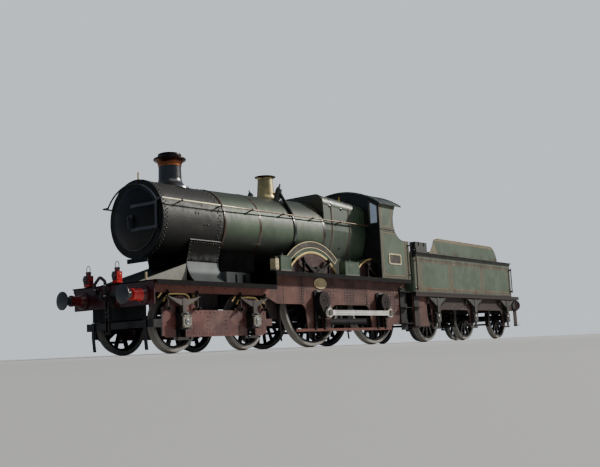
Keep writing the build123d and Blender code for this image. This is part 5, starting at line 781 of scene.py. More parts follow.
set_node(enamel("tender_rail_paint", base=(58, 56, 50), light=(120, 116, 104), dark=(30, 28, 26), grime=(66, 52, 42),
                dust=(110, 104, 94), rough=(0.3, 0.5), coat=0.15), "tender_handrails")
set_node(enamel("platform_box_paint", **FLAT_GREEN, rough=(0.3, 0.5), coat=0.25, masks=box_masks), "platform_boxes")
set_node(enamel("tank_paint", **FLAT_GREEN, rough=(0.44, 0.64), coat=0.08, wave=0.25, masks=tank_masks, spec=0.35), "tender_tank")
set_node(enamel("coal_plate_paint", **FLAT_GREEN, rough=(0.46, 0.66), coat=0.06, wave=0.3, masks=coal_plate_masks, spec=0.35), "coal_plates")
set_node(enamel("tender_platform_paint", **BLACK, rough=(0.5, 0.7), coat=0.0, masks=platform_masks, spec=0.25), "tender_platform")
set_node(enamel("tender_frame_paint", **BROWN, rough=(0.46, 0.68), coat=0.04, masks=tender_frame_masks, spec=0.3), "tender_frames")
set_node(enamel("filler_lid_paint", base=(30, 32, 30), light=(54, 56, 52), dark=(16, 17, 16), grime=(56, 44, 36),
                dust=(66, 62, 56), rough=(0.36, 0.58), coat=0.15), "filler_lid")
missing = [n for n, o in NODES.items() if not o.material_slots or o.material_slots[0].material is None]
if missing:
    raise SystemExit("no material on " + ", ".join(missing))
# ------------------------------------------------------------------ shapes
def P(x, y, h):
    """A point of the row frame from a distance ahead of the leading axle, y, and a height above the rail."""
    return Vector((X(x), y, Z(h)))


def basis(n):
    n = Vector(n).normalized()
    a = Vector((0, 0, 1)) if abs(n.z) < 0.9 else Vector((1, 0, 0))
    u = n.cross(a).normalized()
    return u, n.cross(u), n


def arc3(a, b, c, n=10):
    """Points on the circle through three 2D points, from a to c."""
    (ax, ay), (bx, by), (cx, cy) = a, b, c
    d = 2 * (ax * (by - cy) + bx * (cy - ay) + cx * (ay - by))
    ux = ((ax * ax + ay * ay) * (by - cy) + (bx * bx + by * by) * (cy - ay) + (cx * cx + cy * cy) * (ay - by)) / d
    uy = ((ax * ax + ay * ay) * (cx - bx) + (bx * bx + by * by) * (ax - cx) + (cx * cx + cy * cy) * (bx - ax)) / d
    r = math.hypot(ax - ux, ay - uy)
    t0, t1, t2 = (math.atan2(q - uy, p - ux) for p, q in (a, b, c))
    two = 2 * math.pi
    if (t1 - t0) % two > (t2 - t0) % two:
        t2 = t0 - (t0 - t2) % two
    else:
        t2 = t0 + (t2 - t0) % two
    return [(ux + r * math.cos(t0 + (t2 - t0) * i / n), uy + r * math.sin(t0 + (t2 - t0) * i / n)) for i in range(n + 1)]


def rounded(x0, x1, z0, z1, r, n=4):
    pts = []
    for cx, cz, start in ((x1 - r, z1 - r, 0), (x0 + r, z1 - r, 90), (x0 + r, z0 + r, 180), (x1 - r, z0 + r, 270)):
        for i in range(n + 1):
            t = math.radians(start + 90 * i / n)
            pts.append((cx + r * math.cos(t), cz + r * math.sin(t)))
    return pts


def inset(loop, d):
    """A closed 2D loop moved inwards by d."""
    area = sum(a[0] * b[1] - b[0] * a[1] for a, b in zip(loop, loop[1:] + loop[:1]))
    s = 1.0 if area > 0 else -1.0
    out = []
    n = len(loop)
    for i in range(n):
        (ax, ay), (bx, by), (cx, cy) = loop[i - 1], loop[i], loop[(i + 1) % n]
        e0 = Vector((bx - ax, by - ay)).normalized()
        e1 = Vector((cx - bx, cy - by)).normalized()
        n0, n1 = Vector((-e0.y, e0.x)) * s, Vector((-e1.y, e1.x)) * s
        m = (n0 + n1)
        m = m.normalized() if m.length > 1e-6 else n0
        out.append((bx + m.x * d / max(0.4, m.dot(n0)), by + m.y * d / max(0.4, m.dot(n0))))
    return out


class Shape:
    """Vertices and faces of one piece."""

    def __init__(self):
        self.v, self.f, self.k, self.mat = [], [], [], 0

    def add(self, verts, faces):
        n = len(self.v)
        self.v += [tuple(p) for p in verts]
        self.f += [tuple(n + i for i in f) for f in faces]
        self.k += [self.mat] * len(faces)

    def prism(self, loop, push, chamfer=0.0):
        """A closed loop of points pushed along a vector, with its far edge eased."""
        push = Vector(push)
        n = len(loop)
        rings = [[Vector(p) for p in loop]]
        if chamfer:
            mid = sum((Vector(p) for p in loop), Vector()) / n
            rings.append([Vector(p) + push - push.normalized() * chamfer for p in loop])
            far = []
            for p in loop:
                out = Vector(p) - mid
                far.append(Vector(p) + push - out.normalized() * min(chamfer, out.length * 0.4))
            rings.append(far)
        else:
            rings.append([Vector(p) + push for p in loop])
        verts = [p for r in rings for p in r]
        faces = [tuple(range(n)), tuple(range((len(rings) - 1) * n, len(rings) * n))]
        for k in range(len(rings) - 1):
            for i in range(n):
                j = (i + 1) % n
                faces.append((k * n + i, k * n + j, (k + 1) * n + j, (k + 1) * n + i))
        self.add(verts, faces)

    def frame(self, outer, inner, push):
        """The band between two loops of as many points, pushed along a vector."""
        push = Vector(push)
        n = len(outer)
        a, b = [Vector(p) for p in outer], [Vector(p) for p in inner]
        verts = a + b + [p + push for p in a] + [p + push for p in b]
        faces = []
        for i in range(n):
            j = (i + 1) % n
            faces += [(i, j, n + j, n + i), (2 * n + i, 3 * n + i, 3 * n + j, 2 * n + j),
                      (i, 2 * n + i, 2 * n + j, j), (n + i, n + j, 3 * n + j, 3 * n + i)]
        self.add(verts, faces)

    def block(self, lo, hi, c=0.003):
        """A box with its edges eased by c."""
        (x0, y0, z0), (x1, y1, z1) = lo, hi
        c = min(c, (x1 - x0) / 3, (y1 - y0) / 3, (z1 - z0) / 3)

        def ring(x, d):
            return [(x, y0 + c, z0 + d), (x, y1 - c, z0 + d), (x, y1 - d, z0 + c), (x, y1 - d, z1 - c),
                    (x, y1 - c, z1 - d), (x, y0 + c, z1 - d), (x, y0 + d, z1 - c), (x, y0 + d, z0 + c)]
        rings = [ring(x0, c), ring(x0 + c, 0), ring(x1 - c, 0), ring(x1, c)]
        verts = [p for r in rings for p in r]
        faces = [tuple(range(8)), tuple(range(24, 32))]
        for k in range(3):
            for i in range(8):
                j = (i + 1) % 8
                faces.append((k * 8 + i, k * 8 + j, k * 8 + 8 + j, k * 8 + 8 + i))
        self.add(verts, faces)

    def turned(self, at, axis, profile, seg=20):
        """(distance along the axis, radius) pairs turned about an axis."""
        u, w, n = basis(axis)
        at = Vector(at)
        verts, faces = [], []
        for a, r in profile:
            for i in range(seg):
                t = 2 * math.pi * i / seg
                verts.append(at + n * a + (u * math.cos(t) + w * math.sin(t)) * max(r, 0.0004))
        m = len(profile)
        faces.append(tuple(range(seg)))
        faces.append(tuple(range((m - 1) * seg, m * seg)))
        for k in range(m - 1):
            for i in range(seg):
                j = (i + 1) % seg
                faces.append((k * seg + i, k * seg + j, (k + 1) * seg + j, (k + 1) * seg + i))
        self.add(verts, faces)

    def hoop(self, at, axis, section, seg=72, start=0.0, turn=360.0, zero=None):
        """A section of (distance along the axis, radius) points carried round an axis, as a ring or part of one."""
        n = Vector(axis).normalized()
        u = Vector(zero).normalized() if zero else basis(axis)[0]
        w = n.cross(u)
        at = Vector(at)
        whole = abs(turn) >= 359.9
        steps = seg if whole else seg + 1
        m = len(section)
        verts, faces = [], []
        for i in range(steps):
            t = math.radians(start + turn * i / seg)
            d = u * math.cos(t) + w * math.sin(t)
            verts += [at + n * a + d * r for a, r in section]
        for i in range(seg):
            j = (i + 1) % steps
            for k in range(m):
                q = (k + 1) % m
                faces.append((i * m + k, j * m + k, j * m + q, i * m + q))
        if not whole:
            faces += [tuple(range(m)), tuple(range((steps - 1) * m, steps * m))]
        self.add(verts, faces)

    def tube(self, points, r, seg=8, flat=1.0, side=None):
        """A round bar along points; flat squeezes it along side."""
        pts = [Vector(p) for p in points]
        verts, faces = [], []
        prev = None
        for i, p in enumerate(pts):
            t = (pts[min(i + 1, len(pts) - 1)] - pts[max(i - 1, 0)]).normalized()
            if prev is None:
                prev = Vector(side).normalized() if side else basis(t)[0]
            u = (prev - t * prev.dot(t)).normalized()
            prev = u
            w = t.cross(u)
            rr = r[i] if isinstance(r, (list, tuple)) else r
            for k in range(seg):
                a = 2 * math.pi * k / seg
                verts.append(p + u * math.cos(a) * rr * flat + w * math.sin(a) * rr)
        n = len(pts)
        faces += [tuple(range(seg)), tuple(range((n - 1) * seg, n * seg))]
        for i in range(n - 1):
            for k in range(seg):
                q = (k + 1) % seg
                faces.append((i * seg + k, i * seg + q, (i + 1) * seg + q, (i + 1) * seg + k))
        self.add(verts, faces)

    def strap(self, path, ups, width, thick, ends=True):
        """A flat strip: path points on a surface, ups the outward normals there."""
        pts = [Vector(p) for p in path]
        verts, faces = [], []
        n = len(pts)
        for i, p in enumerate(pts):
            t = (pts[min(i + 1, n - 1)] - pts[max(i - 1, 0)]).normalized()
            up = Vector(ups[i] if isinstance(ups[0], (tuple, list, Vector)) else ups).normalized()
            s = t.cross(up).normalized() * width / 2
            verts += [p - s - up * 0.001, p + s - up * 0.001, p + s + up * thick, p - s + up * thick]
        for i in range(n - 1):
            for k in range(4):
                q = (k + 1) % 4
                faces.append((i * 4 + k, i * 4 + q, (i + 1) * 4 + q, (i + 1) * 4 + k))
        faces += [(0, 1, 2, 3), tuple(range(4 * n - 4, 4 * n))]
        self.add(verts, faces)

    def rivet(self, at, n, r=0.014, h=0.008, seg=8):
        self.turned(Vector(at) - Vector(n).normalized() * 0.001, n,
                    [(0, r), (0.001 + h * 0.35, r * 0.93), (0.001 + h * 0.8, r * 0.6), (0.001 + h, r * 0.15)], seg)

    def nut(self, at, n, r=0.02, h=0.016, stud=0.012):
        self.turned(at, n, [(-0.001, r), (h * 0.8, r), (h, r * 0.86)], 6)
        if stud:
            self.turned(at, n, [(h - 0.001, r * 0.5), (h + stud - 0.002, r * 0.5), (h + stud, r * 0.38)], 8)


def sides(*y):
    return [(s, Vector((0, s, 0))) for s in (1, -1)]


def flat(loop, y):
    """2D (x, h) points of a side elevation as row frame points at y."""
    return [P(x, y, h) for x, h in loop]


def piece(name, shape, body, slot, *mats):
    me = bpy.data.meshes.new(name)
    me.from_pydata(shape.v, [], shape.f)
    for m in mats:
        me.materials.append(m)
    me.polygons.foreach_set("material_index", shape.k)
    bm = bmesh.new()
    bm.from_mesh(me)
    bmesh.ops.recalc_face_normals(bm, faces=bm.faces)
    bm.to_mesh(me)
    bm.free()
    me.shade_smooth()
    me.set_sharp_from_angle(angle=math.radians(38))
    o = bpy.data.objects.new(name, me)
    bpy.context.scene.collection.objects.link(o)
    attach(o, body)
    return o


def barrel(x):
    """Radius and centre height of the tapered boiler barrel at x."""
    k = (2.79 - x) / 3.45
    return 0.787 + 0.061 * k, 2.61 + 0.036 * k


def firebox_outline(x, grow=0.0):
    """(y, h) points over the firebox casing at x, from the left foot over the top to the right foot."""
    k = min(max((-0.66 - x) / 1.784, 0.0), 1.0)
    top, sh = 3.63 - 0.11 * k, 0.552 - 0.012 * k
    half = [(0.598, 1.62), (0.612, 2.11)]
    half += arc3((0.612, 2.11), (0.735, 2.44), (0.792, 2.76), 8)[1:]
    half += [(0.781, (2.76 + top - 0.27) / 2), (0.77, top - 0.27)]
    half += arc3((0.77, top - 0.27), (0.716, top - 0.074), (sh, top), 8)[1:]
    pts = half + [(0.0, top)] + [(-y, h) for y, h in reversed(half)]
    out = []
    for i, (y, h) in enumerate(pts):
        (ay, ah), (by, bh) = pts[max(i - 1, 0)], pts[min(i + 1, len(pts) - 1)]
        t = Vector((by - ay, bh - ah)).normalized()
        n = Vector((t.y, -t.x))
        if n.dot(Vector((y, h - 2.7))) < 0:
            n = -n
        out.append((y + n.x * grow, h + n.y * grow, n.x, n.y))
    return out


# ------------------------------------------------------------------ detail pieces
def grid_rivets(shape, points, y, r=0.013, h=0.008):
    """Rivets at (x, h) places on both sides of the machine, standing off the plate at y."""
    for s in (1, -1):
        for x, z in points:
            shape.rivet(P(x, s * y, z), (0, s, 0), r, h)


def spaced(a, b, pitch):
    n = max(1, round(abs(b - a) / pitch))
    return [a + (b - a) * i / n for i in range(n + 1)]


# --- smokebox: two staggered rows at each end, ring bolts and the wrapper's rivets
s = Shape()
for x, off, low, n, size in ((4.408, 0, -0.99, 64, 0.017), (4.362, 0.5, -0.99, 64, 0.017), (2.955, 0.5, -0.46, 40, 0.021),
                             (2.902, 0, -0.46, 40, 0.021)):
    for i in range(n):
        t = 2 * math.pi * (i + off) / n
        if math.sin(t) < low:
            continue
        s.rivet(P(x, 0.775 * math.cos(t), 2.61 + 0.775 * math.sin(t)), (0, math.cos(t), math.sin(t)), size, 0.014)
for i in range(36):
    t = 2 * math.pi * (i + 0.5) / 36
    if math.sin(t) > -0.85:
        s.nut(P(4.457, 0.782 * math.cos(t), 2.61 + 0.782 * math.sin(t)), (0, math.cos(t), math.sin(t)), 0.014, 0.006, 0)
for x, z in ((3.60, 2.72), (3.52, 2.715), (3.36, 2.50), (3.28, 2.505)):
    for side in (1, -1):
        y = math.sqrt(0.775 ** 2 - (z - 2.61) ** 2)
        s.rivet(P(x, side * y, z), (0, side * y, z - 2.61), 0.02, 0.016)
for y in (-0.24, -0.12, 0.0, 0.12, 0.24):
    s.nut(P(4.475, y, 1.80), (1, 0, 0), 0.017, 0.012, 0.008)
piece("smokebox_rivets", s, "engine", "smoke_grey", enamel("smokebox_rivet_paint", base=(38, 38, 38), light=(66, 66, 64),
      dark=(18, 18, 19), grime=(36, 33, 30), dust=(64, 62, 59), rough=(0.34, 0.6), coat=0.15, wave=0.1))

# --- saddle: bead along its top, rivets round its side plates, and along its seam
s = Shape()
for side in (1, -1):
    top = [P(x, side * 0.662, 2.199) for x in (2.785, 3.1, 3.4, 3.675)]
    s.mat = 1
    s.strap(top, (0, side, 0.1), 0.020, 0.010)
    s.mat = 0

    def on_side(z):
        return 0.655 - 0.095 * (2.19 - z) / 0.42
    for x in spaced(2.84, 3.63, 0.078):
        s.mat = 0
        s.rivet(P(x, side * on_side(2.15), 2.15), (0, side, -0.22), 0.016, 0.012)
        s.mat = 2
        s.nut(P(x, side * on_side(1.80), 1.80), (0, side, -0.22), 0.018, 0.016, 0.004)
    s.mat = 0
    for z in spaced(1.86, 2.09, 0.077):
        for x in (2.822, 3.648):
            s.rivet(P(x, side * on_side(z), z), (0, side, -0.22), 0.016, 0.012)
    flare = arc3((0.560, 1.77), (0.640, 1.505), (0.80, 1.336), 10)
    for a, b in zip(flare[1:-1], flare[2:]):
        n = Vector((0, side * (a[1] - b[1]), b[0] - a[0]))
        for x in (2.81, 3.652):
            s.rivet(P(x, side * a[0], a[1]), n, 0.010, 0.006)
piece("saddle_rivets", s, "engine", "smoke_grey", enamel("saddle_rivet_paint", base=(70, 70, 67), light=(104, 104, 100), dark=(38, 38, 37),
      grime=(46, 42, 38), dust=(84, 82, 78), rough=(0.3, 0.5), coat=0.2, wave=0.1), M["mid_grey"], M["soot"])

# --- boiler bands: a dark band between two lines, the broad pipe cover, the joints, the firebox bands and the firebox's front edge bead
s = Shape()
for x, half, lines in ((1.672, 0.030, 1), (2.762, 0.022, 1), (0.50, 0.042, 0), (-0.602, 0.036, 2)):
    (ra, za), (rb, zb) = barrel(x + half), barrel(x - half)
    tilt = (zb - za) / (2 * half)
    top = 0.007 if lines != 0 else 0.016

    def at_end(u, up_by, ra=ra, rb=rb, half=half):
        return ra + (rb - ra) * (half - u) / (2 * half) + up_by
    axis = Vector((1, 0, -tilt)).normalized()
    centre = P(x, 0, (za + zb) / 2)
    core = half - (0.009 if lines == 1 else 0.0)
    s.mat = 0
    s.hoop(centre, axis, [(-core, at_end(-core, -0.003)), (-core, at_end(-core, top - 0.002)),
                          (-core + 0.003, at_end(-core, top)), (core - 0.003, at_end(core, top)),
                          (core, at_end(core, top - 0.002)), (core, at_end(core, -0.003))], 96)
    s.mat = 1
    for e in ((-1, 1) if lines == 1 else (1,) if lines == 2 else ()):
        a, b = (e * core, e * half) if e > 0 else (-half, -core)
        if lines == 2:
            a, b = half, half + 0.014
        s.hoop(centre, axis, [(a, at_end(a, -0.003)), (a, at_end(a, 0.0062)), (b, at_end(b, 0.0062)), (b, at_end(b, -0.003))], 96)
for x, half in ((-1.0, 0.028), (-1.73, 0.028)):
    for mat, a, b, up_by in ((0, -half + 0.010, half - 0.010, 0.006), (1, half - 0.010, half, 0.0052), (1, -half, -half + 0.010, 0.0052)):
        s.mat = mat
        mid = x + (a + b) / 2
        line = firebox_outline(mid, 0.0)
        s.strap([P(mid, y, h) for y, h, _, _ in line], [Vector((0, ny, nz)) for _, _, ny, nz in line], b - a, up_by)
# The firebox's front edge bead is painted pale green as a painted highlight along the rounded edge.
s.mat = 2
edge = firebox_outline(-0.672, 0.0)
s.tube([P(-0.668, y, h) for y, h, _, _ in edge], 0.013, 8)
piece("boiler_bands", s, "engine", "green", enamel("band_paint", base=(18, 26, 20), light=(36, 48, 38), dark=(11, 16, 12),
      grime=(40, 36, 30), dust=(66, 68, 60), rough=(0.22, 0.4), coat=0.4, wave=0.1), M["band_line"],
      enamel("edge_paint", base=(86, 104, 84), light=(134, 148, 132), dark=(54, 70, 54), grime=(70, 66, 52),
             dust=(110, 114, 104), rough=(0.2, 0.38), coat=0.4, wave=0.1))

# --- top feed clacks each side of the bonnet with their delivery pipes, and the bonnet's base ring
s = Shape()
for side, y0 in ((1, 0.345), (-1, -0.365)):
    r0, zc = barrel(0.55)
    zs = zc + math.sqrt(r0 ** 2 - y0 ** 2)
    at = P(0.55, y0, zs - 0.05)
    lean = (0, side * 0.30, 1)
    s.mat = 2
    s.turned(at, lean, [(0, 0.105), (0.05, 0.105), (0.06, 0.082), (0.10, 0.078), (0.24, 0.080), (0.30, 0.074), (0.345, 0.052),
                        (0.36, 0.030), (0.40, 0.016), (0.42, 0.020), (0.435, 0.014), (0.44, 0.004)], 20)
    s.mat = 0
    s.turned(at + Vector((0, side * 0.065, 0.215)), (0, side, 0.30), [(-0.02, 0.040), (0.03, 0.040), (0.036, 0.050), (0.06, 0.050), (0.07, 0.030)], 14)
    for i in range(6):
        t = math.pi * 2 * i / 6
        s.nut(at + Vector((0.09 * math.cos(t), 0.09 * math.sin(t), 0.052 - side * 0.027 * math.sin(t))), lean, 0.012, 0.014, 0.006)
    out = [P(0.55, y0 + side * 0.10, zs + 0.16)]
    for d in (0.22, 0.34, 0.44, 0.50):
        y = y0 + side * d * 0.9
        lift = 0.10 if d < 0.25 else 0.045 if d < 0.4 else 0.034
        out.append(P(0.552, y, zc + math.sqrt(max((r0 + lift) ** 2 - y ** 2, 0.0))))
    s.tube(out, 0.040, 12)
    s.mat = 1
    s.turned(at + Vector((0.07, 0, 0.18)), (1, 0, 0), [(-0.01, 0.036), (0.02, 0.036), (0.026, 0.026), (0.05, 0.024)], 12)
s.mat = 3
s.hoop(P(0.52, 0, 3.395), (0, 0, 1), [(-0.03, 0.262), (-0.03, 0.288), (0.020, 0.284), (0.028, 0.262)], 48)
piece("top_feed_clacks", s, "engine", "black", M["iron"], M["brass"], enamel("clack_green", base=(34, 44, 36), light=(64, 78, 66),
      dark=(18, 24, 19), grime=(40, 38, 30), dust=(70, 72, 64), rough=(0.26, 0.44), coat=0.35, wave=0.1), M["green"])

# --- a near-black sheet and two posts between the frames behind the buffer beam, standing in for the shade there
s = Shape()
a, b = P(4.930, -0.77, 0.625), P(4.942, 0.77, 0.90)
s.block(tuple(a), tuple(b), 0.003)
for y in (-0.40, 0.40):
    a, b = P(4.905, y - 0.03, 0.66), P(4.930, y + 0.03, 1.08)
    s.block(tuple(a), tuple(b), 0.003)
piece("front_shade_sheet", s, "engine", "black", M["soot"])

# --- chimney: beading of the copper cap and rivets of the skirt
s = Shape()
s.hoop(P(3.55, 0, 3.802), (0, 0, 1), [(-0.014, 0.232), (-0.012, 0.242), (0.0, 0.247), (0.012, 0.242), (0.014, 0.232)], 56)
s.mat = 1
for i in range(20):
    t = 2 * math.pi * i / 20
    x, y = 3.55 + 0.372 * math.cos(t), 0.372 * math.sin(t)
    z = 2.61 + math.sqrt(0.775 ** 2 - y ** 2)
    s.rivet(P(x, y, z + 0.03), (0, y, z - 2.61), 0.011, 0.009)
piece("chimney_details", s, "engine", "black", M["copper"], M["soot"])

# --- whistles ahead of the cab and the pipe joining them
s = Shape()
for y, k in ((0.14, 1.0), (-0.14, 0.82)):
    at = P(-2.27, y, 3.50)
    s.mat = 0
    s.turned(at, (0, 0, 1), [(0, 0.045), (0.03, 0.045), (0.04, 0.022), (0.10, 0.020), (0.11, 0.036), (0.125, 0.036), (0.13, 0.026),
                             (0.14, 0.034), (0.14 + 0.13 * k, 0.034), (0.15 + 0.13 * k, 0.022), (0.17 + 0.13 * k, 0.012),
                             (0.185 + 0.13 * k, 0.014), (0.195 + 0.13 * k, 0.004)], 14)
s.mat = 1
s.tube([P(-2.27, 0.14, 3.56), P(-2.31, 0.10, 3.56), P(-2.31, -0.10, 3.56), P(-2.27, -0.14, 3.56)], 0.014, 8)
piece("whistles", s, "engine", "brass", M["brass"], M["copper"])

# --- firebox washout plugs and mudhole doors
s = Shape()
for x, z in ((-0.95, 3.30), (-1.42, 3.28), (-1.95, 3.25), (-1.36, 2.36), (-1.98, 2.34)):
    line = firebox_outline(x, 0.0)
    near = min([q for q in line if q[0] > 0], key=lambda q: abs(q[1] - z))
    for side in (1, -1):
        s.turned(P(x, side * (near[0] - 0.004), near[1]), (0, side * near[2], near[3]),
                 [(0, 0.036), (0.008, 0.036), (0.012, 0.022), (0.026, 0.020), (0.03, 0.008)], 12)
piece("washout_plugs", s, "engine", "green", enamel("plug_paint", base=(50, 62, 46), light=(88, 98, 82), dark=(30, 38, 28), grime=(48, 44, 34),
      dust=(84, 86, 76), rough=(0.24, 0.42), coat=0.35, wave=0.1))

# --- handrail pillars' knobs and the rail's joints
s = Shape()
for side in (1, -1):
    for x in (4.05, 2.95, 1.99, 0.95, -0.15, -1.25, -2.3):
        z = 2.905 + (4.59 - x) * 0.0114
        at = P(x, side * 0.85, z)
        s.turned(at - Vector((0.03, 0, 0)), (1, 0, 0), [(0, 0.017), (0.008, 0.026), (0.03, 0.031), (0.052, 0.026), (0.06, 0.017)], 12)
        s.turned(at, (0, -side, -0.25), [(0.02, 0.022), (0.05, 0.013), (0.09, 0.012)], 10)
piece("handrail_knobs", s, "engine", "black", M["black"])

# --- outside frames: rivets, seams' butt straps and the plugged hole
s = Shape()
pts = []
pts += [(1.25, z) for z in spaced(1.0, 1.52, 0.052)]
for x in (-1.06, -1.18, -1.31, -1.43):
    pts += [(x, z) for z in spaced(1.04, 1.50, 0.066)]
for x in (0.545, 0.675, -1.915, -2.045):
    pts += [(x, z) for z in spaced(0.97, 1.54, 0.062)]
for x in (-0.60, -0.50, -0.40, 0.42):
    pts += [(x, z) for z in spaced(1.10, 1.40, 0.075)]
for x in (-3.0, -3.12, -3.28, -3.44):
    pts += [(x, z) for z in spaced(0.80, 1.50, 0.075)]
for x in spaced(-3.8, -3.5, 0.07):
    pts += [(x, 0.52)]
pts += [(x, 1.205) for x in spaced(1.95, 4.95, 0.36)]
for x in (-0.32, 0.32, -2.27, -2.91):
    pts += [(x, z) for z in spaced(0.42, 0.86, 0.088)]
grid_rivets(s, pts, 1.015, 0.018, 0.011)
grid_rivets(s, [(x, 0.355) for x in (0.80, 0.36, 0.28, -0.28, -0.36, -1.1, -2.23, -2.31, -2.87, -2.95)], 1.037, 0.017, 0.012)
s.mat = 1
for side in (1, -1):
    for x in (0.61, -1.98):
        s.block(tuple(min(a, b) for a, b in zip(P(x - 0.014, side * 1.0155, 0.935), P(x + 0.014, side * 1.02, 1.588))),
                tuple(max(a, b) for a, b in zip(P(x - 0.014, side * 1.0155, 0.935), P(x + 0.014, side * 1.02, 1.588))), 0.002)
    s.turned(P(-0.243, side * 1.014, 1.035), (0, side, 0), [(0, 0.034), (0.004, 0.034), (0.006, 0.026), (0.003, 0.024), (0.003, 0.001)], 18)
piece("outside_frame_rivets", s, "engine", "brown_red", enamel("frame_rivet_paint", base=(66, 42, 38), light=(104, 76, 70),
      dark=(40, 24, 22), grime=(50, 36, 32), dust=(140, 118, 108), rough=(0.34, 0.58), coat=0.15, wave=0.1), M["black"])

# --- brackets over the horns, horn guides with their bolts, and the spring hangers below the running plate
s = Shape()
for side in (1, -1):
    for x0 in (0.0, -2.591):
        tri = [(x0 - 0.07, 1.252), (x0 + 0.13, 1.252), (x0 + 0.085, 1.215), (x0 + 0.045, 1.15), (x0 + 0.008, 1.15), (x0 - 0.03, 1.215)]
        s.mat = 1
        s.prism(flat(tri, side * 1.015), (0, side * 0.045, 0), 0.006)
        s.mat = 0
        for e in (-1, 1):
            a, b = P(x0 + e * 0.142, side * 1.0152, 0.36), P(x0 + e * 0.205, side * 1.062, 1.19)
            s.block(tuple(min(p, q) for p, q in zip(a, b)), tuple(max(p, q) for p, q in zip(a, b)), 0.008)
            s.mat = 2
            for z in spaced(0.44, 1.12, 0.115):
                s.nut(P(x0 + e * 0.175, side * 1.061, z), (0, side, 0), 0.015, 0.012, 0.01)
            s.mat = 0
        a, b = P(x0 - 0.205, side * 1.0152, 1.19), P(x0 + 0.205, side * 1.05, 1.232)
        s.block(tuple(min(p, q) for p, q in zip(a, b)), tuple(max(p, q) for p, q in zip(a, b)), 0.006)
piece("horn_guides", s, "engine", "black", M["soot"], M["pale_grey"], M["iron"])

# --- the dark bar seen along each side just below the coupling rod, with its short posts up to the frame
s = Shape()
for side in (1, -1):
    for z0, z1, y0, y1, m in ((0.470, 0.600, 0.925, 0.950, 0), (0.600, 0.612, 0.915, 0.960, 1)):
        s.mat = m
        a, b = P(-3.24, side * y0, z0), P(0.33, side * y1, z1)
        s.block(tuple(min(p, q) for p, q in zip(a, b)), tuple(max(p, q) for p, q in zip(a, b)), 0.003)
    for x in (-0.46, -2.13):
        s.mat = 0
        a, b = P(x - 0.035, side * 0.925, 0.60), P(x + 0.035, side * 0.945, 0.96)
        s.block(tuple(min(p, q) for p, q in zip(a, b)), tuple(max(p, q) for p, q in zip(a, b)), 0.003)
        s.mat = 2
        s.turned(P(x, side * 0.975, 0.84), (0, 0, 1), [(0, 0.022), (0.10, 0.022), (0.105, 0.030), (0.13, 0.030), (0.135, 0.012)], 12)
    s.mat = 1
    for x in (-3.1, -2.9, -2.3, -1.8, -1.3, -0.8, -0.3, 0.2):
        s.rivet(P(x, side * 0.950, 0.535), (0, side, 0), 0.016, 0.010)
piece("lower_side_bars", s, "engine", "black", M["soot"], M["iron"], M["pale_grey"])

# --- splashers: brass beading round the opening, name plates' raised rims
s = Shape()
for side in (1, -1):
    for x0, lo, hi in ((0.0, 30.5, 149.5), (-2.591, 30.5, 149.5)):
        s.hoop(P(x0, side * 0.905, 1.022), (0, side, 0), [(0.0, 1.088), (0.0, 1.132), (0.010, 1.130), (0.013, 1.110), (0.010, 1.090)], 64,
               lo, hi - lo, (-side, 0, 0))
piece("splasher_beading", s, "engine", "brass", M["pale_brass"])

s = Shape()
for side in (1, -1):
    for r0, r1 in ((1.213, 1.231), (1.352, 1.370)):
        s.hoop(P(0, side * 0.905, 1.022), (0, side, 0), [(0.0, r0), (0.010, r0 + 0.002), (0.010, r1 - 0.002), (0.0, r1)], 64, 46.5, 87.0,
               (-side, 0, 0))
    for t in (46.5, 133.5):
        c, d = math.cos(math.radians(t)), math.sin(math.radians(t))
        loop = []
        for r, w in ((1.213, -0.009), (1.213, 0.009), (1.370, 0.009), (1.370, -0.009)):
            loop.append(P(r * c - w * d, side * 0.905, 1.022 + r * d + w * c))
        s.prism(loop, (0, side * 0.010, 0), 0.002)
piece("name_plate_rims", s, "engine", "brass", M["cream"])

# --- blank number plates on the cab, blank oval plates on the frames
s = Shape()
for side in (1, -1):
    outer = flat(rounded(-3.42, -2.83, 1.985, 2.265, 0.05), side * 1.2052)
    inner = flat(rounded(-3.390, -2.860, 2.015, 2.235, 0.03), side * 1.2052)
    s.mat = 0
    s.frame(outer, inner, (0, side * 0.016, 0))
    s.mat = 1
    s.prism(inner, (0, side * 0.009, 0), 0.001)
    s.mat = 0
    for x, z in ((-2.875, 2.032), (-3.375, 2.032), (-2.875, 2.218), (-3.375, 2.218)):
        s.rivet(P(x, side * 1.214, z), (0, side, 0), 0.010, 0.005)
    ring_o = [(-0.085 + 0.235 * math.cos(2 * math.pi * i / 40), 1.41 + 0.123 * math.sin(2 * math.pi * i / 40)) for i in range(40)]
    ring_i = inset(ring_o, 0.022)
    ring_m = inset(ring_o, 0.062)
    ring_n = inset(ring_o, 0.070)
    s.frame(flat(ring_o, side * 1.0152), flat(ring_i, side * 1.0152), (0, side * 0.016, 0))
    s.mat = 2
    s.prism(flat(ring_i, side * 1.0152), (0, side * 0.008, 0), 0.001)
    s.mat = 0
    s.frame(flat(ring_m, side * 1.0222), flat(ring_n, side * 1.0222), (0, side * 0.006, 0))
piece("blank_plates", s, "engine", "brass", M["cream"], enamel("plate_field", base=(62, 55, 45), light=(92, 84, 70), dark=(42, 36, 29),
      grime=(56, 44, 32), dust=(80, 72, 60), rough=(0.3, 0.5), coat=0.3, wave=0.05),
      metal("oval_plate_field", (200, 184, 140), (160, 140, 96), (84, 68, 44), rough=(0.36, 0.56), amount=0.7, weight=0.3))

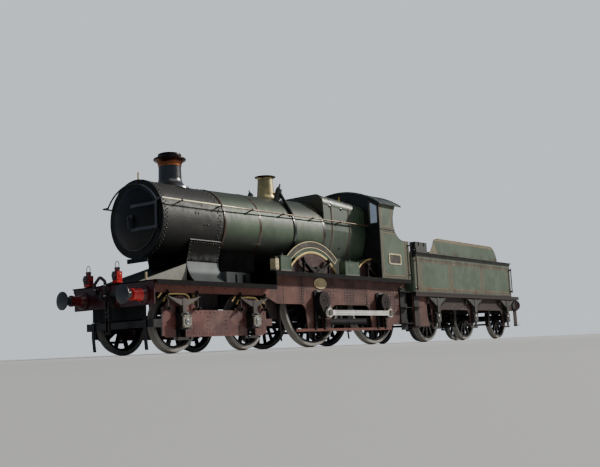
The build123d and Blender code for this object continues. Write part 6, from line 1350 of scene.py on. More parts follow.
# --- cab: edge beading round the cut-out, waist beading, window frames
s = Shape()
cut = [(-3.862, 2.64), (-3.60, 2.64)] + arc3((-3.60, 2.64), (-3.255, 2.78), (-3.13, 3.10), 10)[1:] \
    + arc3((-3.13, 3.10), (-3.16, 3.33), (-3.29, 3.555), 8)[1:]
for side in (1, -1):
    s.mat = 0
    s.tube([P(x, side * 1.197, z) for x, z in cut], 0.0125, 8)
    s.tube([P(-3.879, side * 1.197, 1.63), P(-3.868, side * 1.197, 2.1), P(-3.861, side * 1.197, 2.64)], 0.0105, 8)
    s.strap([P(-2.50, side * 1.205, 2.875), P(-2.85, side * 1.205, 2.875), P(-3.19, side * 1.205, 2.875)], (0, side, 0), 0.020, 0.008)
    for x in (-2.53, -3.16):
        s.rivet(P(x, side * 1.208, 2.875), (0, side, 0), 0.016, 0.012)
    s.block(tuple(min(a, b) for a, b in zip(P(-2.488, side * 1.2, 1.625), P(-2.462, side * 1.2105, 3.53))),
            tuple(max(a, b) for a, b in zip(P(-2.488, side * 1.2, 1.625), P(-2.462, side * 1.2105, 3.53))), 0.003)
    s.mat = 1
    win = [(0.93, 3.03), (1.162, 3.03), (1.162, 3.462), (0.93, 3.602)]
    for face, push in ((-2.4602, 0.010), (-2.4758, -0.010)):
        outer = [P(face, side * y, z) for y, z in inset(win, -0.020)]
        inner = [P(face, side * y, z) for y, z in inset(win, 0.006)]
        s.frame(outer, inner, (push, 0, 0))
    for y, z in ((0.918, 3.02), (1.174, 3.02), (1.174, 3.47), (0.918, 3.61), (1.046, 3.018)):
        s.rivet(P(-2.4502, side * y, z), (1, 0, 0), 0.007, 0.005)
piece("cab_beading", s, "engine", "black", M["black"], enamel("window_frame_paint", base=(88, 78, 62), light=(120, 108, 88),
      dark=(52, 46, 38), grime=(50, 44, 36), dust=(110, 104, 94), rough=(0.34, 0.56), coat=0.15, wave=0.1))


def roof_arc(y, lift=0.0):
    """Height of the cab roof at y."""
    (ax, ay), (bx, by) = (1.285, 3.518), (0.0, 3.95)
    r = ((ax - bx) ** 2 + (ay - by) ** 2) / (2 * (by - ay))
    zc = by - r
    return zc + math.sqrt((r + lift) ** 2 - y ** 2)


s = Shape()
ys = [1.275 * (1 - i / 16) for i in range(33)]
for x, w, t in ((-2.412, 0.030, 0.016), (-2.74, 0.055, 0.008), (-3.12, 0.055, 0.008), (-3.448, 0.030, 0.016)):
    s.strap([P(x, y, roof_arc(y)) for y in ys], [Vector((0, y, 2.0)) for y in ys], w, t)
for x in (-2.74, -3.12):
    for y in [1.2 * (1 - i / 12) for i in range(25)]:
        for e in (-0.016, 0.016):
            s.rivet(P(x + e, y, roof_arc(y) + 0.007), (0, y, 2.0), 0.008, 0.005, 6)
for side in (1, -1):
    s.strap([P(x, side * 0.99, roof_arc(0.99)) for x in (-2.44, -2.8, -3.1, -3.43)], (0, side, 2.0), 0.018, 0.022)
s.mat = 1
for x0, x1 in ((-2.80, -3.06),):
    loop = [P(x, y, roof_arc(y) + 0.004) for x, y in ((x0, 0.26), (x0, -0.26), (x1, -0.26), (x1, 0.26))]
    s.prism(loop, (0, 0, 0.022), 0.006)
    for y in (-0.2, 0.2):
        s.strap([P(-2.78, y, roof_arc(y)), P(-3.09, y, roof_arc(y))], (0, y, 2.0), 0.022, 0.014)
piece("roof_strips", s, "engine", "black", enamel("roof_strip_paint", base=(58, 68, 64), light=(84, 94, 90), dark=(38, 46, 44),
      grime=(44, 44, 40), dust=(80, 86, 82), rough=(0.4, 0.62), coat=0.1, wave=0.1), M["iron"])

# --- running plates: sand box lids and spouts, sand pipes, lubricator, rivets along the plates' edges
s = Shape()
for side in (1, -1):
    s.mat = 0
    for x, y, z in ((1.31, 1.05, 1.959), (-1.24, 1.06, 1.964)):
        s.turned(P(x, side * y, z), (0, 0, 1), [(0, 0.05), (0.012, 0.05), (0.018, 0.038), (0.03, 0.036), (0.036, 0.014), (0.05, 0.012),
                                                (0.055, 0.02), (0.07, 0.018), (0.074, 0.006)], 14)
    s.mat = 1
    front = flat(rounded(1.535, 1.645, 1.655, 1.885, 0.02), side * 1.1452)
    s.prism(front, (0, side * 0.006, 0), 0.002)
    for z in (1.69, 1.77, 1.85):
        s.nut(P(1.59, side * 1.150, z), (0, side, 0), 0.016, 0.012, 0.012)
    face = [P(1.6505, side * y, z) for y, z in rounded(1.01, 1.13, 1.655, 1.885, 0.02)]
    s.prism(face, (0.006, 0, 0), 0.002)
    s.mat = 2
    s.tube([P(1.31, side * 0.93, 1.36), P(1.31, side * 0.93, 0.96), P(1.26, side * 0.88, 0.6), P(1.13, side * 0.79, 0.26), P(1.09, side * 0.77, 0.14)], 0.021, 8)
    s.tube([P(-1.24, side * 0.93, 1.36), P(-1.24, side * 0.93, 0.9), P(-1.30, side * 0.86, 0.55), P(-1.44, side * 0.79, 0.24), P(-1.49, side * 0.77, 0.14)], 0.021, 8)
    s.mat = 3
    for x in spaced(-3.80, 1.62, 0.226):
        s.rivet(P(x, side * 1.212, 1.565), (0, side, 0), 0.008, 0.0028, 6)
piece("sanding_gear", s, "engine", "black", M["black"], M["cream"], M["iron"], M["black"])

# --- buffer beam: bolts, buffer flange bolts, coupling hook plate, and the lamps' handles and lenses
s = Shape()
for y in (-1.09, -1.0, 1.0, 1.09):
    for z in (0.92, 1.05, 1.22):
        s.rivet(P(5.08, y, z), (1, 0, 0), 0.014, 0.010)
for y in spaced(-0.55, 0.55, 0.11):
    if abs(y) > 0.2:
        for z in (0.90, 1.245):
            s.rivet(P(5.08, y, z), (1, 0, 0), 0.012, 0.008)
for side in (1, -1):
    for i in range(4):
        t = math.pi / 4 + math.pi / 2 * i
        s.mat = 1
        s.nut(P(5.108, side * 0.87 + 0.137 * math.cos(t), 1.05 + 0.137 * math.sin(t)), (1, 0, 0), 0.020, 0.018, 0.014)
s.mat = 0
plate = [P(5.08, y, z) for y, z in rounded(-0.17, 0.17, 0.91, 1.19, 0.03)]
hole = [P(5.08, y, z) for y, z in rounded(-0.06, 0.06, 0.98, 1.12, 0.03)]
s.frame(plate, hole, (0.012, 0, 0))
for y, z in ((-0.135, 0.945), (0.135, 0.945), (-0.135, 1.155), (0.135, 1.155)):
    s.nut(P(5.092, y, z), (1, 0, 0), 0.018, 0.014, 0.010)
piece("buffer_beam_bolts", s, "engine", "red", M["beam_red"], enamel("beam_bolt_paint", base=(74, 26, 28), light=(120, 70, 66),
      dark=(44, 18, 20), grime=(48, 30, 28), dust=(100, 78, 72), rough=(0.3, 0.5), coat=0.2, wave=0.1))

s = Shape()
for cx, cy, cz in ((4.959, 0.0, 1.396), (5.019, -0.787, 1.372)):
    top = cz + 0.165
    s.mat = 0
    arc = [(math.cos(math.pi * i / 14), math.sin(math.pi * i / 14)) for i in range(15)]
    s.tube([P(cx, cy - 0.052, top + 0.05)] + [P(cx, cy - 0.052 * c, top + 0.13 + 0.06 * d) for c, d in arc] + [P(cx, cy + 0.052, top + 0.05)],
           0.0075, 8)
    s.turned(P(cx, cy, top), (0, 0, 1), [(0.044, 0.047), (0.047, 0.056), (0.064, 0.058), (0.070, 0.054), (0.078, 0.040), (0.084, 0.012)], 24)
    s.hoop(P(cx + 0.0905, cy, cz + 0.084), (1, 0, 0), [(-0.006, 0.040), (0.006, 0.040), (0.010, 0.052), (-0.006, 0.056)], 28)
    s.mat = 1
    s.turned(P(cx + 0.0905, cy, cz + 0.084), (1, 0, 0), [(-0.004, 0.041), (0.004, 0.036), (0.010, 0.024), (0.013, 0.004)], 24)
    s.mat = 2
    drop = 0.064 if cy == 0.0 else 0.056
    s.block(tuple(P(cx - 0.068, cy - 0.073, cz - drop)), tuple(P(cx + 0.068, cy + 0.073, cz + 0.002)), 0.012)
    for side in (1, -1):
        s.turned(P(cx - 0.005, cy + side * 0.075, cz + 0.088), (0, side, 0), [(-0.001, 0.036), (0.007, 0.036), (0.009, 0.028), (0.006, 0.026), (0.006, 0.002)], 20)
        a, b = P(cx + 0.062, cy + side * 0.0752, cz + 0.014), P(cx + 0.068, cy + side * 0.079, cz + 0.150)
        s.block(tuple(min(p, q) for p, q in zip(a, b)), tuple(max(p, q) for p, q in zip(a, b)), 0.001)
    s.hoop(P(cx, cy, top + 0.018), (0, 0, 1), [(-0.003, 0.047), (-0.003, 0.053), (0.004, 0.053), (0.004, 0.047)], 24)
    s.hoop(P(cx, cy, top + 0.047), (0, 0, 1), [(-0.006, 0.035), (-0.004, 0.052), (0.002, 0.050), (0.005, 0.035)], 24)
piece("lamp_details", s, "engine", "red", M["lamp_trim"], M["lens"], M["red"])

# --- couplings' ends: clips on the brake hose with their bolts
s = Shape()
for x, y, z in ((5.142, -0.135, 1.30), (5.142, -0.135, 1.10), (5.142, -0.43, 1.235), (5.142, -0.43, 1.165)):
    s.hoop(P(x, y, z), (0, 0, 1), [(-0.010, 0.030), (-0.010, 0.035), (0.010, 0.035), (0.010, 0.030)], 20)
    s.nut(P(x + 0.036, y, z), (1, 0, 0), 0.008, 0.012, 0.004)
piece("hose_clips", s, "engine", "iron", M["steel"])

# --- coupling rods: bosses' caps, oil cups, and the fluted web; each rides on its own rod
for side, body, k in ((1, "left_rod", 1), (-1, "right_rod", -1)):
    node = NODES["left_coupling_rod" if side > 0 else "right_coupling_rod"]
    (bx0, by0, bz0), (bx1, by1, bz1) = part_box("left_coupling_rod" if side > 0 else "right_coupling_rod")
    zc = (bz0 + bz1) / 2
    face = max(abs(by0), abs(by1))
    boss = (bz1 - bz0) / 2
    s = Shape()
    for x in (bx0 + boss, bx1 - boss):
        s.mat = 1
        s.hoop((x, side * face, zc), (0, side, 0), [(-0.002, 0.050), (0.009, 0.052), (0.009, 0.064), (-0.002, 0.066)], 28)
        s.mat = 0
        s.turned((x, side * (face - 0.02), zc + boss - 0.004), (0, 0, 1), [(0, 0.030), (0.022, 0.030), (0.026, 0.016), (0.042, 0.015), (0.046, 0.006)], 12)
    for z in (zc - 0.040, zc + 0.040):
        a = Vector((bx0 + 2 * boss + 0.06, side * face - side * 0.002, z))
        b = Vector((bx1 - 2 * boss - 0.06, side * face - side * 0.002, z))
        s.strap([a, (a + b) / 2, b], (0, side, 0), 0.014, 0.004)
    piece(body + "_fittings", s, body, "steel", M["steel"], M["brass"])

# --- crank ends on each driving axle: a ring of rivets on each web and a centre cap
for axle, name in ((0.0, "leading_driving_axle"), (-2.591, "trailing_driving_axle")):
    s = Shape()
    for side in (1, -1):
        y = side * 1.195
        for i in range(8):
            t = 2 * math.pi * i / 8 + 0.2
            s.rivet((X(axle) + 0.098 * math.cos(t), y, Z(1.022) + 0.098 * math.sin(t)), (0, side, 0), 0.012, 0.008)
        s.turned((X(axle), y, Z(1.022)), (0, side, 0), [(-0.002, 0.030), (0.006, 0.030), (0.008, 0.022), (0.004, 0.018), (0.004, 0.002)], 16)
    piece(name + "_crank_rivets", s, name, "iron", M["iron"])

# --- bogie: brass arches over the axleboxes, rivets, horn bolts, spring pins
s = Shape()
for side in (1, -1):
    for x0, lift in ((4.267, 0.035), (2.286, 0.0)):
        curve = [(0.425, 0.895), (0.40, 0.935)] + arc3((0.385, 0.955), (0.325, 1.008), (0.235, 1.026), 8) \
            + [(0.10, 1.032), (-0.06, 1.032)] + arc3((-0.08, 1.031), (-0.165, 1.00), (-0.215, 0.945), 8) + [(-0.27, 0.90), (-0.315, 0.862)]
        s.strap([P(x0 + dx, side * 0.975, z + lift) for dx, z in curve],
                [Vector((dx - 0.06, 0, z - 0.80)) for dx, z in curve], 0.028, 0.030)
        for (ax, az), (bx, bz) in (((0.565, 0.958), (0.467, 1.050)), ((-0.300, 1.018), (-0.420, 0.912))):
            s.strap([P(x0 + ax, side * 0.975, az + lift), P(x0 + (ax + bx) / 2, side * 0.975, (az + bz) / 2 + lift), P(x0 + bx, side * 0.975, bz + lift)],
                    Vector(((ax + bx) / 2, 0, 0.45)), 0.028, 0.026)
piece("bogie_arches", s, "bogie", "brass", M["pale_brass"])

s = Shape()
pts = [(x, 0.335) for x in spaced(3.93, 2.62, 0.075)]
pts += [(x, 0.74) for x in spaced(3.86, 2.69, 0.13)]
for x0 in (4.267, 2.286):
    pts += [(x0 + 0.47 * math.cos(math.radians(a)) * 0.93, 0.565 + 0.47 * math.sin(math.radians(a)) * 0.93) for a in range(20, 161, 10)
            if abs(0.44 * math.cos(math.radians(a))) > 0.16]
    for e in (-1, 1):
        pts += [(x0 + e * 0.175, z) for z in spaced(0.36, 0.80, 0.088)]
        pts += [(x0 + e * 0.36, z) for z in spaced(0.36, 0.56, 0.066)]
for x in (3.55, 3.50, 3.05, 3.0):
    pts += [(x, z) for z in spaced(0.42, 0.66, 0.08)]
grid_rivets(s, pts, 0.963, 0.014, 0.010)
piece("bogie_frame_rivets", s, "bogie", "brown_red", enamel("bogie_rivet_paint", base=(134, 96, 88), light=(172, 138, 128),
      dark=(58, 32, 30), grime=(48, 34, 30), dust=(140, 118, 108), rough=(0.34, 0.58), coat=0.15, wave=0.1))

s = Shape()
for side in (1, -1):
    for x0 in (4.267, 2.286):
        s.mat = 0
        for e in (-1, 1):
            for f in (-1, 1):
                s.nut(P(x0 + e * 0.082, side * 1.150, 0.559 + f * 0.092), (0, side, 0), 0.014, 0.012, 0.008)
        s.turned(P(x0, side * 1.149, 0.559), (0, side, 0), [(0, 0.062), (0.010, 0.062), (0.016, 0.052), (0.012, 0.040), (0.016, 0.03), (0.022, 0.004)], 22)
        s.turned(P(x0, side * 1.13, 0.672), (0, side * 0.5, 1), [(0, 0.020), (0.03, 0.020), (0.034, 0.028), (0.05, 0.026), (0.054, 0.008)], 12)
        s.mat = 1
        for e in (-1, 1):
            hx = x0 + e * 0.38
            s.turned(P(hx, side * 1.04, 0.76), (0, 0, 1), [(0, 0.012), (0.01, 0.026), (0.05, 0.026), (0.052, 0.017), (0.32, 0.017), (0.322, 0.030),
                                                          (0.352, 0.030), (0.354, 0.016), (0.38, 0.014), (0.384, 0.006)], 12)
            s.turned(P(hx, side * 1.062, 0.80), (0, side, 0), [(0, 0.026), (0.05, 0.026), (0.056, 0.016), (0.064, 0.014)], 12)
            for z in (0.43, 0.70):
                s.nut(P(x0 + e * 0.145, side * 0.985, z), (0, side, 0), 0.019, 0.022, 0.012)
            s.nut(P(x0 + e * 0.165, side * 1.028, 0.242), (0, side, 0), 0.022, 0.02, 0.014)
        s.mat = 2
        a, b = P(x0 - 0.058, side * 0.992, 0.846), P(x0 + 0.058, side * 1.09, 0.982)
        s.block(tuple(min(p, q) for p, q in zip(a, b)), tuple(max(p, q) for p, q in zip(a, b)), 0.006)
piece("bogie_box_fittings", s, "bogie", "steel", M["pale_grey"], M["iron"], M["grey"])

# --- driving springs: pins, nuts and bands
s = Shape()
for side in (1, -1):
    for x0 in (0.0, -2.591):
        s.mat = 0
        for e in (-1, 1):
            hx = x0 + e * 0.47
            s.turned(P(hx, side * 1.0, 1.622), (0, 0, 1), [(0, 0.048), (0.014, 0.048), (0.020, 0.030), (0.20, 0.030), (0.202, 0.046), (0.246, 0.046),
                                                           (0.248, 0.024), (0.282, 0.022), (0.290, 0.008)], 14)
        s.mat = 1
        a, b = P(x0 - 0.05, side * 0.944, 1.64), P(x0 + 0.05, side * 1.056, 1.79)
        s.block(tuple(min(p, q) for p, q in zip(a, b)), tuple(max(p, q) for p, q in zip(a, b)), 0.008)
        s.nut(P(x0, side * 1.056, 1.715), (0, side, 0), 0.020, 0.014, 0.012)
piece("driving_spring_fittings", s, "engine", "iron", M["iron"], M["soot"])

# --- cab: pipes, gauges with blank dials, gauge glass, taps on the backhead
s = Shape()
(kx0, ky0, kz0), (kx1, ky1, kz1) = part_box("firebox_backhead")
kx = X(-2.444)
back = kx - 0.02


def B(y, h, d=0.0):
    """A point d behind the firebox's back plate."""
    return Vector((back - d, y, Z(h)))


s.mat = 1
s.tube([B(0.30, 3.20, 0.04), B(0.30, 3.36, 0.06), B(0.26, 3.46, 0.08), B(0.0, 3.47, 0.08), B(-0.26, 3.46, 0.08), B(-0.30, 3.30, 0.05)], 0.016, 8)
s.tube([B(-0.48, 1.80, 0.05), B(-0.50, 2.3, 0.05), B(-0.47, 2.8, 0.05), B(-0.36, 3.05, 0.05), B(-0.26, 3.10, 0.05)], 0.018, 8)
s.tube([B(0.50, 1.75, 0.05), B(0.52, 2.2, 0.05), B(0.50, 2.7, 0.05), B(0.40, 3.0, 0.05)], 0.018, 8)
s.tube([B(0.14, 3.16, 0.05), B(0.18, 2.95, 0.06), B(0.36, 2.86, 0.06), B(0.44, 2.6, 0.05), B(0.45, 2.0, 0.05)], 0.010, 8)
s.mat = 0
for y, h, r in ((0.22, 3.34, 0.085), (-0.22, 3.34, 0.070)):
    s.turned(B(y, h, 0.02), (-1, 0, 0), [(0, r * 0.5), (0.04, r * 0.9), (0.07, r), (0.086, r), (0.086, r * 0.86), (0.078, r * 0.84)], 26)
    s.mat = 2
    s.turned(B(y, h, 0.098), (-1, 0, 0), [(0, r * 0.84), (0.001, r * 0.83), (0.001, 0.002)], 26)
    s.mat = 0
for y in (0.12,):
    for h in (2.86, 3.10):
        s.turned(B(y, h, 0.0), (-1, 0, 0), [(0, 0.034), (0.02, 0.034), (0.024, 0.018), (0.09, 0.018), (0.094, 0.024), (0.11, 0.022)], 14)
    s.tube([B(y, 2.86, 0.075), B(y, 2.98, 0.075), B(y, 3.10, 0.075)], 0.011, 10)
for y, h in ((-0.10, 3.02), (-0.32, 2.92), (0.33, 2.92), (-0.30, 2.56), (0.30, 2.52)):
    s.turned(B(y, h, 0.0), (-1, 0, 0), [(0, 0.036), (0.018, 0.036), (0.022, 0.02), (0.07, 0.02), (0.072, 0.012), (0.10, 0.010)], 14)
    s.hoop(B(y, h, 0.10), (-1, 0, 0), [(-0.006, 0.040), (-0.006, 0.052), (0.006, 0.052), (0.006, 0.040)], 20)
    for i in range(4):
        t = math.pi / 2 * i
        s.tube([B(y, h, 0.10), B(y + 0.044 * math.cos(t), h + 0.044 * math.sin(t), 0.10)], 0.005, 6)
piece("backhead_fittings", s, "engine", "brass", M["brass"], M["copper"], enamel("dial_white", base=(214, 212, 204), light=(230, 228, 222),
      dark=(180, 176, 166), grime=(150, 140, 122), dust=(200, 196, 188), rough=(0.2, 0.34), coat=0.4, wave=0.05))

# --- pipes and cocks below the running plate, injectors and drain pipes below the cab
s = Shape()
for side in (1, -1):
    s.mat = 0
    s.tube([P(-2.95, side * 0.90, 1.50), P(-2.98, side * 0.90, 0.95), P(-3.10, side * 0.90, 0.66), P(-3.40, side * 0.90, 0.56), P(-3.80, side * 0.90, 0.54)], 0.030, 10)
    s.tube([P(-3.15, side * 0.84, 1.50), P(-3.16, side * 0.84, 0.90), P(-3.05, side * 0.84, 0.50), P(-2.96, side * 0.84, 0.22)], 0.022, 8)
    s.mat = 1
    s.turned(P(-3.42, side * 0.90, 0.56), (-1, 0, 0), [(0, 0.038), (0.02, 0.055), (0.06, 0.055), (0.07, 0.042), (0.18, 0.042), (0.19, 0.055),
                                                      (0.23, 0.055), (0.25, 0.034)], 16)
    s.turned(P(-3.52, side * 0.90, 0.59), (0, 0, 1), [(0, 0.03), (0.06, 0.03), (0.065, 0.018), (0.10, 0.016)], 12)
piece("under_pipes", s, "engine", "iron", M["iron"], metal("injector_bronze", (150, 112, 70), (110, 80, 52), (52, 40, 32),
      rough=(0.3, 0.55), amount=0.8, weight=0.8))

# --- tender: beading of the coping and the coal plates, panels' seams, the tank's bottom angle
s = Shape()
for side in (1, -1):
    s.tube([P(x, side * 1.268, 2.373) for x in (-4.175, -6.0, -8.0, -10.0, -10.215)], 0.0095, 8)
edge = [(-5.15, 2.42)] + arc3((-5.15, 2.42), (-5.30, 2.56), (-5.41, 2.72), 8)[1:] + arc3((-5.41, 2.72), (-5.49, 2.83), (-5.62, 2.87), 8)[1:] \
    + [(-7.0, 2.87), (-9.15, 2.87)] + arc3((-9.15, 2.87), (-9.40, 2.70), (-9.54, 2.44), 12)[1:]
for side in (1, -1):
    s.mat = 1
    s.tube([P(x, side * 1.093, z) for x, z in edge], 0.0125, 8)
    s.mat = 0
    for x in (-5.9, -6.9, -7.9, -8.9):
        a, b = P(x - 0.02, side * 1.0345, 2.245), P(x + 0.02, side * 1.0855, 2.84)
        s.block(tuple(min(p, q) for p, q in zip(a, b)), tuple(max(p, q) for p, q in zip(a, b)), 0.006)
    for x in (-5.9, -6.9, -7.9, -8.9):
        for z in spaced(2.32, 2.80, 0.16):
            s.rivet(P(x, side * 1.10, z), (0, side, 0), 0.009, 0.005, 6)
s.mat = 2
for side in (1, -1):
    s.strap([P(x, side * 1.205, 1.318) for x in (-4.11, -6.0, -8.0, -10.22)], (0, side, 0), 0.026, 0.010)
    for x in spaced(-4.2, -10.15, 0.14):
        s.rivet(P(x, side * 1.214, 1.318), (0, side, 0), 0.007, 0.004, 6)
# The coping, the coal plates' ribs and their rivets are painted a near-black green, partly their own dark green and
# partly painted shade.
piece("tender_beading", s, "tender", "green", enamel("coping_green_and_shade", base=(26, 38, 27), light=(48, 60, 48), dark=(16, 25, 18), grime=(46, 38, 30),
      dust=(52, 52, 44), rough=(0.5, 0.7), coat=0.0, wave=0.1, spec=0.1),
      enamel("plate_edge_paint", base=(126, 116, 92), light=(150, 140, 114), dark=(84, 76, 60), grime=(90, 58, 40), dust=(130, 122, 104),
             rough=(0.4, 0.62), coat=0.1, wave=0.1),
      enamel("bottom_angle_paint", base=(66, 68, 58), light=(92, 94, 82), dark=(44, 42, 34), grime=(96, 70, 48), dust=(130, 132, 120),
             rough=(0.38, 0.6), coat=0.15, wave=0.1))

# --- tender frames: rivets along the edges and round the horns, spring pins, box covers' bolts
s = Shape()
pts = [(x, 1.22) for x in spaced(-4.12, -10.66, 0.12)]
pts += [(-4.12, z) for z in spaced(0.44, 1.16, 0.09)]
pts += [(x, 0.43) for x in spaced(-4.17, -4.88, 0.09)]
for x0 in (-5.291, -7.577, -9.863):
    for e in (-1, 1):
        pts += [(x0 + e * 0.178, z) for z in spaced(0.48, 0.84, 0.09)]
        pts += [(x0 + e * 0.208, z) for z in spaced(0.45, 0.69, 0.12)]
for x0, x1 in ((-5.291, -7.577), (-7.577, -9.863)):
    pts += [(x, 0.885) for x in spaced(x0 - 0.50, x1 + 0.50, 0.10)]
for x in (-6.434, -8.720):
    for e in (-0.05, 0.05):
        pts += [(x + e, z) for z in spaced(0.93, 1.16, 0.077)]
grid_rivets(s, pts, 1.10, 0.0135, 0.009)
grid_rivets(s, [(-4.23 + e, z) for e in (-0.10, 0.10) for z in (0.50, 0.62, 0.74, 1.02, 1.14)], 1.128, 0.011, 0.007)
s.mat = 1
for side in (1, -1):
    for y in (0.92, 1.05):
        for z in (0.90, 1.22):
            s.rivet(P(-10.73, side * y, z), (-1, 0, 0), 0.014, 0.010)
    for i in range(4):
        t = math.pi / 4 + math.pi / 2 * i
        s.nut(P(-10.758, side * 0.87 + 0.137 * math.cos(t), 1.05 + 0.137 * math.sin(t)), (-1, 0, 0), 0.020, 0.018, 0.014)
piece("tender_frame_rivets", s, "tender", "brown_red", enamel("tender_rivet_paint", base=(110, 62, 56), light=(152, 108, 98),
      dark=(66, 36, 33), grime=(50, 36, 32), dust=(134, 112, 102), rough=(0.34, 0.58), coat=0.15, wave=0.1), M["beam_red"])

s = Shape()
for side in (1, -1):
    for x0 in (-5.291, -7.577, -9.863):
        s.mat = 0
        for e in (-1, 1):
            for f in (-1, 1):
                s.nut(P(x0 + e * 0.086, side * 1.210, 0.629 + f * 0.100), (0, side, 0), 0.014, 0.012, 0.008)
            s.nut(P(x0 + e * 0.19, side * 1.113, 0.347), (0, side, 0), 0.020, 0.018, 0.012)
            s.turned(P(x0 + e * 0.45, side * 1.135, 1.02), (0, 0, 1), [(0, 0.010), (0.006, 0.026), (0.03, 0.026), (0.032, 0.015), (0.15, 0.015)], 12)
        s.turned(P(x0, side * 1.209, 0.629), (0, side, 0), [(0, 0.066), (0.008, 0.066), (0.014, 0.054), (0.010, 0.04), (0.016, 0.03), (0.020, 0.004)], 22)
        s.turned(P(x0, side * 1.19, 0.752), (0, side * 0.6, 1), [(0, 0.022), (0.03, 0.022), (0.034, 0.030), (0.05, 0.028), (0.054, 0.008)], 12)
piece("tender_box_fittings", s, "tender", "iron", M["mid_grey"])

# --- tender: lamp irons and steps on the back, hasps on the tool boxes, vents, ribs on the tank top and the filler's ring
s = Shape()
for y, z in ((-0.75, 1.78), (0.0, 1.78), (0.75, 1.78), (0.0, 2.28)):
    off = 0.0 if z < 2 else 0.055
    s.mat = 1
    loop = [Vector((X(-10.282 - off), y - 0.022, Z(z))), Vector((X(-10.282 - off), y + 0.022, Z(z))),
            Vector((X(-10.282 - off), y + 0.022, Z(z + 0.05))), Vector((X(-10.282 - off), y - 0.022, Z(z + 0.05)))]
    s.prism(loop, (-0.045, 0, 0), 0.003)
    a, b = (X(-10.335 - off), y - 0.022, Z(z)), (X(-10.322 - off), y + 0.022, Z(z + 0.165))
    s.block(a, b, 0.003)
s.mat = 0
for y in (-0.92, 0.92):
    for z in (1.55, 1.90):
        a, b = (X(-10.42), y - 0.13, Z(z)), (X(-10.281), y + 0.13, Z(z + 0.014))
        s.block(a, b, 0.003)
        for e in (-0.10, 0.10):
            s.strap([P(-10.281, y + e, z - 0.09), P(-10.34, y + e, z - 0.045), P(-10.405, y + e, z)], (0, 1, 0), 0.022, 0.010)
for side in (1, -1):
    for x in (-4.62, -4.90):
        a, b = P(x - 0.022, side * 1.0745, 2.60), P(x + 0.022, side * 1.086, 2.705)
        s.block(tuple(min(p, q) for p, q in zip(a, b)), tuple(max(p, q) for p, q in zip(a, b)), 0.003)
        s.rivet(P(x, side * 1.086, 2.63), (0, side, 0), 0.012, 0.012)
    s.turned(P(-10.02, side * 0.80, 2.24), (0, 0, 1), [(0, 0.065), (0.012, 0.065), (0.016, 0.045), (0.19, 0.045), (0.20, 0.070), (0.235, 0.066), (0.26, 0.03)], 20)
for x in (-8.6, -8.95, -9.86, -10.1):
    s.strap([P(x, y, 2.241) for y in (-0.98, -0.5, 0.0, 0.5, 0.98)], (0, 0, 1), 0.05, 0.008)
for i in range(18):
    t = 2 * math.pi * i / 18
    s.rivet(P(-9.5 + 0.262 * math.cos(t), 0.262 * math.sin(t), 2.2405), (0, 0, 1), 0.012, 0.008, 6)
s.hoop(P(-9.5, 0, 2.24), (0, 0, 1), [(-0.002, 0.231), (-0.002, 0.285), (0.008, 0.285), (0.010, 0.231)], 40)
piece("tank_top_fittings", s, "tender", "black", M["iron"], M["cream"])

s = Shape()
for side in (1, -1):
    for x, z0, z1 in ((-4.13, 1.40, 2.42), (-10.20, 1.46, 2.17)):
        for z in (z0, z1):
            s.turned(P(x, side * 1.2055, z), (0, side, 0), [(0, 0.026), (0.008, 0.026), (0.012, 0.016), (0.044, 0.015)], 14)
            s.turned(P(x, side * 1.256, z - 0.018), (0, 0, 1), [(0, 0.016), (0.006, 0.022), (0.030, 0.022), (0.036, 0.016)], 12)
    for z in (1.76, 2.54):
        s.turned(P(-3.855, side * 1.2055, z), (0, side, 0), [(0, 0.028), (0.008, 0.028), (0.012, 0.017), (0.036, 0.016)], 14)
        s.turned(P(-3.855, side * 1.255, z - 0.018), (0, 0, 1), [(0, 0.017), (0.006, 0.023), (0.030, 0.023), (0.036, 0.017)], 12)
tender_knobs = Shape()
cab_knobs = Shape()
half = len(s.v)
piece_rows = ((cab_knobs, lambda p: p[0] > X(-4.0)), (tender_knobs, lambda p: p[0] <= X(-4.0)))
for target, wanted in piece_rows:
    index = {}
    for f in s.f:
        if all(wanted(s.v[i]) for i in f):
            for i in f:
                if i not in index:
                    index[i] = len(target.v)
                    target.v.append(s.v[i])
            target.f.append(tuple(index[i] for i in f))
            target.k.append(0)
piece("cab_rail_brackets", cab_knobs, "engine", "black", M["black"])
piece("tender_rail_brackets", tender_knobs, "tender", "black", M["black"])

# --- smokebox door: edge studs and a rim ring
s = Shape()
(dx0, dy0, dz0), (dx1, dy1, dz1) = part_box("smokebox_door")
for i in range(40):
    t = 2 * math.pi * (i + 0.5) / 40
    s.rivet(P(4.4865, 0.598 * math.cos(t), 2.61 + 0.598 * math.sin(t)), (1, 0, 0), 0.010, 0.007, 6)
s.hoop(P(4.492, 0, 2.61), (1, 0, 0), [(-0.004, 0.612), (0.006, 0.612), (0.008, 0.622), (0.004, 0.632), (-0.004, 0.632)], 72)
piece("door_studs", s, "smokebox_door", "black", enamel("door_stud_paint", base=(26, 28, 32), light=(54, 58, 66), dark=(14, 15, 18),
      grime=(36, 34, 32), dust=(66, 64, 62), rough=(0.24, 0.42), coat=0.4, wave=0.1))


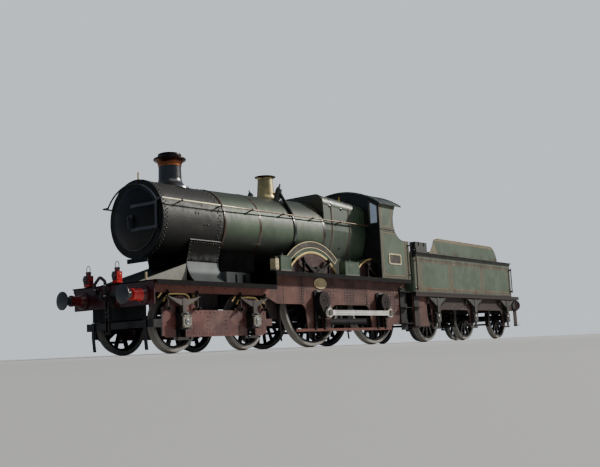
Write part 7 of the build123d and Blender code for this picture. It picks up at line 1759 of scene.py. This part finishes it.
# ------------------------------------------------------------------ floor and light
def floor():
    p = Paint("studio_floor")
    c = p.mix(p.ramp(p.noise(0.35, 3.0, 0.5), 0.3, 0.7), lin((206, 206, 203)), lin((216, 215, 213)))
    p.bump(p.noise(30.0, 3.0, 0.6), 0.08, 0.002)
    mat = p.done(c, 0.72)
    me = bpy.data.meshes.new("studio_floor")
    s = 180.0
    me.from_pydata([(-s, -s, 0), (s, -s, 0), (s, s, 0), (-s, s, 0)], [], [(0, 1, 2, 3)])
    me.materials.append(mat)
    o = bpy.data.objects.new("studio_floor", me)
    bpy.context.scene.collection.objects.link(o)
    o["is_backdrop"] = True


floor()


def sun(name, direction, strength, angle, colour):
    d = bpy.data.lights.new(name, "SUN")
    d.energy, d.angle, d.color = strength, math.radians(angle), colour
    o = bpy.data.objects.new(name, d)
    bpy.context.scene.collection.objects.link(o)
    o.rotation_mode = "QUATERNION"
    o.rotation_quaternion = Vector(direction).normalized().to_track_quat("Z", "Y")


def area(name, at, towards, size, power, colour):
    d = bpy.data.lights.new(name, "AREA")
    d.shape, d.size, d.size_y, d.energy, d.color = "RECTANGLE", size[0], size[1], power, colour
    o = bpy.data.objects.new(name, d)
    bpy.context.scene.collection.objects.link(o)
    o.location = at
    o.rotation_mode = "QUATERNION"
    o.rotation_quaternion = (Vector(at) - Vector(towards)).to_track_quat("Z", "Y")


sun("key", (-0.74, 0.46, 0.48), 3.9, 4.0, (1.0, 0.94, 0.86))
area("overhead", (2.0, 9.0, 13.0), (0.0, 0.0, 2.0), (22.0, 3.0), 400.0, (1.0, 0.98, 0.95))

world = bpy.data.worlds.new("studio")
bpy.context.scene.world = world
world.use_nodes = True
wt = world.node_tree
wt.nodes.clear()
w_out = wt.nodes.new("ShaderNodeOutputWorld")
w_seen = wt.nodes.new("ShaderNodeBackground")
w_fill = wt.nodes.new("ShaderNodeBackground")
w_mix = wt.nodes.new("ShaderNodeMixShader")
w_path = wt.nodes.new("ShaderNodeLightPath")
w_seen.inputs[0].default_value = (0.70, 0.76, 0.83, 1.0)
w_seen.inputs[1].default_value = 1.0
w_fill.inputs[0].default_value = (0.62, 0.74, 0.92, 1.0)
w_fill.inputs[1].default_value = 0.25
wt.links.new(w_path.outputs["Is Camera Ray"], w_mix.inputs[0])
wt.links.new(w_fill.outputs[0], w_mix.inputs[1])
wt.links.new(w_seen.outputs[0], w_mix.inputs[2])
wt.links.new(w_mix.outputs[0], w_out.inputs[0])

# ------------------------------------------------------------------ finish
lo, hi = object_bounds()
